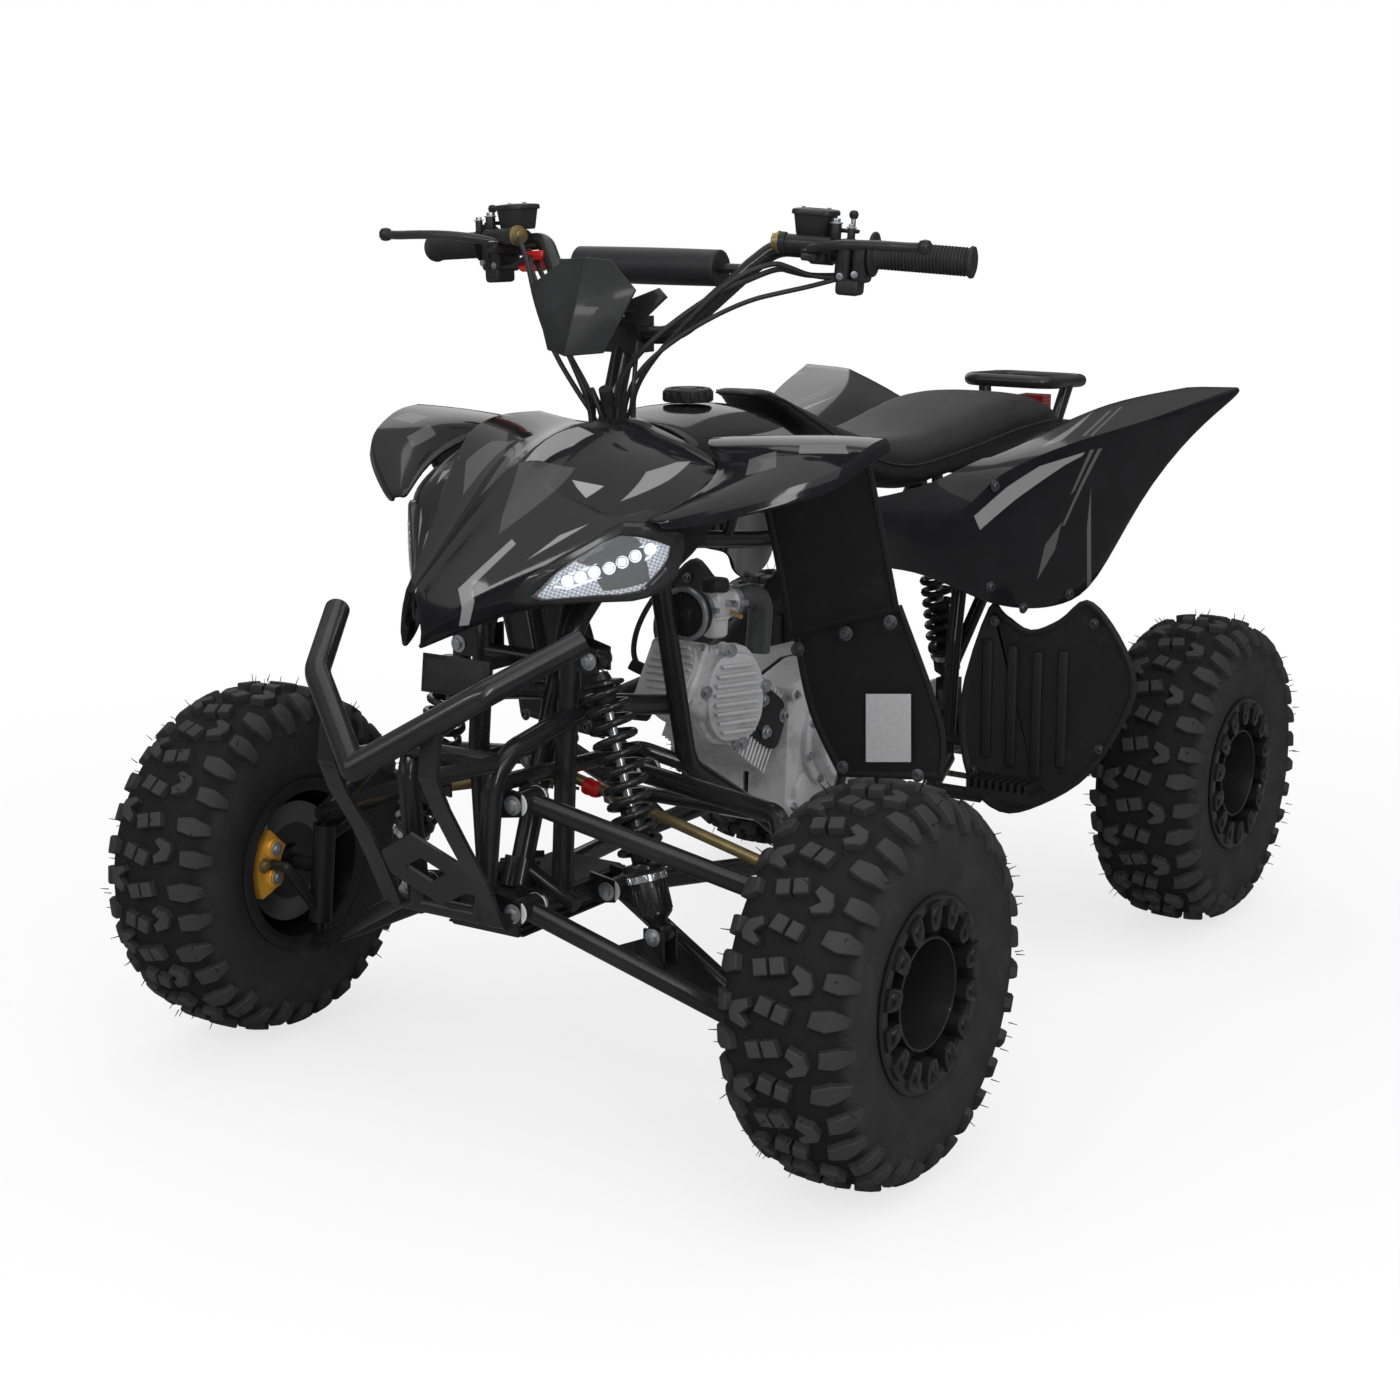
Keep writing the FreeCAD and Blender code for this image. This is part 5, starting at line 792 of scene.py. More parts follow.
def loft(loops: Sequence[Sequence[Vector]], capped: bool = True, ring: bool = True) -> Form:
    """A skin through lines of as many places each.

    Args:
        loops: the lines, one after the other.
        capped: whether open ends are closed by a face.
        ring: whether each line meets itself.

    Returns:
        The skinned form.
    """
    form = Form()
    count = len(loops[0])
    columns = count if ring else count - 1
    bmesh.ops.create_grid(form.bm, x_segments=columns, y_segments=len(loops) - 1, size=1)
    form.bm.verts.ensure_lookup_table()
    for index, vert in enumerate(form.bm.verts):
        row, column = divmod(index, columns + 1)
        vert.co = loops[row][column % count]
    bmesh.ops.remove_doubles(form.bm, verts=form.bm.verts, dist=MERGE)
    if capped:
        edges = [e for e in form.bm.edges if e.is_boundary]
        bmesh.ops.holes_fill(form.bm, edges=edges, sides=0)
    return form.turned()


def resampled(outline: Sequence[Flat], centre: Flat, count: int) -> list[Flat]:
    """Points of an outline at even angles about a centre that sees all of it."""
    points = []
    pairs = list(zip(outline, list(outline[1:]) + list(outline[:1])))
    for index in range(count):
        angle = math.tau * index / count
        dx, dy = math.cos(angle), math.sin(angle)
        best = 0.0
        for (x0, y0), (x1, y1) in pairs:
            ex, ey = x1 - x0, y1 - y0
            det = ex * dy - ey * dx
            if abs(det) < 1e-12:
                continue
            px, py = x0 - centre[0], y0 - centre[1]
            reach = (ex * py - ey * px) / det
            place = (dx * py - dy * px) / det
            if reach > 0 and -1e-9 <= place <= 1 + 1e-9:
                best = max(best, reach)
        points.append((centre[0] + dx * best, centre[1] + dy * best))
    return points


def lathe(profile: Sequence[Flat], steps: int = 32, closed: bool = False) -> Form:
    """Spins a profile of (radius, height) about z.

    Args:
        profile: the points; a closed profile meets itself.
        steps: how many facets the turn has.
        closed: whether the profile is a loop.

    Returns:
        The spun form.
    """
    form = Form()
    verts = [bmesh.ops.create_vert(form.bm, co=Vector((r, 0, h)))["vert"][0] for r, h in profile]
    ring = verts[1:] + verts[:1] if closed else verts[1:]
    edges = [form.bm.edges.new((a, b)) for a, b in zip(verts, ring)]
    bmesh.ops.spin(form.bm, geom=verts + edges, axis=Axis.UP.value, cent=Vector(), dvec=Vector(), angle=math.tau,
                   steps=steps, use_merge=True, use_duplicate=False, use_normal_flip=False)
    return form.turned()


def plate(outline: Sequence[Flat], thick: float, width: float = 0.0) -> Form:
    """A flat plate from an outline in x and y, pushed up along z."""
    form = Form()
    verts = [bmesh.ops.create_vert(form.bm, co=Vector((x, y, 0)))["vert"][0] for x, y in outline]
    face = form.bm.faces.new(verts)
    made = bmesh.ops.extrude_face_region(form.bm, geom=[face])
    tops = [v for v in made["geom"] if isinstance(v, bmesh.types.BMVert)]
    bmesh.ops.translate(form.bm, vec=Vector((0, 0, thick)), verts=tops)
    form.turned()
    if width:
        form.bevel(width, 2)
    return form


def hose(name: str, points: Sequence[Vector], radius: float, finish: Finish, sides: int = 4) -> bpy.types.Object:
    """A bent bar, cable or hose along a smooth line.

    Args:
        name: the object's name.
        points: the line's control points.
        radius: half its thickness.
        finish: its finish.
        sides: fineness round the section.

    Returns:
        The curve turned into a mesh.
    """
    curve = bpy.data.curves.new(name, "CURVE")
    curve.dimensions = "3D"
    curve.bevel_depth = radius
    curve.bevel_resolution = sides
    curve.use_fill_caps = True
    curve.resolution_u = 8
    spline = curve.splines.new("NURBS")
    spline.points.add(len(points) - 1)
    for target, point in zip(spline.points, points):
        target.co = (*point, 1)
    spline.order_u = 3
    spline.use_endpoint_u = True
    source = bpy.data.objects.new(name + "_line", curve)
    bpy.context.scene.collection.objects.link(source)
    bpy.context.view_layer.update()
    mesh = bpy.data.meshes.new_from_object(source)
    bpy.data.objects.remove(source)
    mesh.name = name
    mesh.materials.clear()
    mesh.materials.append(finish.material())
    made = bpy.data.objects.new(name, mesh)
    bpy.context.scene.collection.objects.link(made)
    shade(made, 0.8)
    return made


def coil(radius: float, wire: float, start: float, end: float, turns: float) -> Form:
    """A helical spring along z."""
    steps, sides = 22, 8
    form = Form()
    verts = bmesh.ops.create_circle(form.bm, cap_ends=True, segments=sides, radius=wire)["verts"]
    bmesh.ops.rotate(form.bm, cent=Vector(), matrix=Matrix.Rotation(math.pi / 2, 3, "X"), verts=verts)
    bmesh.ops.translate(form.bm, vec=Vector((radius, 0, start)), verts=verts)
    geom = list(form.bm.verts) + list(form.bm.edges) + list(form.bm.faces)
    rise = Vector((0, 0, (end - start) / (steps * turns)))
    bmesh.ops.spin(form.bm, geom=geom, axis=Axis.UP.value, cent=Vector(), dvec=rise, angle=math.tau * turns,
                   steps=int(steps * turns), use_merge=False, use_duplicate=False, use_normal_flip=False)
    return form.turned()


def bolt(radius: float, height: float, socket: bool = True) -> Form:
    """A bolt head on its washer, standing on the origin along z."""
    form = Form()
    form.add(drum(radius * 1.55, height * 0.28, 20, radius * 0.08))
    if socket:
        profile = [(0.0, height * 0.55), (radius * 0.5, height * 0.55), (radius * 0.52, height * 1.15),
                   (radius * 0.86, height * 1.15), (radius, height), (radius, height * 0.28)]
        form.add(lathe(profile, 18))
    else:
        form.add(drum(radius, height, 6, radius * 0.1))
    return form


def wheel_matrix(centre: Vector, side: int) -> Matrix:
    """Turns a form spun about z into a wheel at a centre, its +z outwards."""
    return Matrix.Translation(centre) @ quarter("Y", side)


def ride(piece: bpy.types.Object, body: str, slot: str, *nodes: str) -> bpy.types.Object:
    """Puts a piece on a body and hides the nodes it stands for; the slot is not used."""
    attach(piece, body)
    for node in nodes:
        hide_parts(node)
    LOG.info("%s rides on %s", piece.name, body)
    return piece


@dataclass
class Carcass:
    """The cross-section of a tyre and the way its lugs wrap onto it."""

    half_profile: tuple[Flat, ...] = (
        (0.0, 0.2212), (0.014, 0.2210), (0.028, 0.2202), (0.041, 0.2184), (0.053, 0.2149), (0.063, 0.2092),
        (0.0705, 0.2020), (0.0755, 0.1910), (0.0785, 0.1780), (0.0798, 0.1640), (0.0792, 0.1500), (0.0768, 0.1370),
        (0.0738, 0.1268), (0.0712, 0.1205), (0.0695, 0.1165), (0.0690, 0.1120),
    )
    pitch_radius: float = 0.2232

    def at(self, reach: float) -> tuple[float, float, float, float]:
        """Place and outward normal at a distance from the crown along the skin, as x, r, nx, nr."""
        side = -1 if reach < 0 else 1
        left = abs(reach)
        points = self.half_profile
        for (x0, r0), (x1, r1) in zip(points, points[1:]):
            span = math.hypot(x1 - x0, r1 - r0)
            if left <= span:
                share = left / span
                nx, nr = (r0 - r1) / span, (x1 - x0) / span
                return side * (x0 + (x1 - x0) * share), r0 + (r1 - r0) * share, side * nx, nr
            left -= span
        x1, r1 = points[-1]
        return side * x1, r1, side * 1.0, 0.0

    def wrap(self, form: Form) -> Form:
        """Bends a form drawn flat (along, across, height) round the tyre about z."""
        for vert in form.bm.verts:
            along, across, height = vert.co
            x, r, nx, nr = self.at(across)
            radius = r + nr * height
            angle = along / self.pitch_radius
            vert.co = Vector((radius * math.cos(angle), radius * math.sin(angle), x + nx * height))
        return form


@dataclass
class Tyre:
    """A knobbly balloon tyre: carcass, blocks, notched V lugs, shoulder lugs and vent hairs."""

    name: str
    side: int
    body: str
    pitches: int = 16
    height: float = 0.0108
    shapes: tuple[tuple[tuple[Flat, ...], float], ...] = (
        (((0.004, -0.027), (0.023, -0.021), (0.019, -0.004), (0.000, -0.010)), 1.0),
        (((0.0185, -0.0015), (-0.0005, -0.0075), (-0.005, 0.010), (0.014, 0.017)), 1.0),
        (((0.000, 0.026), (0.010, 0.022), (0.020, 0.033), (0.030, 0.022), (0.036, 0.027), (0.031, 0.045),
          (0.022, 0.049), (0.007, 0.044)), 0.95),
        (((0.003, 0.056), (0.023, 0.054), (0.027, 0.072), (0.022, 0.098), (0.007, 0.098), (0.000, 0.076)), 0.72),
        (((0.046, 0.047), (0.064, 0.043), (0.070, 0.062), (0.064, 0.088), (0.050, 0.090), (0.042, 0.068)), 0.8),
    )

    def lug(self, outline: Sequence[Flat], height: float) -> Form:
        """One flat lug, drafted, cut so that it can bend, and rounded on top."""
        form = Form()
        verts = [bmesh.ops.create_vert(form.bm, co=Vector((u, s, -0.002)))["vert"][0] for u, s in outline]
        face = form.bm.faces.new(verts)
        made = bmesh.ops.extrude_face_region(form.bm, geom=[face])
        tops = [v for v in made["geom"] if isinstance(v, bmesh.types.BMVert)]
        middle = sum((v.co for v in tops), Vector()) / len(tops)
        bmesh.ops.translate(form.bm, vec=Vector((0, 0, height + 0.002)), verts=tops)
        middle.z = height
        draft = Matrix.Translation(middle) @ Matrix.Diagonal((0.88, 0.9, 1, 1)) @ Matrix.Translation(-middle)
        bmesh.ops.transform(form.bm, matrix=draft, verts=tops)
        bmesh.ops.recalc_face_normals(form.bm, faces=form.bm.faces)
        edges = [e for e in form.bm.edges if all(v.co.z > height * 0.9 for v in e.verts)]
        bmesh.ops.bevel(form.bm, geom=edges, offset=0.0011, segments=1, profile=0.5, affect="EDGES", material=-1)
        across = [s for u, s in outline]
        cuts = int((max(across) - min(across)) / 0.011)
        for index in range(1, cuts + 1):
            place = min(across) + (max(across) - min(across)) * index / (cuts + 1)
            geom = list(form.bm.verts) + list(form.bm.edges) + list(form.bm.faces)
            bmesh.ops.bisect_plane(form.bm, geom=geom, plane_co=Vector((0, place, 0)), plane_no=Vector((0, 1, 0)))
        return form

    def cell(self, carcass: Carcass) -> Form:
        """The lugs of one pitch on both sides, wrapped."""
        form = Form()
        pitch = math.tau * carcass.pitch_radius / self.pitches
        for outline, share in self.shapes:
            lug = self.lug(outline, self.height * share)
            other = move(pitch / 2, 0, 0) @ Matrix.Diagonal((1, -1, 1, 1))
            form.add(lug, slot=1)
            form.add(lug, other, 1)
        return carcass.wrap(form)

    def hairs(self, carcass: Carcass) -> Form:
        """Thin vent hairs on lugs and shoulders, none under the standing tyre."""
        form = Form()
        needle = Form()
        bmesh.ops.create_cone(needle.bm, cap_ends=True, segments=4, radius1=0.0008, radius2=0.0004, depth=0.0105)
        bmesh.ops.translate(needle.bm, vec=Vector((0, 0, 0.0050)), verts=needle.bm.verts)
        rows = (0.012, 0.036, 0.066, 0.080, 0.094)
        for index in range(self.pitches * 9):
            angle = math.tau * index / (self.pitches * 9) + 0.21 * math.sin(index * 2.3)
            if abs(math.sin((angle - self.down()) / 2)) < 0.17:
                continue
            reach = rows[(index * 7) % 5] * (1 if index % 2 else -1)
            x, r, nx, nr = carcass.at(reach)
            lean = Vector((nr * math.cos(angle + 0.3 * math.sin(index * 5.1)),
                           nr * math.sin(angle + 0.3 * math.sin(index * 5.1)), nx + 0.25 * math.sin(index * 3.7)))
            rise = self.height * (0.95 if abs(reach) < 0.05 else 0.72)
            root = Vector(((r + nr * rise) * math.cos(angle), (r + nr * rise) * math.sin(angle), x + nx * rise))
            form.add(needle, towards(lean, root))
        return form

    def down(self) -> float:
        """The angle at which the tyre stands, in the form's own plane."""
        return math.pi if self.side < 0 else 0.0

    def build(self, centre: Vector) -> bpy.types.Object:
        """Makes the tyre and hides the plain one."""
        carcass = Carcass()
        half = carcass.half_profile
        outer = [(r, x) for x, r in half]
        loop = [(r, -x) for x, r in reversed(half)] + outer[1:]
        inner = [(0.1035, 0.069), (0.1035, -0.069)]
        form = lathe(loop + inner, 96, closed=True)
        cell = self.cell(carcass)
        form.ring(cell, self.pitches)
        form.add(self.hairs(carcass))
        form.shift(wheel_matrix(centre, self.side))
        ground = TyreRubber("tyre_" + self.name, centre=tuple(centre))
        # The lugs take a lighter grey than the carcass as a painted sheen, and no painted shade between lugs.
        lugs = TyreRubber("lugs_" + self.name, centre=tuple(centre), colour=(0.026, 0.026, 0.027), rough=0.5, painted_gap_shade=0.0)
        piece = form.object(self.name + "_skin", [ground, lugs], 0.55)
        return ride(piece, self.body, "tyre_rubber", self.name)


@dataclass
class Rim:
    """A black alloy-look rim: flanges, a deep open barrel and a ring of drilled blocks."""

    name: str
    side: int
    body: str
    blocks: int = 14
    outline: tuple[Flat, ...] = (
        (-0.0140, 0.1075), (-0.0070, 0.1085), (0.0, 0.1090), (0.0070, 0.1085), (0.0140, 0.1075), (0.0145, 0.0985),
        (0.0125, 0.0850), (0.0075, 0.0765), (0.0, 0.0755), (-0.0075, 0.0765), (-0.0125, 0.0850), (-0.0145, 0.0985),
    )

    def ring_block(self) -> Form:
        """One block of the ring with its hole."""
        form = Form()
        made = bmesh.ops.create_circle(form.bm, cap_ends=True, segments=12, radius=1)
        for vert, (t, r) in zip(made["verts"], self.outline):
            vert.co = Vector((r, t, 0.052))
        face = form.bm.faces[:][0]
        made = bmesh.ops.extrude_face_region(form.bm, geom=[face])
        tops = [v for v in made["geom"] if isinstance(v, bmesh.types.BMVert)]
        top = next(f for f in made["geom"] if isinstance(f, bmesh.types.BMFace))
        bmesh.ops.translate(form.bm, vec=Vector((0, 0, 0.0260)), verts=tops)
        bmesh.ops.scale(form.bm, vec=Vector((1, 0.9, 1)), verts=tops)
        bmesh.ops.inset_individual(form.bm, faces=[top], thickness=0.0022, depth=0.0008)
        bmesh.ops.inset_individual(form.bm, faces=[top], thickness=0.002)
        centre = Vector((0.0915, 0, top.calc_center_median().z))
        for vert in top.verts:
            out = (vert.co - centre).normalized()
            vert.co = centre + out * 0.0056
        made = bmesh.ops.extrude_face_region(form.bm, geom=[top])
        deep = [v for v in made["geom"] if isinstance(v, bmesh.types.BMVert)]
        bmesh.ops.translate(form.bm, vec=Vector((0, 0, -0.020)), verts=deep)
        return form.turned()

    def build(self, centre: Vector) -> bpy.types.Object:
        """Makes the rim and hides the plain one."""
        profile = [
            (0.0975, 0.0690), (0.0990, 0.0735), (0.1010, 0.0748), (0.1120, 0.0746), (0.1148, 0.0728), (0.1150, 0.0712),
            (0.1140, 0.0702), (0.1022, 0.0702), (0.1020, 0.0680), (0.1020, -0.0680), (0.1022, -0.0702),
            (0.1140, -0.0702), (0.1150, -0.0715), (0.1148, -0.0735), (0.1120, -0.0748), (0.1010, -0.0748),
            (0.0975, -0.0735), (0.0970, -0.0690), (0.0965, 0.0480), (0.0900, 0.0492), (0.0680, 0.0492),
            (0.0662, 0.0480), (0.0660, -0.0060), (0.0640, -0.0060), (0.0222, -0.0060), (0.0222, 0.0002),
            (0.0560, 0.0002), (0.0605, 0.0020), (0.0620, 0.0060), (0.0622, 0.0680), (0.0628, 0.0696), (0.0648, 0.0698),
            (0.0660, 0.0688), (0.0664, 0.0550), (0.0680, 0.0538), (0.0950, 0.0538), (0.0966, 0.0552),
        ]
        form = lathe(profile, 96, closed=True)
        unit = self.ring_block()
        form.ring(unit, self.blocks)
        nut = bolt(0.0075, 0.009, socket=False)
        form.ring(nut, 4, place=move(0.038, 0, 0.0002), slot=1, start=0.5)
        form.shift(wheel_matrix(centre, self.side))
        piece = form.object(self.name + "_cast", [RIM_BLACK, STEEL], 0.5)
        return ride(piece, self.body, "rim_black", self.name)


@dataclass
class Wheels:
    """All four wheels."""

    def build(self) -> None:
        """Builds tyres and rims where the plain ones are."""
        for side, word in SIDES:
            for end, body in (("front", "front_wheel_" + word), ("rear", "rear_wheels")):
                centre = centre_of(f"{end}_tyre_{word}")
                Tyre(f"{end}_tyre_{word}", side, body).build(centre)
                Rim(f"{end}_rim_{word}", side, body).build(centre)
        for side, word in SIDES:
            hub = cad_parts[f"front_hub_{word}"]
            dress(hub, DiscSteel("disc_" + word, centre=tuple(centre_of(f"front_tyre_{word}"))))


def dress(node: bpy.types.Object, finish: Finish) -> None:
    """Gives a carried-over node its finish."""
    node.data.materials.clear()
    node.data.materials.append(finish.material())
    for polygon in node.data.polygons:
        polygon.material_index = 0


# Body panels


@dataclass
class Panel:
    """A moulded panel drawn as rows of stations across the vehicle."""

    name: str
    rows: tuple[tuple[float, tuple[Flat, ...]], ...]
    finish: Finish
    slot: str
    mirrored: bool = False
    ridges: tuple[int, ...] = ()
    wall: float = 0.004
    body: str = "frame"
    levels: int = 2

    def sheet(self, side: int) -> Form:
        """The grid of one side, its ridges creased."""
        form = Form()
        rows, columns = len(self.rows), len(self.rows[0][1])
        bmesh.ops.create_grid(form.bm, x_segments=columns - 1, y_segments=rows - 1, size=1)
        form.bm.verts.ensure_lookup_table()
        for index, vert in enumerate(form.bm.verts):
            y, line = self.rows[index // columns]
            x, z = line[index % columns]
            vert.co = sided(station((x, y, z)), side)
        self.crease(form, columns)
        return form

    def crease(self, form: Form, columns: int) -> None:
        """Creases the ridges for the smoothing."""
        layer = form.bm.edges.layers.float.new("crease_edge")
        form.bm.verts.index_update()
        for edge in form.bm.edges:
            a, b = (v.index for v in edge.verts)
            same_column = a % columns == b % columns
            if same_column and a % columns in self.ridges:
                edge[layer] = 0.85

    def build(self) -> bpy.types.Object:
        """Makes the piece: both sides, smoothed, given its wall and rounded edges."""
        form = self.sheet(1)
        if self.mirrored:
            form.add(self.sheet(-1))
            bmesh.ops.remove_doubles(form.bm, verts=form.bm.verts, dist=1e-5)
        bmesh.ops.recalc_face_normals(form.bm, faces=form.bm.faces)
        if sum(f.normal.z for f in form.bm.faces) < 0:
            bmesh.ops.reverse_faces(form.bm, faces=form.bm.faces)
        if not self.mirrored:
            form.add(form, Matrix.Diagonal((-1, 1, 1, 1)))
        piece = form.object(self.name, [self.finish], 0.7)
        smooth = piece.modifiers.new("smooth", "SUBSURF")
        smooth.levels = smooth.render_levels = self.levels
        walled(piece, self.wall, self.wall * 0.3)
        return ride(piece, self.body, self.slot)


COWL_ROWS = (
    (-0.803, ((0, 0.668), (0.006, 0.672), (0.012, 0.652), (0.015, 0.636), (0.016, 0.622), (0.014, 0.608),
              (0.008, 0.603))),
    (-0.760, ((0, 0.700), (0.015, 0.712), (0.022, 0.686), (0.032, 0.664), (0.038, 0.648), (0.036, 0.624),
              (0.026, 0.616))),
    (-0.700, ((0, 0.745), (0.034, 0.772), (0.043, 0.738), (0.064, 0.708), (0.080, 0.684), (0.078, 0.648),
              (0.066, 0.638))),
    (-0.640, ((0, 0.795), (0.054, 0.826), (0.065, 0.790), (0.098, 0.758), (0.132, 0.722), (0.130, 0.655),
              (0.118, 0.646))),
    (-0.580, ((0, 0.818), (0.066, 0.842), (0.080, 0.815), (0.125, 0.786), (0.188, 0.740), (0.192, 0.665),
              (0.180, 0.656))),
    (-0.520, ((0, 0.824), (0.072, 0.842), (0.090, 0.824), (0.142, 0.802), (0.206, 0.762), (0.208, 0.705),
              (0.198, 0.696))),
    (-0.462, ((0, 0.824), (0.076, 0.838), (0.098, 0.828), (0.148, 0.812), (0.204, 0.785), (0.208, 0.760),
              (0.200, 0.752))),
)
FENDER_ROWS = (
    (-0.600, ((0.1755, 0.738), (0.186, 0.742), (0.198, 0.738), (0.202, 0.726))),
    (-0.540, ((0.2035, 0.764), (0.235, 0.770), (0.272, 0.760), (0.277, 0.744))),
    (-0.474, ((0.2095, 0.790), (0.270, 0.798), (0.345, 0.787), (0.350, 0.768))),
    (-0.446, ((0.154, 0.812), (0.250, 0.820), (0.356, 0.800), (0.360, 0.782))),
    (-0.400, ((0.140, 0.815), (0.250, 0.824), (0.362, 0.820), (0.368, 0.802))),
    (-0.360, ((0.144, 0.808), (0.250, 0.820), (0.358, 0.822), (0.366, 0.804))),
)
TANK_ROWS = (
    (-0.386, ((0, 0.824), (0.058, 0.822), (0.096, 0.802), (0.122, 0.765), (0.128, 0.725))),
    (-0.300, ((0, 0.836), (0.062, 0.832), (0.104, 0.806), (0.132, 0.757), (0.138, 0.712))),
    (-0.200, ((0, 0.834), (0.060, 0.828), (0.100, 0.800), (0.130, 0.748), (0.136, 0.702))),
    (-0.110, ((0, 0.820), (0.050, 0.812), (0.086, 0.785), (0.118, 0.735), (0.126, 0.698))),
    (-0.035, ((0, 0.765), (0.040, 0.758), (0.070, 0.742), (0.102, 0.718), (0.114, 0.696))),
)
REAR_FENDER_ROWS = (
    (-0.020, ((0.124, 0.690), (0.130, 0.690), (0.138, 0.668), (0.142, 0.630), (0.142, 0.598))),
    (0.080, ((0.126, 0.688), (0.134, 0.690), (0.146, 0.665), (0.152, 0.620), (0.152, 0.585))),
    (0.150, ((0.136, 0.690), (0.148, 0.700), (0.190, 0.650), (0.196, 0.595), (0.198, 0.545))),
    (0.200, ((0.138, 0.695), (0.156, 0.712), (0.205, 0.700), (0.212, 0.610), (0.215, 0.522))),
    (0.260, ((0.138, 0.700), (0.165, 0.722), (0.228, 0.722), (0.238, 0.620), (0.240, 0.508))),
    (0.330, ((0.138, 0.706), (0.178, 0.735), (0.265, 0.743), (0.265, 0.640), (0.262, 0.506))),
    (0.400, ((0.138, 0.712), (0.192, 0.750), (0.300, 0.757), (0.288, 0.655), (0.278, 0.522))),
    (0.470, ((0.138, 0.718), (0.207, 0.765), (0.330, 0.768), (0.322, 0.725), (0.312, 0.650))),
    (0.560, ((0.138, 0.724), (0.230, 0.783), (0.356, 0.784), (0.356, 0.766), (0.354, 0.742))),
    (0.663, ((0.146, 0.738), (0.300, 0.797), (0.379, 0.800), (0.382, 0.797), (0.383, 0.790))),
)
# Grey patches laid into the panels' colour: in part painted highlights and painted reflections on the facets, in part
# grey stripes.
COWL_HIGHLIGHTS_AND_STRIPES = (
    GreyPatch(((0.050, -0.655), (0.0665, -0.575), (0.077, -0.558), (0.0725, -0.593), (0.0612, -0.634)), 0.21, True),
    GreyPatch(((-0.6609, 0.8032), (-0.7032, 0.7259), (-0.6236, 0.7812), (-0.607, 0.7933), (-0.634, 0.8015)), 0.0425,
           lowest_x=0.042),
    GreyPatch(((-0.7629, 0.6278), (-0.7583, 0.6691), (-0.7452, 0.6715), (-0.7525, 0.628)), 0.18, lowest_x=0.028),
    GreyPatch(((-0.7583, 0.6691), (-0.6954, 0.7202), (-0.6946, 0.7148), (-0.7452, 0.6715)), 0.18, lowest_x=0.028),
    GreyPatch(((-0.6187, 0.7811), (-0.5975, 0.7739), (-0.6203, 0.762), (-0.6204, 0.7726)), 0.25),
    GreyPatch(((-0.6933, 0.6975), (-0.6344, 0.7348), (-0.6593, 0.7236)), 0.2),
    GreyPatch(((-0.611, 0.7491), (-0.5352, 0.7774), (-0.4828, 0.7943), (-0.5049, 0.7946), (-0.5479, 0.7865)), 0.18,
           lowest_x=0.125),
    GreyPatch(((0.0124, -0.6913), (0.0336, -0.6587), (0.029, -0.6155), (0.0054, -0.5982)), 0.05, True),
)
FENDER_HIGHLIGHTS_AND_STRIPES = (
    GreyPatch(((0.2809, -0.4305), (0.3300, -0.4107), (0.3452, -0.4284), (0.2907, -0.4493)), 0.10, True),
    GreyPatch(((0.236, -0.470), (0.262, -0.452), (0.278, -0.478), (0.250, -0.500)), 0.065, True),
)
TANK_HIGHLIGHTS_AND_STRIPES = (
    GreyPatch(((-0.330, 0.790), (-0.322, 0.800), (-0.150, 0.798), (-0.135, 0.786)), 0.15, lowest_x=0.05),
    GreyPatch(((-0.300, 0.770), (-0.290, 0.780), (-0.205, 0.7795), (-0.210, 0.768)), 0.08, lowest_x=0.05),
)
REAR_HIGHLIGHTS_AND_STRIPES = (
    GreyPatch(((0.1696, 0.651), (0.2276, 0.6866), (0.2397, 0.6673), (0.1783, 0.6307)), 0.18, lowest_x=0.15),
    GreyPatch(((0.2276, 0.6866), (0.2828, 0.712), (0.3222, 0.7106), (0.2397, 0.6673)), 0.18, lowest_x=0.15),
    GreyPatch(((0.2828, 0.712), (0.3549, 0.7269), (0.3498, 0.7215), (0.3222, 0.7106)), 0.18, lowest_x=0.15),
    GreyPatch(((0.2291, 0.3116), (0.2445, 0.3441), (0.2285, 0.3964), (0.2276, 0.34)), 0.165, True),
    GreyPatch(((0.2445, 0.3441), (0.2348, 0.4229), (0.2205, 0.5034), (0.2285, 0.3964)), 0.165, True),
    GreyPatch(((0.2653, 0.366), (0.2700, 0.3675), (0.2478, 0.5037), (0.2440, 0.4980)), 0.08, True),
    GreyPatch(((0.2764, 0.369), (0.2800, 0.3700), (0.2560, 0.5250), (0.2525, 0.5190)), 0.08, True),
    GreyPatch(((0.3631, 0.7292), (0.3700, 0.7293), (0.3412, 0.6732), (0.3330, 0.6660)), 0.07, lowest_x=0.2),
    GreyPatch(((0.3765, 0.7297), (0.3840, 0.7305), (0.3257, 0.6241), (0.3200, 0.6230)), 0.07, lowest_x=0.2),
    GreyPatch(((0.2765, 0.5496), (0.2899, 0.5987), (0.3199, 0.6289), (0.3087, 0.5896)), 0.065, lowest_x=0.15),
)


@dataclass
class Bodywork:
    """Cowl, fenders and tank cover."""

    def build(self) -> None:
        """Builds the glossy panels in place of the plain ones."""
        cowl = Panel("cowl_skin", COWL_ROWS, Fairing("cowl_gloss", COWL_HIGHLIGHTS_AND_STRIPES), "gloss_panel", True,
                     (1, 2, 4, 5)).build()
        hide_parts("front_cowl")
        front = Panel("front_fender_skin", FENDER_ROWS, Fairing("fender_gloss", FENDER_HIGHLIGHTS_AND_STRIPES), "gloss_panel",
                      ridges=(2,)).build()
        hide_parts("front_fenders")
        tank = Panel("tank_skin", TANK_ROWS, Fairing("tank_gloss", TANK_HIGHLIGHTS_AND_STRIPES), "gloss_panel", True, (2,)).build()
        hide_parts("tank_cover")
        rear = Panel("rear_fender_skin", REAR_FENDER_ROWS, Fairing("rear_gloss", REAR_HIGHLIGHTS_AND_STRIPES), "gloss_panel",
                     ridges=(1, 2)).build()
        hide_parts("rear_fenders")


# Saddle, lamps, controls, engine and small parts


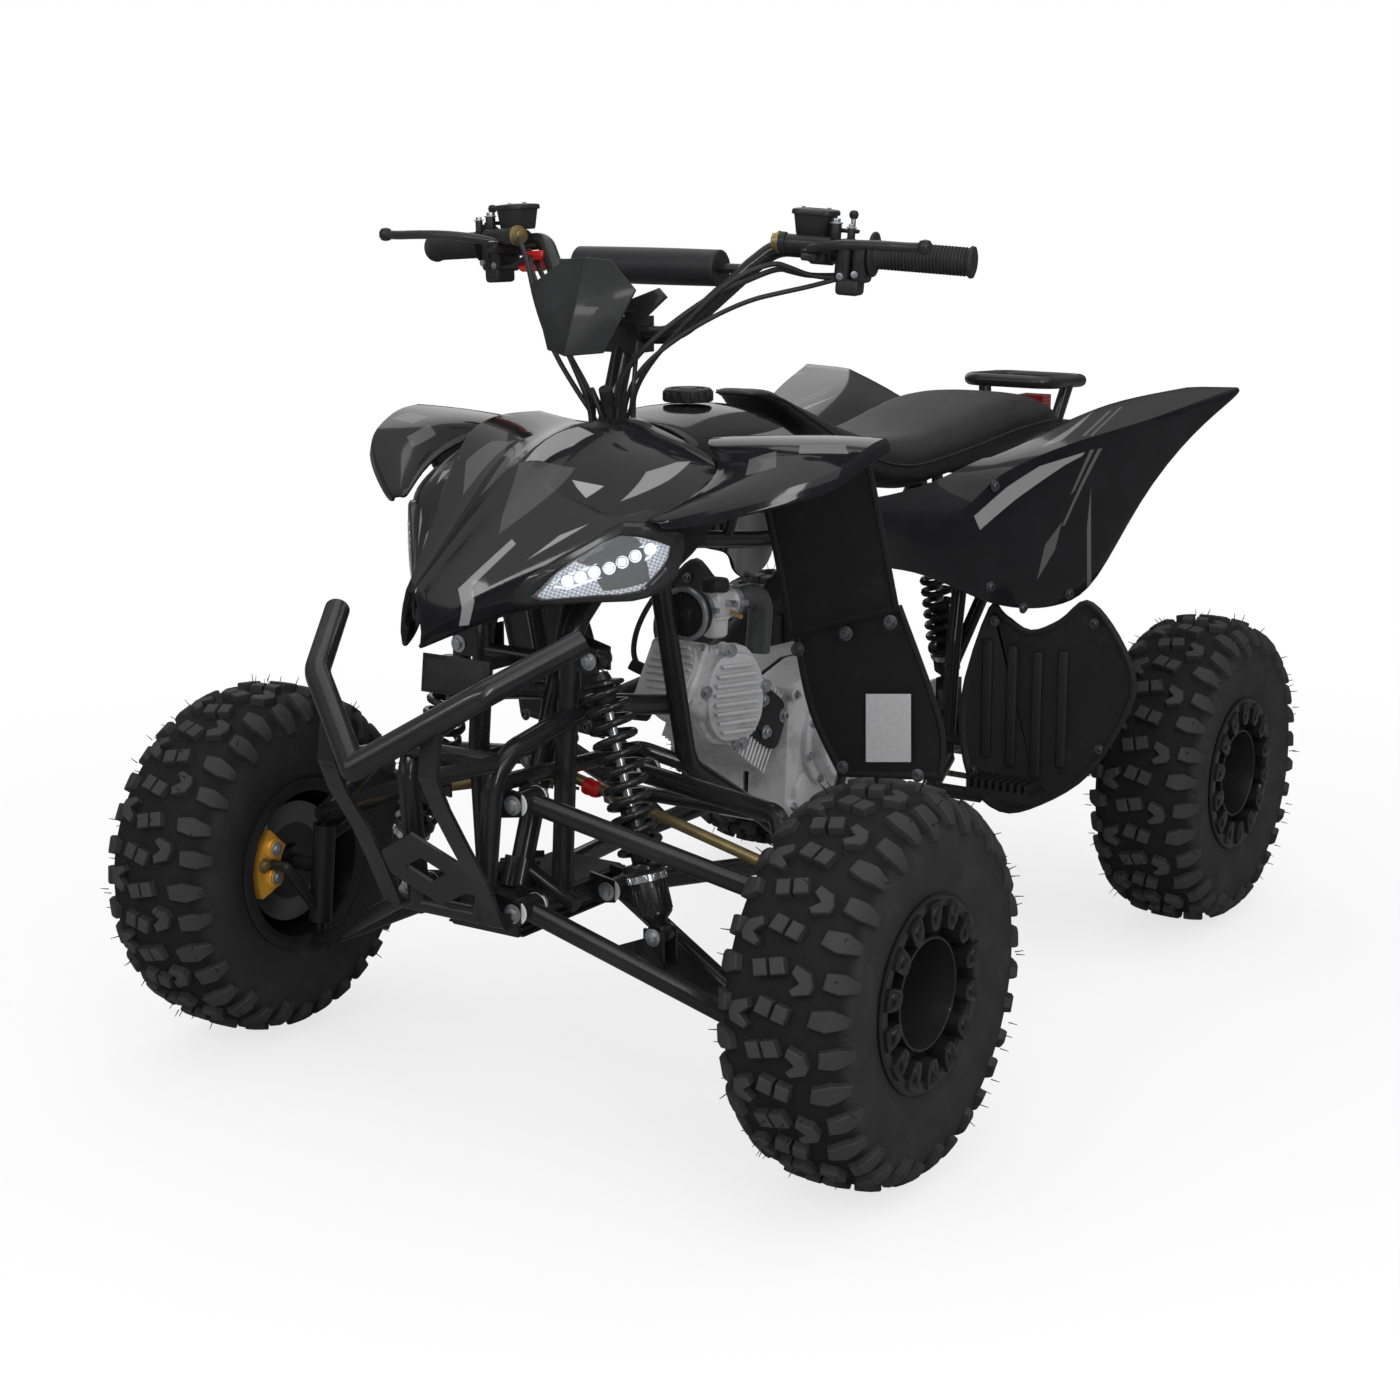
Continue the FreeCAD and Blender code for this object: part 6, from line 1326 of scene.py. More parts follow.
def smooth_rows(rows: Sequence[Sequence[float]], parts: int) -> list[tuple[float, ...]]:
    """Rows with more rows between them, on a smooth curve through all of them."""
    made = []
    last = len(rows) - 1
    for index in range(last):
        four = [rows[max(index - 1, 0)], rows[index], rows[index + 1], rows[min(index + 2, last)]]
        for step in range(parts):
            t = step / parts
            made.append(tuple(0.5 * (2 * q + (r - p) * t + (2 * p - 5 * q + 4 * r - s) * t * t
                                     + (3 * q - p - 3 * r + s) * t ** 3) for p, q, r, s in zip(*four)))
    made.append(tuple(rows[-1]))
    return made


def round_outline(corners: Sequence[Flat], parts: int = 4) -> list[Flat]:
    """A closed outline with smooth corners through its points."""
    ring = list(corners)
    wrapped = [ring[-1]] + ring + ring[:2]
    return smooth_rows(wrapped, parts)[parts:parts + len(ring) * parts]


def both(form: Form) -> Form:
    """The form and its mirror image on the other side."""
    other = Form()
    other.add(form)
    other.add(form, Matrix.Diagonal((-1, 1, 1, 1)))
    return other


@dataclass
class Seat:
    """The saddle: a padded cover over foam, with piping along its sides."""

    rows: tuple[tuple[float, float, float, float], ...] = (
        (-0.148, 0.028, 0.845, 0.838), (-0.110, 0.050, 0.843, 0.829), (-0.030, 0.068, 0.808, 0.779),
        (0.060, 0.088, 0.772, 0.714), (0.162, 0.104, 0.748, 0.684), (0.300, 0.118, 0.758, 0.693),
        (0.450, 0.126, 0.780, 0.703), (0.560, 0.124, 0.780, 0.710), (0.625, 0.106, 0.764, 0.715),
        (0.652, 0.066, 0.742, 0.719),
    )
    shoulder: tuple[Flat, ...] = (
        (0, 1.0), (0.3, 0.995), (0.56, 0.965), (0.76, 0.90), (0.90, 0.78), (0.97, 0.60), (1.0, 0.40), (0.985, 0.2),
        (0.93, 0.05), (0.80, 0.0), (0.4, 0.0),
    )
    cap: float = 0.004
    pressure: float = 4.0
    voxel: float = 0.006
    frames: int = 20
    reach: float = 0.02

    def section(self, row: Sequence[float]) -> list[Vector]:
        """One closed section across the saddle."""
        y, half, top, bottom = row
        right = [station((half * a, y, bottom + (top - bottom) * b)) for a, b in self.shoulder]
        return right + [sided(p, -1) for p in reversed(right[1:])]

    def swell(self, piece: bpy.types.Object) -> None:
        """Lets the cover swell under pressure, no point by more than the cap."""
        start = [v.co.copy() for v in piece.data.vertices]
        cloth = piece.modifiers.new("swell", "CLOTH")
        cloth.settings.use_pressure = True
        cloth.settings.uniform_pressure_force = self.pressure
        cloth.settings.effector_weights.gravity = 0
        scene = bpy.context.scene
        for number in range(1, self.frames + 1):
            scene.frame_set(number)
        graph = bpy.context.evaluated_depsgraph_get()
        moved = bpy.data.meshes.new_from_object(piece.evaluated_get(graph), depsgraph=graph)
        piece.modifiers.remove(cloth)
        scene.frame_set(1)
        for vert, old, new in zip(piece.data.vertices, start, moved.vertices):
            shift = new.co - old
            if shift.length > self.cap:
                shift *= self.cap / shift.length
            vert.co = old + shift
        bpy.data.meshes.remove(moved)

    def apply(self, piece: bpy.types.Object) -> None:
        """Bakes the modifiers of a piece into its mesh."""
        graph = bpy.context.evaluated_depsgraph_get()
        mesh = bpy.data.meshes.new_from_object(piece.evaluated_get(graph), depsgraph=graph)
        piece.modifiers.clear()
        piece.data = mesh

    def groove(self, piece: bpy.types.Object, line: Sequence[Vector], depth: float, width: float) -> None:
        """Pulls the cover in along a seam."""
        for vert in piece.data.vertices:
            close = (point for point in line if abs(point.y - vert.co.y) < self.reach)
            near = min(((vert.co - point).length for point in close), default=1.0)
            if near < width:
                vert.co -= vert.normal * depth * (1 - near / width) ** 0.5

    def build(self) -> None:
        """Makes the cover and its piping in place of the plain saddle."""
        rows = smooth_rows(self.rows, 4)
        form = loft([self.section(row) for row in rows])
        piece = form.object("seat_cover", [SEAT_VINYL], 3.0)
        remesh = piece.modifiers.new("even", "REMESH")
        remesh.mode = "VOXEL"
        remesh.voxel_size = self.voxel
        self.apply(piece)
        even = piece.modifiers.new("even", "SMOOTH")
        even.iterations = 4
        even.factor = 0.5
        self.apply(piece)
        self.swell(piece)
        seams = [[self.on_cover(piece, row, side) for row in rows[3:-1]] for side, _ in SIDES]
        for seam in seams:
            line = [Vector(p) for p in smooth_rows([tuple(p) for p in seam], 3)]
            self.groove(piece, line, 0.002, 0.009)
        smooth = piece.modifiers.new("smooth", "SUBSURF")
        smooth.levels = smooth.render_levels = 1
        shade(piece, 3.0)
        ride(piece, "frame", "seat_vinyl", "seat")
        for (_, word), seam in zip(SIDES, seams):
            piping = hose("seat_piping_" + word, seam, 0.0016, PIPING)
            ride(piping, "frame", "seat_vinyl")

    def on_cover(self, piece: bpy.types.Object, row: Sequence[float], side: int) -> Vector:
        """The seam's place on the cover at one row."""
        y, half, top, bottom = row
        aim = sided(station((half * 0.985, y, bottom + (top - bottom) * 0.5)), side)
        return Vector(piece.closest_point_on_mesh(aim)[1])


@dataclass
class Shield:
    """The folded shield ahead of the bar, a small side wing and its stay."""

    rows: tuple[tuple[Point, ...], ...] = (
        ((0.079, -0.475, 0.990), (0.034, -0.462, 1.023), (0, -0.467, 1.026)),
        ((0.060, -0.481, 0.952), (0.030, -0.482, 0.968), (0, -0.489, 0.968)),
        ((0.042, -0.490, 0.915), (0.021, -0.500, 0.913), (0, -0.512, 0.911)),
    )

    def build(self) -> None:
        """Makes the shield in place of the plain one."""
        loops = []
        for row in self.rows:
            half = stations(row)
            loops.append([sided(p, -1) for p in half] + list(reversed(half[:-1])))
        sheet = loft(loops, capped=False, ring=False).forwards()
        piece = sheet.object("shield_plate", [SHIELD_GREY], 0.25)
        walled(piece, 0.003, 0.0012, 0.2)
        ride(piece, "steering", "shield_grey", "number_shield")
        start, end = station((0, -0.486, 0.968)), station((0, -0.4047, 0.945))
        stay = drum(0.005, 0.0845, 20).shift(towards(end - start, start))
        ride(stay.object("shield_stay", [DARK_STEEL], 0.6), "steering", "shield_grey")
        wing = Form()
        flat = upright(station((0, -0.44, 0)).y)
        outline = ((0.038, 0.951), (0.060, 0.946), (0.102, 0.980), (0.090, 0.991), (0.042, 0.974))
        wing.add(plate(outline, 0.003, 0.001), flat)
        wing.add(block((0.040, 0.016, 0.003), 0.001), Matrix.Translation(station((0.030, -0.448, 0.963))))
        ride(wing.object("shield_wing", [BEZEL_GREY], 0.4), "steering", "shield_grey")


@dataclass
class Lamps:
    """Headlamps in the cowl's side facets: bezel, prism reflector, a row of light domes and a clear cover."""

    start: Point = (0.082, -0.695, 0.652)
    run: Point = (0.664, 0.748, 0.0)
    lens: tuple[Flat, ...] = (
        (-0.0023, 0.0002), (0.014, 0.0133), (0.0317, 0.031), (0.055, 0.0461), (0.0843, 0.0621), (0.1077, 0.0704),
        (0.1311, 0.0671), (0.1511, 0.0617), (0.1664, 0.0552), (0.1628, 0.0391), (0.1485, 0.0223), (0.1307, 0.0056),
        (0.1071, 0.0021), (0.0778, 0.0023), (0.037, 0.0007),
    )
    bezel: tuple[Flat, ...] = (
        (-0.030, -0.001), (-0.018, 0.0131), (0.0028, 0.0299), (0.0377, 0.0491), (0.0727, 0.066), (0.0985, 0.0788),
        (0.1138, 0.0853), (0.1442, 0.0827), (0.1839, 0.0732), (0.1843, 0.0513), (0.176, 0.0205), (0.1604, 0.004),
        (0.1412, -0.0040), (0.1212, -0.0076), (0.0836, -0.0071), (0.0369, -0.0072), (-0.0094, -0.0073),
    )
    lights: tuple[Flat, ...] = (
        (0.0454, 0.02), (0.0606, 0.0239), (0.0769, 0.029), (0.0945, 0.0328), (0.1098, 0.0391), (0.1251, 0.0454),
        (0.1428, 0.0528),
    )
    centre: Flat = (0.10, 0.035)
    count: int = 64

    def axes(self) -> tuple[Vector, Vector]:
        """The lamp's long direction and its outward normal."""
        run = Vector(self.run).normalized()
        return run, Vector((run.y, -run.x, 0))

    def place(self, point: Flat, height: float) -> Vector:
        """A place over the lamp's plane."""
        run, outward = self.axes()
        return station(self.start) + run * point[0] + Vector((0, 0, point[1])) + outward * height

    def between(self, share: float, height: float) -> list[Vector]:
        """A closed line part of the way from the lens outline to the bezel outline."""
        inner = resampled(self.lens, self.centre, self.count)
        outer = resampled(self.bezel, self.centre, self.count)
        points = [(a[0] + (b[0] - a[0]) * share, a[1] + (b[1] - a[1]) * share) for a, b in zip(inner, outer)]
        return [self.place(point, height) for point in points]

    def inward(self, share: float, height: float) -> list[Vector]:
        """A closed line inside the lens outline."""
        inner = resampled(self.lens, self.centre, self.count)
        cx, cy = self.centre
        return [self.place((cx + (x - cx) * share, cy + (y - cy) * share), height) for x, y in inner]

    def build(self) -> None:
        """Makes the pair and hides the plain lamps."""
        rim = loft([self.between(-0.04, -0.004), self.between(0.0, 0.0045), self.between(0.14, 0.0058),
                    self.between(0.7, 0.0052), self.between(0.95, 0.0026), self.between(1.0, -0.003)], capped=False)
        bezel = both(rim).object("lamp_bezels", [BEZEL_GREY], 0.5)
        ride(bezel, "frame", "lamp_lens", "headlamps")
        back = loft([self.inward(1.0, 0.001), self.inward(0.94, -0.0016), self.inward(0.5, -0.002),
                     self.inward(0.02, -0.002)])
        ride(both(back).object("lamp_reflectors", [REFLECTOR], 0.5), "frame", "lamp_lens")
        # The channel strip carries a painted glow round the lights.
        strip = Form()
        _, outward = self.axes()
        first, last = self.lights[0], self.lights[-1]
        channel = []
        for index in range(9):
            share = index / 8
            s = first[0] - 0.016 + (last[0] - first[0] + 0.027) * share
            z = first[1] - 0.005 + (last[1] - first[1] + 0.007) * share ** 1.15
            half = 0.0085 * min(1, 0.25 + share * 6, 0.25 + (1 - share) * 6)
            channel.append([self.place((s + half * 0.25, z - half), 0.0012), self.place((s, z), 0.0006),
                            self.place((s - half * 0.25, z + half), 0.0012)])
        strip.add(loft(channel, capped=False, ring=False))
        ride(both(strip).object("lamp_channels", [CHANNEL_PAINTED_GLOW], 0.5), "frame", "lamp_lens")
        domes = Form()
        cup = lathe([(0.0076, 0.0), (0.0082, 0.0020), (0.0074, 0.0030), (0.0056, 0.0012), (0.0054, 0.0)], 24)
        dome = lathe([(0.0, 0.0046), (0.0022, 0.0042), (0.0040, 0.0030), (0.0050, 0.0010), (0.0050, 0.0)], 20)
        for point in self.lights:
            matrix = towards(outward, self.place(point, 0.0006))
            domes.add(cup, matrix, 1)
            domes.add(dome, matrix, 0)
        ride(both(domes).object("lamp_lights", [LED, CHROME], 0.8), "frame", "lamp_lens")
        cover = loft([self.inward(1.0, 0.0042), self.inward(0.97, 0.0058), self.inward(0.8, 0.0066),
                      self.inward(0.4, 0.0072), self.inward(0.02, 0.0072)])
        ride(both(cover).object("lamp_covers", [CLEAR], 0.8), "frame", "lamp_lens")


@dataclass
class Controls:
    """Grips, switch housings, hand brakes and their reservoirs on both bar ends."""

    tip: Point = (0.409, -0.254, 1.021)
    bend: Point = (0.1755, -0.3155, 1.0366)
    lever: tuple[Point, ...] = (
        (0.2300, -0.342, 1.034), (0.258, -0.356, 1.040), (0.300, -0.3655, 1.0435), (0.350, -0.366, 1.043),
        (0.388, -0.361, 1.041), (0.404, -0.362, 1.042),
    )
    tank: tuple[Flat, ...] = (
        (0.021, 0.016), (0.0215, 0), (0.021, -0.016), (0.012, -0.0245), (-0.012, -0.0245), (-0.019, -0.016),
        (-0.019, 0.016), (-0.012, 0.0245), (0.012, 0.0245),
    )
    lid: tuple[Flat, ...] = (
        (0.022, 0.017), (0.0225, 0), (0.022, -0.017), (0.013, -0.0255), (-0.013, -0.0255), (-0.020, -0.017),
        (-0.020, 0.017), (-0.013, 0.0255), (0.013, 0.0255),
    )

    def frame_at(self, distance: float, side: int, forward: float = 0, up: float = 0) -> Matrix:
        """Local axes on the bar: x forward, y up, z inwards (mirrored on the right)."""
        tip, bend = station(self.tip), station(self.bend)
        inward = (bend - tip).normalized()
        y = (Vector((0, 0, 1)) - inward * inward.z).normalized()
        x = y.cross(inward)
        matrix = Matrix((x, y, inward)).transposed().to_4x4()
        matrix.translation = tip + inward * distance + x * forward + y * up
        return matrix if side > 0 else Matrix.Diagonal((-1, 1, 1, 1)) @ matrix

    def grip(self) -> Form:
        """A ribbed grip with its flanges, from the tip inwards."""
        profile = [(0.0, -0.003), (0.0145, -0.003), (0.0185, -0.0015), (0.0192, 0.002), (0.0168, 0.005)]
        place = 0.007
        while place < 0.110:
            profile += [(0.0158, place), (0.0172, place + 0.0008), (0.0172, place + 0.0026), (0.0158, place + 0.0034)]
            place += 0.0042
        profile += [(0.0172, 0.1125), (0.0180, 0.116), (0.0262, 0.1185), (0.0270, 0.1205), (0.0262, 0.1225),
                    (0.0150, 0.1235)]
        return lathe(profile, 40)

    def switch(self) -> Form:
        """The two-part switch housing, its buttons and the clamp screws."""
        form = Form()
        form.add(block((0.038, 0.050, 0.0185), 0.006, 3), move(0, -0.010, 0.0095), 0)
        form.add(block((0.040, 0.052, 0.0190), 0.006, 3), move(0, -0.010, 0.0300), 0)
        form.add(block((0.030, 0.020, 0.030), 0.005, 3), move(0.004, -0.040, 0.022), 0)
        form.add(block((0.006, 0.014, 0.008), 0.0015), move(-0.0205, 0.004, 0.012), 2)
        form.add(block((0.008, 0.008, 0.012), 0.002), move(-0.021, -0.012, 0.026), 1)
        form.add(drum(0.0042, 0.006, 16, 0.0008), move(0.020, -0.024, 0.012) @ quarter("Y"), 1)
        for y in (0.008, -0.028):
            form.add(bolt(0.0028, 0.003), move(0.0195, y, 0.031) @ quarter("Y"), 1)
        return form

    @staticmethod
    def stacked(corners: Sequence[Flat], steps: Sequence[Flat]) -> Form:
        """A rounded outline in x and z, stacked along y at several (scale, height) steps."""
        outline = round_outline(corners, 3)
        return loft([[Vector((x * scale, height, z * scale)) for x, z in outline] for scale, height in steps])

    def perch(self) -> Form:
        """Brake perch: clamp round the bar, master cylinder and its filled reservoir with a lid."""
        form = Form()
        clamp = [(0.0112, 0.0), (0.0165, 0.0), (0.0172, 0.0015), (0.0172, 0.0265), (0.0165, 0.028), (0.0112, 0.028)]
        form.add(lathe(clamp, 28, closed=True), move(0, 0, 0.002), 0)
        form.add(block((0.022, 0.030, 0.024), 0.004, 2), move(0.022, 0.002, 0.016), 0)
        form.add(drum(0.0105, 0.064, 24, 0.0015), move(0.034, 0.008, -0.004), 0)
        form.add(drum(0.0125, 0.010, 24, 0.0015), move(0.034, 0.008, 0.052), 0)
        form.add(bolt(0.0085, 0.010, False), move(0.034, 0.008, 0.060), 1)
        union = [(0.006, -0.004), (0.0098, -0.004), (0.0105, 0), (0.0098, 0.004), (0.006, 0.004)]
        form.add(lathe(union, 20, closed=True), move(0.034, 0.008, 0.065), 1)
        seat = move(0.006, 0.0165, 0.026)
        form.add(self.stacked(self.tank, ((0.80, 0.0), (0.84, 0.003), (0.97, 0.024), (0.98, 0.025))), seat, 0)
        form.add(self.stacked(self.lid, ((0.98, 0.025), (1.03, 0.0255), (1.04, 0.0285), (1.0, 0.0310), (0.90, 0.0318),
                                         (0.60, 0.0325), (0.56, 0.0318), (0.3, 0.0318))), seat, 0)
        for z in (-0.016, 0.016):
            form.add(bolt(0.0026, 0.0022), move(0.006, 0.0482, 0.026 + z) @ quarter("X", -1), 2)
        form.add(block((0.018, 0.010, 0.020), 0.003), move(0.040, -0.006, 0.020), 0)
        form.add(bolt(0.0055, 0.004), move(0.044, 0.0015, 0.020) @ quarter("X", -1), 2)
        return form

    def extras(self) -> Form:
        """Clamp screws, choke lever and mirror bosses beside the reservoir."""
        form = Form()
        stood = quarter("X", -1)
        form.add(drum(0.0065, 0.022, 18, 0.001), move(0.026, 0.012, -0.006) @ stood, 0)
        form.add(bolt(0.0050, 0.006, False), move(0.026, 0.034, -0.006) @ stood, 2)
        form.add(drum(0.0030, 0.030, 14), move(0.010, 0.012, -0.022) @ stood, 2)
        form.add(lathe([(0, 0.0105), (0.0040, 0.0095), (0.0058, 0.006), (0.0050, 0.0015), (0.0030, 0)], 18),
                 move(0.010, 0.040, -0.022) @ stood, 0)
        form.add(block((0.010, 0.005, 0.030), 0.002), move(0.014, 0.026, -0.016), 0)
        form.add(drum(0.0048, 0.020, 14, 0.001), move(0.030, 0.010, -0.026) @ stood, 0)
        form.add(bolt(0.0040, 0.005, False), move(0.030, 0.030, -0.026) @ stood, 2)
        return form

    def build(self) -> None:
        """Makes both sides."""
        grips, boxes, brakes = Form(), Form(), Form()
        for side, word in SIDES:
            grips.add(self.grip(), self.frame_at(0, side))
            boxes.add(self.switch(), self.frame_at(0.1245, side))
            brakes.add(self.perch(), self.frame_at(0.168, side))
            brakes.add(self.extras(), self.frame_at(0.168, side))
            points = [sided(station(p), side) for p in self.lever]
            blade = hose("brake_lever_" + word, points, 0.0058, LEVER_BLACK, sides=6)
            ride(blade, "steering", "control_black")
            knob = lathe([(0, -0.009), (0.006, -0.0075), (0.0088, -0.003), (0.0088, 0.003), (0.006, 0.0075),
                          (0, 0.009)], 20)
            brakes.add(knob, Matrix.Translation(points[-1]), 0)
        ride(grips.object("grips_ribbed", [GRIP], 0.6), "steering", "grip_rubber", "grips")
        ride(boxes.object("switch_housings", [PLASTIC, STEEL, RED_PLASTIC], 0.6), "steering", "matte_black",
             "switch_boxes")
        ride(brakes.object("hand_brakes", [CONTROL_BLACK, YELLOW_ZINC, STEEL], 0.6), "steering", "control_black",
             "brake_controls")
        self.red_parts()
        self.pad()

    def red_parts(self) -> None:
        """The red cut-off lanyard socket and its clip on the right of the bar."""
        form = Form()
        form.add(block((0.020, 0.024, 0.030), 0.004, 3), self.frame_at(0.222, -1, 0.004, -0.026))
        form.add(block((0.014, 0.012, 0.042), 0.004, 3), self.frame_at(0.240, -1, 0.016, -0.018))
        form.add(drum(0.008, 0.012, 18, 0.002), self.frame_at(0.198, -1, 0.006, -0.030))
        ride(form.object("cut_off_switch", [RED_PLASTIC], 0.6), "steering", "control_black")

    def pad(self) -> None:
        """The soft pad round the crossbar, with sewn ends and a lacing line behind."""
        low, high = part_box("crash_pad")
        middle = (low + high) / 2
        half = (high.x - low.x) / 2
        profile = [(0.0064, half - 0.004), (0.016, half - 0.003), (0.0205, half - 0.002), (0.0222, half - 0.005)]
        inner = [(0.0222 + 0.0006 * math.sin(math.pi * k / 12), half * (1 - k / 6) * 0.955) for k in range(13)]
        profile += inner + [(r, -h) for r, h in reversed(profile[:4])]
        form = lathe(profile, 48, closed=True)
        form.shift(Matrix.Translation(middle) @ quarter("Y"))
        piece = form.object("pad_cover", [PAD_VINYL], 1.2)
        ride(piece, "steering", "pad_vinyl", "crash_pad")
        line = [middle + Vector((half * 0.93 * (k / 6 - 1), 0.0205, 0.0105)) for k in range(13)]
        seam = hose("pad_seam", line, 0.0012, PIPING)
        ride(seam, "steering", "pad_vinyl")
        for side, word in SIDES:
            ring = lathe([(0.0205, -0.0012), (0.0222, 0.0), (0.0205, 0.0012)], 48, closed=True)
            ring.shift(Matrix.Translation(middle + Vector((side * (half - 0.0035), 0, 0))) @ quarter("Y"))
            ride(ring.object("pad_ring_" + word, [PIPING], 1.2), "steering", "pad_vinyl")


@dataclass
class Engine:
    """Small leaning single: crankcase, covers, finned cylinder, carburettor and horn."""

    case: tuple[Flat, ...] = (
        (-0.115, 0.262), (-0.105, 0.440), (-0.020, 0.462), (0.120, 0.455), (0.175, 0.400), (0.165, 0.300),
        (0.120, 0.2453), (-0.080, 0.2453),
    )
    lugs: tuple[Flat, ...] = (
        (-0.098, 0.430), (-0.030, 0.452), (0.110, 0.445), (0.160, 0.395), (0.150, 0.305), (0.110, 0.258),
        (-0.075, 0.258), (-0.105, 0.275),
    )
    root: Point = (0, -0.105, 0.365)
    crown: Point = (0, -0.225, 0.445)
    cover_place: Flat = (-0.010, 0.352)
    horn_place: Point = (0.112, -0.4258, 0.596)

    def side_plate(self, outline: Sequence[Flat], thick: float, x: float, width: float) -> Form:
        """A plate drawn as (y, z) stations, standing outwards (+x) from a distance off the middle."""
        form = plate([(y + MID, z) for y, z in outline], thick, width)
        return form.shift(abreast(x))

    def ring_bolts(self, form: Form, radius: float, count: int, x: float, size: float, side: int = 1) -> None:
        """Bolts round a side cover."""
        y, z = self.cover_place
        for index in range(count):
            angle = math.tau * (index + 0.3) / count
            place = Vector((side * x, y + MID + radius * math.cos(angle), z + radius * math.sin(angle)))
            form.add(bolt(size, size * 1.1, False), towards(Vector((side, 0, 0)), place), 2)

    def crankcase(self) -> Form:
        """The case in two halves with a joint line, its ribs and the round side covers."""
        form = Form()
        outline = list(reversed(self.case))
        form.add(self.side_plate(outline, 0.0655, 0.0015, 0.009), slot=0)
        form.add(self.side_plate(outline, 0.0655, -0.067, 0.009), slot=0)
        inner = [(y * 0.985 + 0.0004, 0.352 + (z - 0.352) * 0.985) for y, z in outline]
        form.add(self.side_plate(inner, 0.003, -0.0015, 0), slot=1)
        y, z = self.cover_place
        dome = [(0.0, 0.030), (0.018, 0.030), (0.020, 0.0275), (0.030, 0.0270), (0.034, 0.0295), (0.042, 0.0290),
                (0.050, 0.0255), (0.0535, 0.0195), (0.0545, 0.006), (0.0635, 0.005), (0.0655, 0.003), (0.0655, -0.006)]
        for side in (1, -1):
            matrix = towards(Vector((side, 0, 0)), Vector((side * 0.072, y + MID, z)))
            form.add(lathe(dome, 56), matrix, 0)
            self.ring_bolts(form, 0.0595, 8, 0.0768, 0.0042, side)
            form.ring(block((0.020, 0.003, 0.006), 0.001), 6, matrix, move(0.044, 0, 0.0275), 0)
            form.add(bolt(0.011, 0.006), matrix @ move(0, 0, 0.029), 2)
        flank = [(-0.100, 0.270), (-0.098, 0.300), (-0.080, 0.318), (-0.060, 0.300), (-0.060, 0.262), (-0.085, 0.256)]
        form.add(self.side_plate(list(reversed(flank)), 0.010, 0.066, 0.003), slot=0)
        lug = drum(0.010, 0.012, 20, 0.002)
        for py, pz in self.lugs:
            place = Vector((0.062, py + MID, pz))
            form.add(lug, towards(Axis.ACROSS.value, place), 0)
            form.add(bolt(0.0042, 0.005, False), towards(Axis.ACROSS.value, place + Vector((0.012, 0, 0))), 2)
        for index in range(7):
            py = -0.085 + index * 0.030
            form.add(block((0.120, 0.003, 0.014), 0.001), move(0, py + MID, 0.2465), 0)
        shaft = towards(Axis.ACROSS.value, Vector((0.060, 0.110 + MID, 0.325)))
        form.add(drum(0.010, 0.0205, 20, 0.001), shaft, 2)
        form.add(self.teeth(0.0215, 11, 0.005), shaft @ move(0, 0, 0.0155), 2)
        form.add(bolt(0.007, 0.004, False), shaft @ move(0, 0, 0.0205), 2)
        return form

    def teeth(self, radius: float, count: int, thick: float) -> Form:
        """A small toothed wheel centred on its thickness."""
        outline = []
        for index in range(count):
            for share, reach in ((0.0, 0.86), (0.3, 0.88), (0.42, 1.0), (0.58, 1.0), (0.7, 0.88)):
                angle = math.tau * (index + share) / count
                outline.append((radius * reach * math.cos(angle), radius * reach * math.sin(angle)))
        return plate(outline, thick).shift(move(0, 0, -thick / 2))

    def cylinder(self) -> Form:
        """Barrel with rounded fins, the head with its ribbed cap and the black side cover."""
        start, end = station(self.root), station(self.crown)
        lean = towards(end - start, start)
        length = (end - start).length
        form = Form()
        form.add(drum(0.043, length * 1.05, 48), lean, 0)
        fin = block((0.110, 0.112, 0.0026), 0.0012, 1)
        for index in range(2, 14):
            form.add(fin, lean @ move(0, 0, index * 0.0090), 0)
        form.add(block((0.092, 0.092, length * 0.60), 0.010, 3), lean @ move(0, 0, length * 1.27), 0)
        for x in (-0.036, 0.036):
            for y in (-0.036, 0.036):
                form.add(drum(0.009, length * 1.52, 16, 0.002), lean @ move(x, y, 0), 0)
                form.add(bolt(0.0062, 0.007, False), lean @ move(x, y, length * 1.52), 2)
        cap = lean @ move(0.004, 0, length * 1.56)
        oval = round_outline([(0.036, 0.0), (0.026, 0.033), (0, 0.038), (-0.026, 0.033), (-0.036, 0), (-0.026, -0.033),
                              (0, -0.038), (0.026, -0.033)], 4)
        form.add(plate(oval, 0.008, 0.003), cap, 0)
        for index in range(7):
            reach = (index - 3) * 0.0098
            wide = 2 * 0.034 * math.sqrt(max(0.12, 1 - (reach / 0.039) ** 2))
            form.add(block((wide, 0.0038, 0.009), 0.0012), cap @ move(0, reach, 0.011), 0)
        side = lean @ move(0.045, 0.012, length * 0.42) @ quarter("Y")
        cover = round_outline([(0.046, 0.030), (0.050, 0), (0.046, -0.030), (0.0, -0.036), (-0.046, -0.030),
                               (-0.050, 0), (-0.046, 0.030), (0, 0.036)], 3)
        form.add(plate(cover, 0.014, 0.004), side, 1)
        form.add(plate([(x * 0.72, y * 0.72) for x, y in cover], 0.005, 0.002), side @ move(0, 0, 0.013), 1)
        for x, y in ((0.030, 0.014), (-0.028, 0.012), (0.002, -0.022)):
            form.add(bolt(0.0062, 0.006), side @ move(x, y, 0.018), 2)
        self.ribbed_cover(form)
        plug = lean @ move(-0.046, 0.0, length * 1.22) @ quarter("Y", -1)
        form.add(drum(0.0085, 0.010, 6, 0.001), plug, 2)
        return form

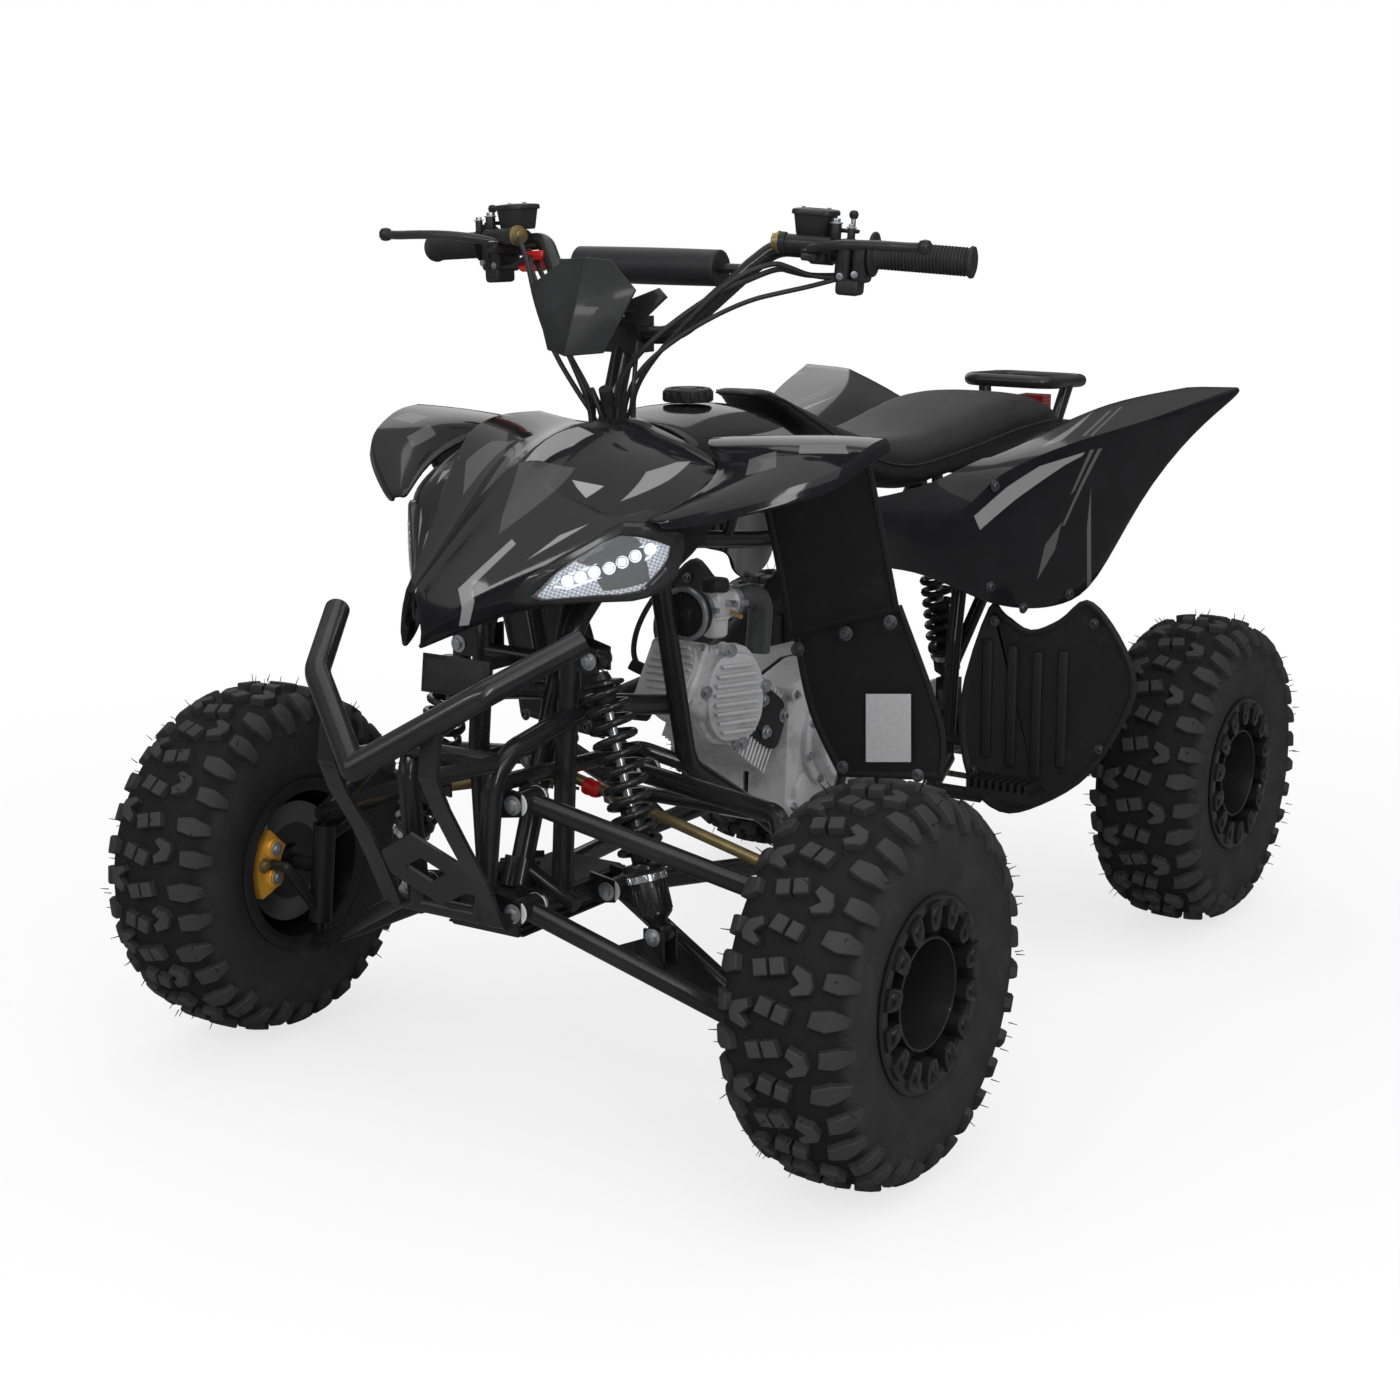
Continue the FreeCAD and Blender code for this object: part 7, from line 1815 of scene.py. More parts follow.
    def ribbed_cover(self, form: Form) -> None:
        """The oval cover with level ribs on the head's left side."""
        turn = Matrix.Rotation(-0.42, 4, "Z")
        place = Matrix.Translation(station((0.066, -0.238, 0.452))) @ turn
        axes = abreast(0)
        oval = round_outline([(0.040, 0.030), (0.043, 0), (0.040, -0.030), (0.024, -0.054), (0, -0.058),
                              (-0.024, -0.054), (-0.040, -0.030), (-0.043, 0), (-0.040, 0.030), (-0.024, 0.054),
                              (0, 0.058), (0.024, 0.054)], 3)
        for share, start, thick in ((1.14, -0.034, 0.020), (1.0, -0.016, 0.019)):
            shell = plate([(y * share, z * share) for y, z in oval], thick, 0.0035)
            form.add(shell, place @ axes @ move(0, 0, start), 0)
        for index in range(8):
            level = (index - 3.5) * 0.0125
            wide = 2 * 0.036 * math.sqrt(max(0.15, 1 - (level / 0.062) ** 2))
            rib = block((0.0115, wide, 0.0050), 0.0015)
            form.add(rib, place @ move(0.0055, 0, level), 0)
        for y, z in ((0.046, 0.010), (-0.046, 0.012), (0.010, -0.063), (-0.008, 0.063)):
            form.add(drum(0.0085, 0.024, 18, 0.002), place @ axes @ move(y, z, -0.022), 0)
            form.add(bolt(0.0058, 0.006, False), place @ axes @ move(y, z, 0.002), 2)

    def carburettor(self) -> Form:
        """Carburettor with bowl, slide cap and clamp rings, and the rubber duct to the head."""
        form = Form()
        place = station((0.050, -0.262, 0.5768))
        along = towards(Axis.ALONG.value, place - Vector((0, 0.042, 0)))
        form.add(lathe([(0.012, 0.0), (0.0195, 0.0), (0.0205, 0.002), (0.0205, 0.012), (0.017, 0.015), (0.017, 0.066),
                        (0.0205, 0.069), (0.0205, 0.079), (0.0195, 0.081), (0.012, 0.081)], 36, closed=True), along, 0)
        form.add(block((0.038, 0.040, 0.034), 0.006, 3), Matrix.Translation(place + Vector((0, 0.0, 0.002))), 0)
        form.add(lathe([(0, -0.042), (0.012, -0.042), (0.016, -0.039), (0.0175, -0.018), (0.0205, -0.0165),
                        (0.0205, -0.012), (0.0, -0.012)], 32), Matrix.Translation(place), 0)
        form.add(lathe([(0.0, 0.018), (0.0175, 0.018), (0.0185, 0.020), (0.0185, 0.031), (0.0165, 0.034),
                        (0.006, 0.036), (0.0, 0.0362)], 32), Matrix.Translation(place), 1)
        for x, y in ((0.014, 0.014), (-0.014, -0.014), (0.014, -0.014)):
            form.add(bolt(0.0026, 0.003), Matrix.Translation(place + Vector((x * 1.05, y, -0.0115))), 2)
        form.add(drum(0.0045, 0.016, 14, 0.001), towards(Axis.ACROSS.value, place + Vector((0.018, 0, 0.004))), 2)
        form.add(drum(0.0030, 0.024, 10), towards(Vector((1, -0.3, -0.2)), place + Vector((0.016, 0.010, -0.008))), 3)
        for y in (0.006, 0.075):
            band = lathe([(0.0205, -0.004), (0.0218, -0.004), (0.0218, 0.004), (0.0205, 0.004)], 36, closed=True)
            form.add(band, along @ move(0, 0, y), 2)
            form.add(block((0.008, 0.007, 0.009), 0.001), along @ move(0.0245, 0, y), 2)
        return form

    def horn(self) -> Form:
        """Disc horn: black body, bright ring and slotted grille."""
        form = Form()
        matrix = towards(Vector((0, -1, 0)), station(self.horn_place) + Vector((0, 0.026, 0)))
        form.add(lathe([(0, 0.0), (0.018, 0.0), (0.026, 0.004), (0.0325, 0.010), (0.0335, 0.018), (0.0335, 0.0215)],
                       48), matrix, 1)
        form.add(lathe([(0.0335, 0.0195), (0.0340, 0.0225), (0.0325, 0.0255), (0.0290, 0.0258), (0.0275, 0.0240),
                        (0.0290, 0.020)],
                       48, closed=True), matrix, 2)
        form.add(lathe([(0.0, 0.0225), (0.006, 0.0230), (0.008, 0.0215), (0.028, 0.0195), (0.029, 0.018)], 48), matrix,
                 1)
        form.ring(block((0.015, 0.0016, 0.0030), 0.0005), 24, matrix, move(0.0185, 0, 0.0216), 1)
        form.add(bolt(0.004, 0.004, False),
                 towards(Axis.ALONG.value, station(self.horn_place) + Vector((0, 0.0255, 0))), 2)
        return form

    def build(self) -> None:
        """Makes the engine's pieces in place of the plain ones."""
        finishes = [ALLOY, COVER_BLACK, STEEL, BRASS]
        ride(self.crankcase().object("crankcase", finishes, 0.6), "frame", "engine_alloy", "engine_case")
        ride(self.cylinder().object("finned_cylinder", finishes, 0.6), "frame", "engine_alloy", "cylinder_head")
        ride(self.carburettor().object("carburettor_body", finishes, 0.6), "frame", "engine_alloy", "carburettor")
        ride(self.horn().object("horn_body", finishes, 0.6), "frame", "matte_black", "horn")
        duct = hose("intake_duct", stations(((0.050, -0.226, 0.5768), (0.052, -0.190, 0.580), (0.056, -0.165, 0.572),
                                             (0.054, -0.158, 0.545), (0.050, -0.160, 0.498))), 0.0165, DUCT, sides=8)
        ride(duct, "frame", "matte_black")
        plug = hose("spark_lead", stations(((-0.060, -0.255, 0.474), (-0.082, -0.262, 0.480), (-0.092, -0.240, 0.530),
                                            (-0.070, -0.200, 0.590), (-0.040, -0.170, 0.640))), 0.0038, CABLE)
        ride(plug, "frame", "cable_rubber")
        sleeve = hose("spark_cap", stations(((-0.050, -0.250, 0.472), (-0.066, -0.256, 0.474),
                                             (-0.084, -0.262, 0.484))),
                      0.0085, CABLE)
        ride(sleeve, "frame", "cable_rubber")


@dataclass
class Shocks:
    """Three coil-over dampers with bushes, rod, collars and fluted foot."""

    wire: float = 0.0048
    radius: float = 0.0240

    def eye(self, form: Form, place: Vector, axis: Vector, half: float) -> None:
        """An eye with its rubber bush."""
        matrix = towards(axis, place - axis * half)
        ring = [(0.0085, 0.0015), (0.0130, 0.0), (0.0140, 0.0015), (0.0140, half * 2 - 0.0015), (0.0130, half * 2),
                (0.0085, half * 2 - 0.0015)]
        form.add(lathe(ring, 28, closed=True), matrix, 0)
        form.add(lathe([(0.0052, 0.0), (0.0085, 0.001), (0.0085, half * 2 - 0.001), (0.0052, half * 2)], 24,
                       closed=True), matrix, 2)

    def damper(self, top: Vector, foot: Vector, axis: Vector, lower: float, fluted: bool) -> Form:
        """Everything of one damper but its coil."""
        form = Form()
        line = towards(top - foot, foot)
        span = (top - foot).length
        eye = 0.014
        seat = eye + lower
        self.eye(form, top, axis, 0.011)
        self.eye(form, foot, axis, 0.011)
        body = [(0.0, eye * 0.8), (0.010, eye * 0.8), (0.0135, eye * 1.25), (0.0175, eye * 1.5), (0.0205, eye * 1.75),
                (0.0205, seat - 0.016), (0.0195, seat - 0.014), (0.0195, seat - 0.008), (0.0225, seat - 0.006),
                (0.0265, seat - 0.002), (0.0268, seat + 0.003), (0.0255, seat + 0.0062), (0.016, seat + 0.0062),
                (0.0138, seat + 0.008), (0.0138, seat + 0.070), (0.0125, seat + 0.074), (0.0, seat + 0.074)]
        form.add(lathe(body, 40), line, 0)
        if fluted:
            rib = block((0.0030, 0.0030, lower * 0.45), 0.001)
            form.ring(rib, 16, line, move(0.0205, 0, eye + lower * 0.42), 0)
        form.add(lathe([(0.0205, 0), (0.0228, 0.001), (0.0228, 0.0085), (0.0205, 0.0095)], 40, closed=True),
                 line @ move(0, 0, seat - 0.0165), 1)
        form.ring(block((0.0016, 0.0040, 0.0080), 0.0004), 12, line, move(0.0231, 0, seat - 0.0117), 1)
        form.add(drum(0.0058, span - seat - eye - 0.05, 20), line @ move(0, 0, seat + 0.06), 1)
        form.add(lathe([(0.006, 0), (0.012, 0.002), (0.0135, 0.010), (0.0125, 0.022), (0.006, 0.024)], 28, closed=True),
                 line @ move(0, 0, span - 3.9 * eye), 2)
        form.add(lathe([(0.0, 0.0), (0.0225, 0.0), (0.0262, 0.0015), (0.0262, 0.0052), (0.0225, 0.0068),
                        (0.013, 0.0085), (0.0095, 0.018), (0.0, 0.020)], 36), line
                 @ move(0, 0, span - 2.4 * eye - 0.0005), 0)
        return form

    def wind(self, form: Form, top: Vector, foot: Vector, lower: float) -> None:
        """One spring between its seats."""
        span = (top - foot).length
        low = 0.014 + lower + 0.0062 + self.wire
        high = span - 2.4 * 0.014 - self.wire - 0.0008
        form.add(coil(self.radius, self.wire, low, high, 11), towards(top - foot, foot))

    def build(self) -> None:
        """Makes all three."""
        front, coils = Form(), Form()
        finishes = [SPRING_BLACK, CHROME, GRIP]
        for side, _ in SIDES:
            top = sided(station((0.098, -0.586, 0.566)), side)
            foot = sided(station((0.202, -0.607, 0.252)), side)
            front.add(self.damper(top, foot, Axis.ALONG.value, 0.066, True))
            self.wind(coils, top, foot, 0.066)
        ride(front.object("front_dampers", finishes, 0.6), "frame", "shock_black", "front_shocks")
        ride(coils.object("front_coils", [SPRING_BLACK], 1.2), "frame", "spring_black", "front_springs")
        top, foot = station((0, 0.400, 0.640)), station((0, 0.475, 0.335))
        ride(self.damper(top, foot, Axis.ALONG.value, 0.0462, False).object("rear_damper", finishes, 0.6), "frame",
             "shock_black", "rear_shock")
        rear = Form()
        self.wind(rear, top, foot, 0.0462)
        ride(rear.object("rear_coil", [SPRING_BLACK], 1.2), "frame", "spring_black", "rear_spring")


@dataclass
class Guards:
    """Leg shields, heel guards, their ribs, bolts and the blank label."""

    upper: tuple[tuple[Point, ...], ...] = (
        ((0.168, -0.366, 0.8066), (0.255, -0.385, 0.8168), (0.350, -0.395, 0.8155)),
        ((0.168, -0.305, 0.650), (0.250, -0.320, 0.680), (0.338, -0.330, 0.700)),
        ((0.160, -0.262, 0.545), (0.240, -0.262, 0.570), (0.322, -0.262, 0.595)),
    )
    lower: tuple[tuple[Point, ...], ...] = (
        ((0.165, -0.2577, 0.552), (0.240, -0.2577, 0.577), (0.322, -0.2577, 0.602)),
        ((0.165, -0.215, 0.440), (0.250, -0.210, 0.440), (0.345, -0.185, 0.440)),
        ((0.190, -0.180, 0.350), (0.260, -0.178, 0.356), (0.340, -0.175, 0.366)),
    )
    heel: tuple[Flat, ...] = (
        (0.178, 0.506), (0.205, 0.498), (0.244, 0.480), (0.290, 0.500), (0.330, 0.532), (0.372, 0.500), (0.408, 0.435),
        (0.402, 0.380), (0.345, 0.282), (0.270, 0.225), (0.204, 0.205), (0.150, 0.250), (0.135, 0.363),
    )
    ribs: tuple[Point, ...] = (
        (0.179, 0.285, 0.460), (0.219, 0.275, 0.455), (0.259, 0.265, 0.450), (0.299, 0.285, 0.455),
    )
    label: tuple[Point, ...] = (
        (0.2542, -0.2207, 0.4759), (0.3117, -0.2071, 0.4804), (0.3017, -0.1857, 0.3862), (0.2364, -0.1875, 0.3776),
    )

    def shield(self, rows: Sequence[Sequence[Point]]) -> Form:
        """One shield as a smooth sheet with turned edges and a wall."""
        fine = [smooth_rows(row, 5) for row in rows]
        grid = list(zip(*[smooth_rows([row[k] for row in fine], 5) for k in range(len(fine[0]))]))
        loops = [stations(row) for row in grid]
        front = loft(loops, capped=False, ring=False).forwards()
        made = bmesh.ops.inset_region(front.bm, faces=front.bm.faces[:], thickness=0.006, depth=0.0,
                                      use_even_offset=True, use_boundary=True)
        inner = [f for f in front.bm.faces if f not in made["faces"]]
        bmesh.ops.inset_region(front.bm, faces=inner, thickness=0.003, depth=-0.003, use_even_offset=True,
                               use_boundary=True)
        return front

    def heel_plate(self) -> Form:
        """The heel guard with its raised rim and upright ribs."""
        outline = round_outline(self.heel, 4)
        form = plate(outline, 0.004)
        top = max(form.bm.faces, key=lambda f: f.calc_center_median().z * (len(f.verts) > 8))
        bmesh.ops.inset_individual(form.bm, faces=[top], thickness=0.0015, depth=0.004)
        bmesh.ops.inset_individual(form.bm, faces=[top], thickness=0.005, depth=0.0)
        bmesh.ops.inset_individual(form.bm, faces=[top], thickness=0.004, depth=-0.005)
        form.bevel(0.0008, 1, 0.5)
        for x, low, high in self.ribs:
            rib = block((0.016, high - low, 0.012), 0.0048, 3)
            form.add(rib, Matrix.Translation((x, (low + high) / 2, 0.0035)))
        return form.shift(upright(0.262 + MID))

    def bolts(self) -> Form:
        """Dome-headed fasteners of shields and rear panels."""
        form = Form()
        ahead = Vector((0.15, -1, 0.15))
        for x, y, z in ((0.1662 + 0.008, -0.2478, 0.5313), (0.2479, -0.2535, 0.5605), (0.3150, -0.2600, 0.5830)):
            form.add(bolt(0.0060, 0.0055), towards(ahead, station((x, y - 0.011, z))))
        for x, y, z in ((0.186, -0.372, 0.792), (0.330, -0.398, 0.800), (0.315, -0.190, 0.372), (0.205, -0.192, 0.368)):
            form.add(bolt(0.0055, 0.005), towards(ahead, station((x, y - 0.004, z))))
        for x, y, z in ((0.2124, 0.1933, 0.5486), (0.2358, 0.2517, 0.5119), (0.2643, 0.3414, 0.5216),
                        (0.2100, 0.205, 0.690)):
            form.add(bolt(0.0052, 0.0045), towards(Vector((1, -0.35, 0)), station((x, y, z))))
        for x, z in ((0.190, 0.488), (0.345, 0.500), (0.160, 0.262), (0.360, 0.320)):
            form.add(bolt(0.0052, 0.0045), towards(Vector((0, -1, 0)), station((x, 0.2555, z))))
        return both(form)

    def build(self) -> None:
        """Makes shields, guards, fasteners and the label."""
        shields = Form()
        for rows in (self.upper, self.lower):
            shields.add(self.shield(rows))
        piece = both(shields).object("leg_shield_skins", [SIDE_PLASTIC], 0.6)
        walled(piece, 0.0035)
        ride(piece, "frame", "matte_black", "leg_shields")
        ride(both(self.heel_plate()).object("heel_guard_plates", [SIDE_PLASTIC], 0.5), "frame", "matte_black",
             "heel_guards")
        ride(self.bolts().object("panel_bolts", [DARK_STEEL], 0.6), "frame", "hub_steel")
        a, b, c, d = stations(self.label)
        lift = Vector((0.0008, -0.0042, 0.001))
        rows = [[a.lerp(d, k / 6) + lift, b.lerp(c, k / 6) + lift] for k in range(7)]
        label = loft(rows, capped=False, ring=False).forwards()
        ride(label.object("blank_label", [LABEL], 0.6), "frame", "matte_black")


@dataclass
class Drive:
    """Chain links and the toothed rear sprocket with its bolts."""

    pinion: Point = (0.078, 0.110, 0.325)
    pitch: float = 0.0127
    roller_rise: float = 0.0061
    pinion_root: float = 0.022
    sprocket_root: float = 0.062

    @staticmethod
    def around(centre: Vector, radius: float, angle: float) -> Vector:
        """A place on a circle in the chain's plane."""
        return centre + Vector((0, radius * math.cos(angle), radius * math.sin(angle)))

    def path(self) -> list[Vector]:
        """Places of the links along the loop."""
        low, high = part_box("rear_axle")
        rear = Vector((0.078, (low.y + high.y) / 2, (low.z + high.z) / 2))
        front = station(self.pinion)
        r0, r1 = self.pinion_root + self.roller_rise, self.sprocket_root + self.roller_rise
        span = rear - front
        lean = math.atan2(span.z, span.y)
        swing = math.acos((r0 - r1) / span.length)
        points = [self.around(front, r0, lean + swing), self.around(rear, r1, lean + swing)]
        steps = 40
        points += [self.around(rear, r1, lean + swing - 2 * swing * k / steps) for k in range(1, steps + 1)]
        points.append(self.around(front, r0, lean - swing))
        back = 2 * math.pi - 2 * swing
        points += [self.around(front, r0, lean - swing - back * k / 16) for k in range(1, 17)]
        lengths = [(b - a).length for a, b in zip(points, points[1:])]
        total = sum(lengths)
        count = int(round(total / self.pitch / 2)) * 2
        made = []
        index, walked = 0, 0.0
        for number in range(count):
            goal = total * number / count
            while walked + lengths[index] < goal and index < len(lengths) - 1:
                walked += lengths[index]
                index += 1
            share = (goal - walked) / max(lengths[index], 1e-9)
            a, b = points[index], points[index + 1]
            made.append(a.lerp(b, share))
        return made

    def build(self) -> None:
        """Makes the chain and the sprocket's ring."""
        form = Form()
        side_plate = round_outline([(0.0098, 0.0), (0.0068, 0.0046), (0, 0.0038), (-0.0068, 0.0046), (-0.0098, 0),
                                    (-0.0068, -0.0046), (0, -0.0038), (0.0068, -0.0046)], 2)
        link = plate(side_plate, 0.0012)
        roller = drum(0.0040, 0.0090, 10)
        pin = drum(0.0018, 0.0112, 8)
        places = self.path()
        for number, place in enumerate(places):
            follow = places[(number + 1) % len(places)]
            middle = (place + follow) / 2
            run = (follow - place).normalized()
            axes = Matrix((run, run.cross(Axis.ACROSS.value) * -1, Axis.ACROSS.value)).transposed().to_4x4()
            if axes.determinant() < 0:
                axes = Matrix((run, run.cross(Axis.ACROSS.value), Axis.ACROSS.value)).transposed().to_4x4()
            axes.translation = middle
            reach = 0.0038 if number % 2 else 0.0026
            form.add(link, axes @ move(0, 0, reach))
            form.add(link, axes @ move(0, 0, -reach - 0.0012))
            axes.translation = place
            form.add(roller, axes @ move(0, 0, -0.0045))
            form.add(pin, axes @ move(0, 0, -0.0056))
        ride(form.object("chain_links", [CHAIN_STEEL], 0.5), "frame", "chain_steel", "chain")
        low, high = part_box("rear_axle")
        centre = Vector((0, (low.y + high.y) / 2, (low.z + high.z) / 2))
        teeth = Form()
        wheel = Engine().teeth(0.0655, 37, 0.0054)
        teeth.add(wheel, towards(Axis.ACROSS.value, centre + Vector((0.078, 0, 0))), 0)
        for index in range(6):
            turn = spoke(index, 6)
            teeth.add(bolt(0.0055, 0.006, False), towards(Axis.ACROSS.value, centre + Vector((0.0807, 0, 0))) @ turn
                      @ move(0.034, 0, 0), 1)
            teeth.add(drum(0.0085, 0.0058, 20), towards(Axis.ACROSS.value, centre + Vector((0.0751, 0, 0))) @ turn
                      @ Matrix.Rotation(0.52, 4, "Z") @ move(0.046, 0, 0), 2)
        ride(teeth.object("sprocket_ring", [CHAIN_STEEL, STEEL, BRACKET_BLACK], 0.5), "rear_wheels", "hub_steel")


@dataclass
class Fasteners:
    """White bushes and bolts at the pivots, clamp bolts and other small hardware."""

    pivots: tuple[Point, ...] = (
        (0.080, -0.705, 0.288), (0.080, -0.520, 0.268), (0.078, -0.698, 0.416), (0.078, -0.470, 0.402),
    )

    feet: tuple[Point, ...] = ((0.098, -0.586, 0.566), (0.202, -0.607, 0.252))

    def hardware(self) -> Form:
        """Nylon washers and bolts at the arms' pivots, and the bolts of the front dampers."""
        form = Form()
        nylon = lathe([(0.0055, 0.0), (0.0145, 0.0), (0.0152, 0.001), (0.0145, 0.0022), (0.0055, 0.0022)], 28,
                      closed=True)
        ways = (Vector((0, 1, 0)), Vector((0, -1, 0)))
        for side, _ in SIDES:
            for point in self.pivots:
                place = sided(station(point), side)
                for out in ways:
                    form.add(nylon, towards(out, place + out * self.half()), 1)
                    form.add(bolt(0.0075, 0.0075, False), towards(out, place + out * (self.half() + 0.0075)), 0)
            for point in self.feet:
                place = sided(station(point), side)
                for out in ways:
                    form.add(bolt(0.0070, 0.0065, False), towards(out, place + out * 0.0155), 0)
        return form

    @staticmethod
    def box() -> Form:
        """The ribbed box between the lower pivots."""
        form = Form().add(block((0.104, 0.215, 0.043), 0.005), move(0, -0.517, 0.2610))
        for index in range(5):
            form.add(block((0.114, 0.209, 0.0034), 0.0012), move(0, -0.517, 0.2435 + index * 0.0088))
        return form

    @staticmethod
    def sign() -> Form:
        """The blank front plate on its bracket."""
        form = Form()
        tilt = move(-0.018, -0.645, 0.553) @ Matrix.Rotation(-0.12, 4, "X")
        form.add(block((0.100, 0.0022, 0.046), 0.0009), tilt, 0)
        form.add(block((0.088, 0.0008, 0.036), 0.0003), tilt @ move(0, -0.0013, 0), 1)
        return form.add(block((0.016, 0.104, 0.012), 0.003), move(-0.018, -0.5935, 0.556), 0)

    @staticmethod
    def clamp() -> Form:
        """The four bolts of the bar's clamp."""
        form = Form()
        for x in (-0.018, 0.018):
            for y in (-0.011, 0.011):
                form.add(bolt(0.0052, 0.006), towards(Vector((0, -0.1, 1)), station((x, -0.385 + y, 0.952))))
        return form

    def build(self) -> None:
        """Adds the hardware."""
        ride(self.hardware().object("pivot_hardware", [STEEL, WHITE_NYLON], 0.6), "frame", "hub_steel")
        ride(self.box().object("ribbed_box", [PLASTIC], 0.6), "frame", "matte_black")
        ride(self.sign().object("front_plate", [BRACKET_BLACK, PLASTIC], 0.6), "frame", "matte_black")
        ride(self.clamp().object("clamp_bolts", [STEEL], 0.6), "steering", "hub_steel")

    @staticmethod
    def half() -> float:
        """Half the length of an arm's bush."""
        low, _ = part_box("upper_arms")
        return station((0, -0.698, 0)).y - low.y + 0.0002


@dataclass
class Loom:
    """Cables, brake hoses and the tied bundle between bar and cowl."""

    routes: tuple[tuple[float, tuple[Point, ...]], ...] = (
        (0.0035, ((0.258, -0.296, 1.004), (0.226, -0.311, 1.002), (0.200, -0.3205, 1.0075), (0.183, -0.325, 1.0125),
                  (0.150, -0.3565, 0.994), (0.1194, -0.3746, 0.9798), (0.070, -0.428, 0.930), (0.030, -0.443, 0.880),
                  (0.022, -0.432, 0.835), (0.022, -0.440, 0.790))),
        (0.0032, ((0.262, -0.302, 1.000), (0.228, -0.319, 1.002), (0.2022, -0.3303, 1.0132), (0.184, -0.3375, 1.0195),
                  (0.150, -0.378, 1.000), (0.112, -0.398, 0.960), (0.064, -0.418, 0.905), (0.036, -0.421, 0.862),
                  (0.034, -0.417, 0.835), (0.036, -0.427, 0.790))),
    )
    right_ends: tuple[tuple[Point, ...], ...] = (
        ((-0.016, -0.432, 0.835), (-0.014, -0.440, 0.790)),
        ((-0.030, -0.421, 0.862), (-0.024, -0.417, 0.835), (-0.026, -0.427, 0.790)),
    )
    extra: tuple[tuple[float, tuple[Point, ...]], ...] = (
        (0.0030, ((0.262, -0.302, 1.002), (0.232, -0.322, 0.992), (0.205, -0.345, 0.985), (0.165, -0.372, 0.974),
                  (0.110, -0.412, 0.940), (0.062, -0.445, 0.895), (0.040, -0.446, 0.850), (0.030, -0.432, 0.812),
                  (0.028, -0.436, 0.790))),
        (0.0028, ((0.034, -0.408, 0.922), (0.052, -0.438, 0.900), (0.058, -0.452, 0.868), (0.046, -0.440, 0.838),
                  (0.020, -0.430, 0.824), (-0.004, -0.436, 0.845), (-0.010, -0.446, 0.872), (0.004, -0.452, 0.850),
                  (0.012, -0.442, 0.812), (0.014, -0.440, 0.790))),
        (0.0032, ((-0.206, -0.338, 1.045), (-0.180, -0.362, 1.038), (-0.150, -0.385, 1.010), (-0.120, -0.410, 0.965),
                  (-0.075, -0.436, 0.910), (-0.035, -0.440, 0.862), (-0.010, -0.428, 0.822), (-0.006, -0.430, 0.790))),
    )

    def mirrored(self) -> tuple[tuple[float, tuple[Point, ...]], ...]:
        """The right side's lines: the left ones mirrored, with ends of their own inside the cowl."""
        made = []
        for (radius, points), ends in zip(self.routes, self.right_ends):
            shared = points[:len(points) - len(ends)]
            made.append((radius, tuple((-x, y, z) for x, y, z in shared) + ends))
        return tuple(made)

    def build(self) -> None:
        """Lays every line and the sleeve round the bundle."""
        for index, (radius, points) in enumerate(self.routes + self.mirrored()):
            line = hose(f"control_line_{index}", stations(points), radius, CABLE, sides=5)
            ride(line, "steering", "cable_rubber", *(["control_cables"] if index == 0 else []))
        for index, (radius, points) in enumerate(self.extra):
            line = hose(f"loom_line_{index}", stations(points), radius, CABLE, sides=5)
            ride(line, "steering", "cable_rubber")
        collar = hose("loom_sleeve", stations(((0.014, -0.448, 0.868), (0.010, -0.436, 0.845), (0.010, -0.432, 0.820),
                                               (0.012, -0.438, 0.800))), 0.0085, SLEEVE, sides=6)
        ride(collar, "steering", "cable_rubber")


@dataclass
class Calipers:
    """Pistons, bolts and hose unions on the gold calipers."""

    def build(self) -> None:
        """Adds the details of each side."""
        for side, word in SIDES:
            low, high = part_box("caliper_" + word)
            middle = (low + high) / 2
            inner = low.x if side > 0 else high.x
            out = Vector((-side, 0, 0))
            form = Form()
            for z in (-0.019, 0.019):
                place = Vector((inner, middle.y + 0.002, middle.z + z))
                form.add(lathe([(0, 0.007), (0.008, 0.007), (0.0095, 0.005), (0.0125, 0.005), (0.0142, 0.003),
                                (0.0145, -0.004)], 28),
                         towards(out, place), 0)
                form.add(bolt(0.0062, 0.004, False), towards(out, place + out * 0.006), 1)
            form.add(drum(0.0035, 0.012, 12, 0.0008),
                     towards(Axis.UP.value, Vector((inner + side * 0.012, middle.y, high.z - 0.004))), 1)
            form.add(bolt(0.0065, 0.007, False), towards(out, Vector((inner, middle.y - 0.016, middle.z))), 2)
            ride(form.object("caliper_fittings_" + word, [GOLD, STEEL, YELLOW_ZINC], 0.6), "knuckle_" + word,
                 "gold_alloy")


@dataclass
class TieRods:
    """Red rubber boots and lock nuts on the steering links."""

    def build(self) -> None:
        """Adds a boot and two lock nuts to each link."""
        for side, word in SIDES:
            points = [v.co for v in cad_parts["tie_rod_" + word].data.vertices]
            inner = min(points, key=lambda p: p.x * side)
            outer = max(points, key=lambda p: p.x * side)
            near = [p for p in points if abs(p.x - inner.x) < 0.012]
            far = [p for p in points if abs(p.x - outer.x) < 0.012]
            start = sum(near, Vector()) / len(near)
            end = sum(far, Vector()) / len(far)
            run = (end - start).normalized()
            form = Form()
            boot = lathe([(0.0072, 0.0), (0.0105, 0.001), (0.0112, 0.006), (0.0100, 0.010), (0.0108, 0.014),
                          (0.0096, 0.020), (0.0072, 0.024)],
                         24, closed=True)
            form.add(boot, towards(run, start + run * 0.022), 0)
            for share in (0.16, 0.84):
                nut = drum(0.0105, 0.009, 6, 0.001)
                form.add(nut, towards(run, start + (end - start) * share), 1)
            ride(form.object("link_boots_" + word, [RED_PLASTIC, STEEL], 0.6), "tie_rod_" + word, "zinc_yellow")


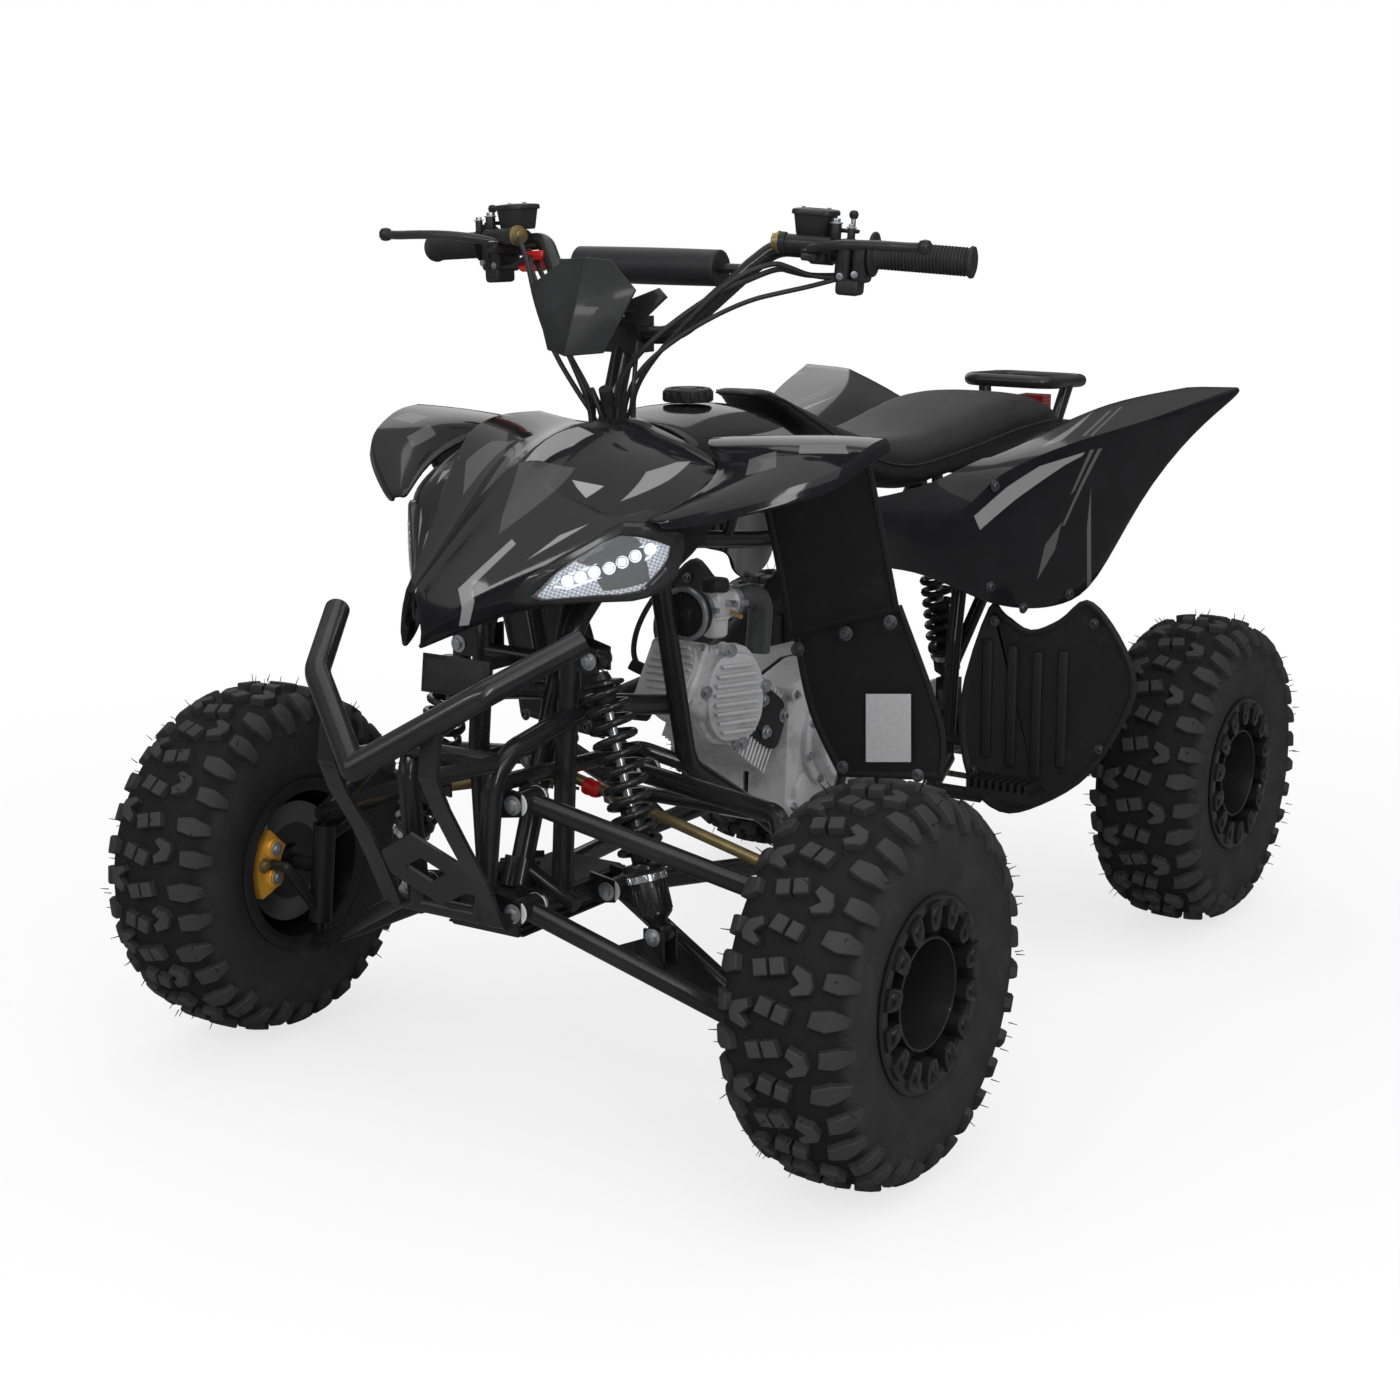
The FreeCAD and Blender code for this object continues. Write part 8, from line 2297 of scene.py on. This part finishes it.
@dataclass
class Tail:
    """The fuel cap with its knurled rim."""

    def build(self) -> None:
        """Makes the cap in place of the plain one."""
        low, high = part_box("fuel_cap")
        middle = (low + high) / 2
        form = Form()
        form.add(lathe([(0, 0.0172), (0.012, 0.0172), (0.0135, 0.0150), (0.022, 0.0150), (0.0235, 0.0168),
                        (0.0285, 0.0166), (0.0308, 0.0145), (0.0312, 0.0)], 48), move(middle.x, middle.y, low.z))
        knurl = block((0.0060, 0.0072, 0.0130), 0.0022, 3)
        form.ring(knurl, 16, move(middle.x, middle.y, low.z), move(0.0300, 0, 0.0070))
        ride(form.object("fuel_cap_knurled", [PLASTIC], 0.6), "frame", "matte_black", "fuel_cap")


@dataclass
class Carried:
    """Nodes that keep their own mesh and take a detailed finish."""

    finishes: dict[str, Finish] = field(default_factory=lambda: {
        "main_frame": FRAME_BLACK, "front_bumper": FRAME_BLACK, "upper_arms": FRAME_BLACK, "lower_arms": FRAME_BLACK,
        "swingarm": FRAME_BLACK, "exhaust": EXHAUST_BLACK, "tail_cover": PLASTIC, "rear_rack": FRAME_BLACK,
        "tail_lamp": TAIL_LENS, "footpegs": BRACKET_BLACK, "foot_levers": STEEL, "steering_stem": FRAME_BLACK,
        "handlebar": FRAME_BLACK, "rear_axle": STEEL, "knuckle_left": BRACKET_BLACK,
        "knuckle_right": BRACKET_BLACK, "caliper_left": GOLD, "caliper_right": GOLD, "tie_rod_left": YELLOW_ZINC,
        "tie_rod_right": YELLOW_ZINC,
    })

    def build(self) -> None:
        """Assigns every finish."""
        for name, finish in self.finishes.items():
            dress(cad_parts[name], finish)


@dataclass
class Studio:
    """Floor, light and camera."""

    place: Point = (1.7947489, -2.83017064, 1.1567977)
    azimuth: float = 33.9223
    height: float = 12.6149
    roll: float = -0.0942
    focal: float = 2481.6056
    frame_width: int = 1400

    def camera(self) -> None:
        """The camera at the photograph's place and angle."""
        az, el, roll = (math.radians(v) for v in (self.azimuth, self.height, self.roll))
        back = Vector((math.sin(az) * math.cos(el), -math.cos(az) * math.cos(el), math.sin(el)))
        right = (-back).cross(Vector((0, 0, 1))).normalized()
        up = right.cross(-back)
        turned = right * math.cos(roll) + up * math.sin(roll)
        lifted = up * math.cos(roll) - right * math.sin(roll)
        data = bpy.data.cameras.new("camera")
        data.sensor_fit = "HORIZONTAL"
        data.sensor_width = 36
        data.lens = 36 * self.focal / self.frame_width
        data.clip_end = 50
        camera = bpy.data.objects.new("camera", data)
        matrix = Matrix((turned, lifted, back)).transposed().to_4x4()
        matrix.translation = Vector(self.place)
        camera.matrix_world = matrix
        bpy.context.scene.collection.objects.link(camera)
        bpy.context.scene.camera = camera

    def floor(self) -> None:
        """A wide pale floor that keeps the shadow and fades to white."""
        form = Form()
        bmesh.ops.create_grid(form.bm, x_segments=1, y_segments=1, size=14)
        shop = Shop("pale_floor")
        x, y, _ = shop.split()
        reach = ((x * x + y * y) ** 0.5).ramp(1.0, 2.6)
        grit = shop.noise(40, 3)
        path = shop.node("ShaderNodeLightPath", {}, {})
        seen = path.socket.node.outputs
        tone = shop.blend(Wire(shop, seen["Is Glossy Ray"]), (0.86, 0.86, 0.86), (0.16, 0.16, 0.16))
        base = shop.surface(Base_Color=tone, Roughness=grit * 0.1 + 0.75, Specular_IOR_Level=0.2)
        glow = shop.node("ShaderNodeEmission", {}, {"Color": (1, 1, 1, 1), "Strength": 1.0})
        factor = Wire(shop, seen["Is Camera Ray"]) * (reach * 0.26 + 0.74)
        mixed = shop.node("ShaderNodeMixShader", {}, {0: factor, 1: base, 2: glow})
        shop.finish(mixed)
        mesh = bpy.data.meshes.new("floor")
        form.bm.to_mesh(mesh)
        form.bm.free()
        mesh.materials.append(shop.material)
        floor = bpy.data.objects.new("floor", mesh)
        bpy.context.scene.collection.objects.link(floor)

    def world(self) -> None:
        """Soft surroundings that the camera sees as white."""
        world = bpy.data.worlds.new("studio")
        world.use_nodes = True
        bpy.context.scene.world = world
        tree = world.node_tree
        tree.nodes.clear()
        shop = Shop("world_helper")
        shop.tree = tree
        path = shop.node("ShaderNodeLightPath", {}, {}).socket.node.outputs
        seen = Wire(shop, path["Is Camera Ray"]).most(Wire(shop, path["Is Transmission Ray"]))
        mirror = Wire(shop, path["Is Glossy Ray"])
        z = shop.split(shop.node("ShaderNodeTexCoord", {}, {}, "Generated"))[2]
        sky = z.ramp(0.0, 0.8) * 0.22 + 0.06
        level = seen + (1 - seen) * (mirror * sky + (1 - mirror) * 0.80)
        glow = shop.node("ShaderNodeBackground", {}, {"Color": (1, 1, 1, 1), "Strength": level})
        shop.node("ShaderNodeOutputWorld", {}, {"Surface": glow})

    def lamp(self, name: str, place: Point, target: Point, size: Flat, power: float) -> None:
        """One soft box."""
        data = bpy.data.lights.new(name, "AREA")
        data.shape = "RECTANGLE"
        data.size, data.size_y = size
        data.energy = power
        light = bpy.data.objects.new(name, data)
        direction = Vector(target) - Vector(place)
        light.rotation_euler = direction.to_track_quat("-Z", "Y").to_euler()
        light.location = place
        bpy.context.scene.collection.objects.link(light)

    def build(self) -> None:
        """Sets the whole studio."""
        self.camera()
        self.floor()
        self.world()
        self.lamp("key", (2.6, -1.6, 3.0), (0, 0, 0.4), (3.0, 3.0), 26)
        self.lamp("front", (-1.2, -3.4, 1.9), (0, -0.4, 0.4), (2.8, 2.0), 12)
        self.lamp("strip_left", (2.3, -2.2, 1.5), (0.2, -0.4, 0.7), (0.25, 1.6), 11)
        self.lamp("strip_front", (0.3, -2.9, 2.4), (0, -0.5, 0.6), (1.8, 0.25), 12)
        self.lamp("top", (0, 0.2, 3.4), (0, 0, 0.4), (3.2, 3.2), 20)
        self.lamp("back", (-2.4, 2.4, 2.2), (0, 0, 0.5), (2.6, 2.6), 14)
        bpy.context.scene.view_settings.view_transform = "Standard"


def main() -> None:
    """Builds the studio and every sub-assembly in order."""
    logging.basicConfig(level=logging.INFO, format="%(message)s")
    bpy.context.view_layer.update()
    Studio().build()
    Carried().build()
    Wheels().build()
    Bodywork().build()
    for unit in (Lamps(), Seat(), Shield(), Controls(), Engine(), Shocks(), Guards(), Drive(), Fasteners(), Loom(),
                 Calipers(), TieRods(), Tail()):
        unit.build()


if __name__ == "__main__":
    main()
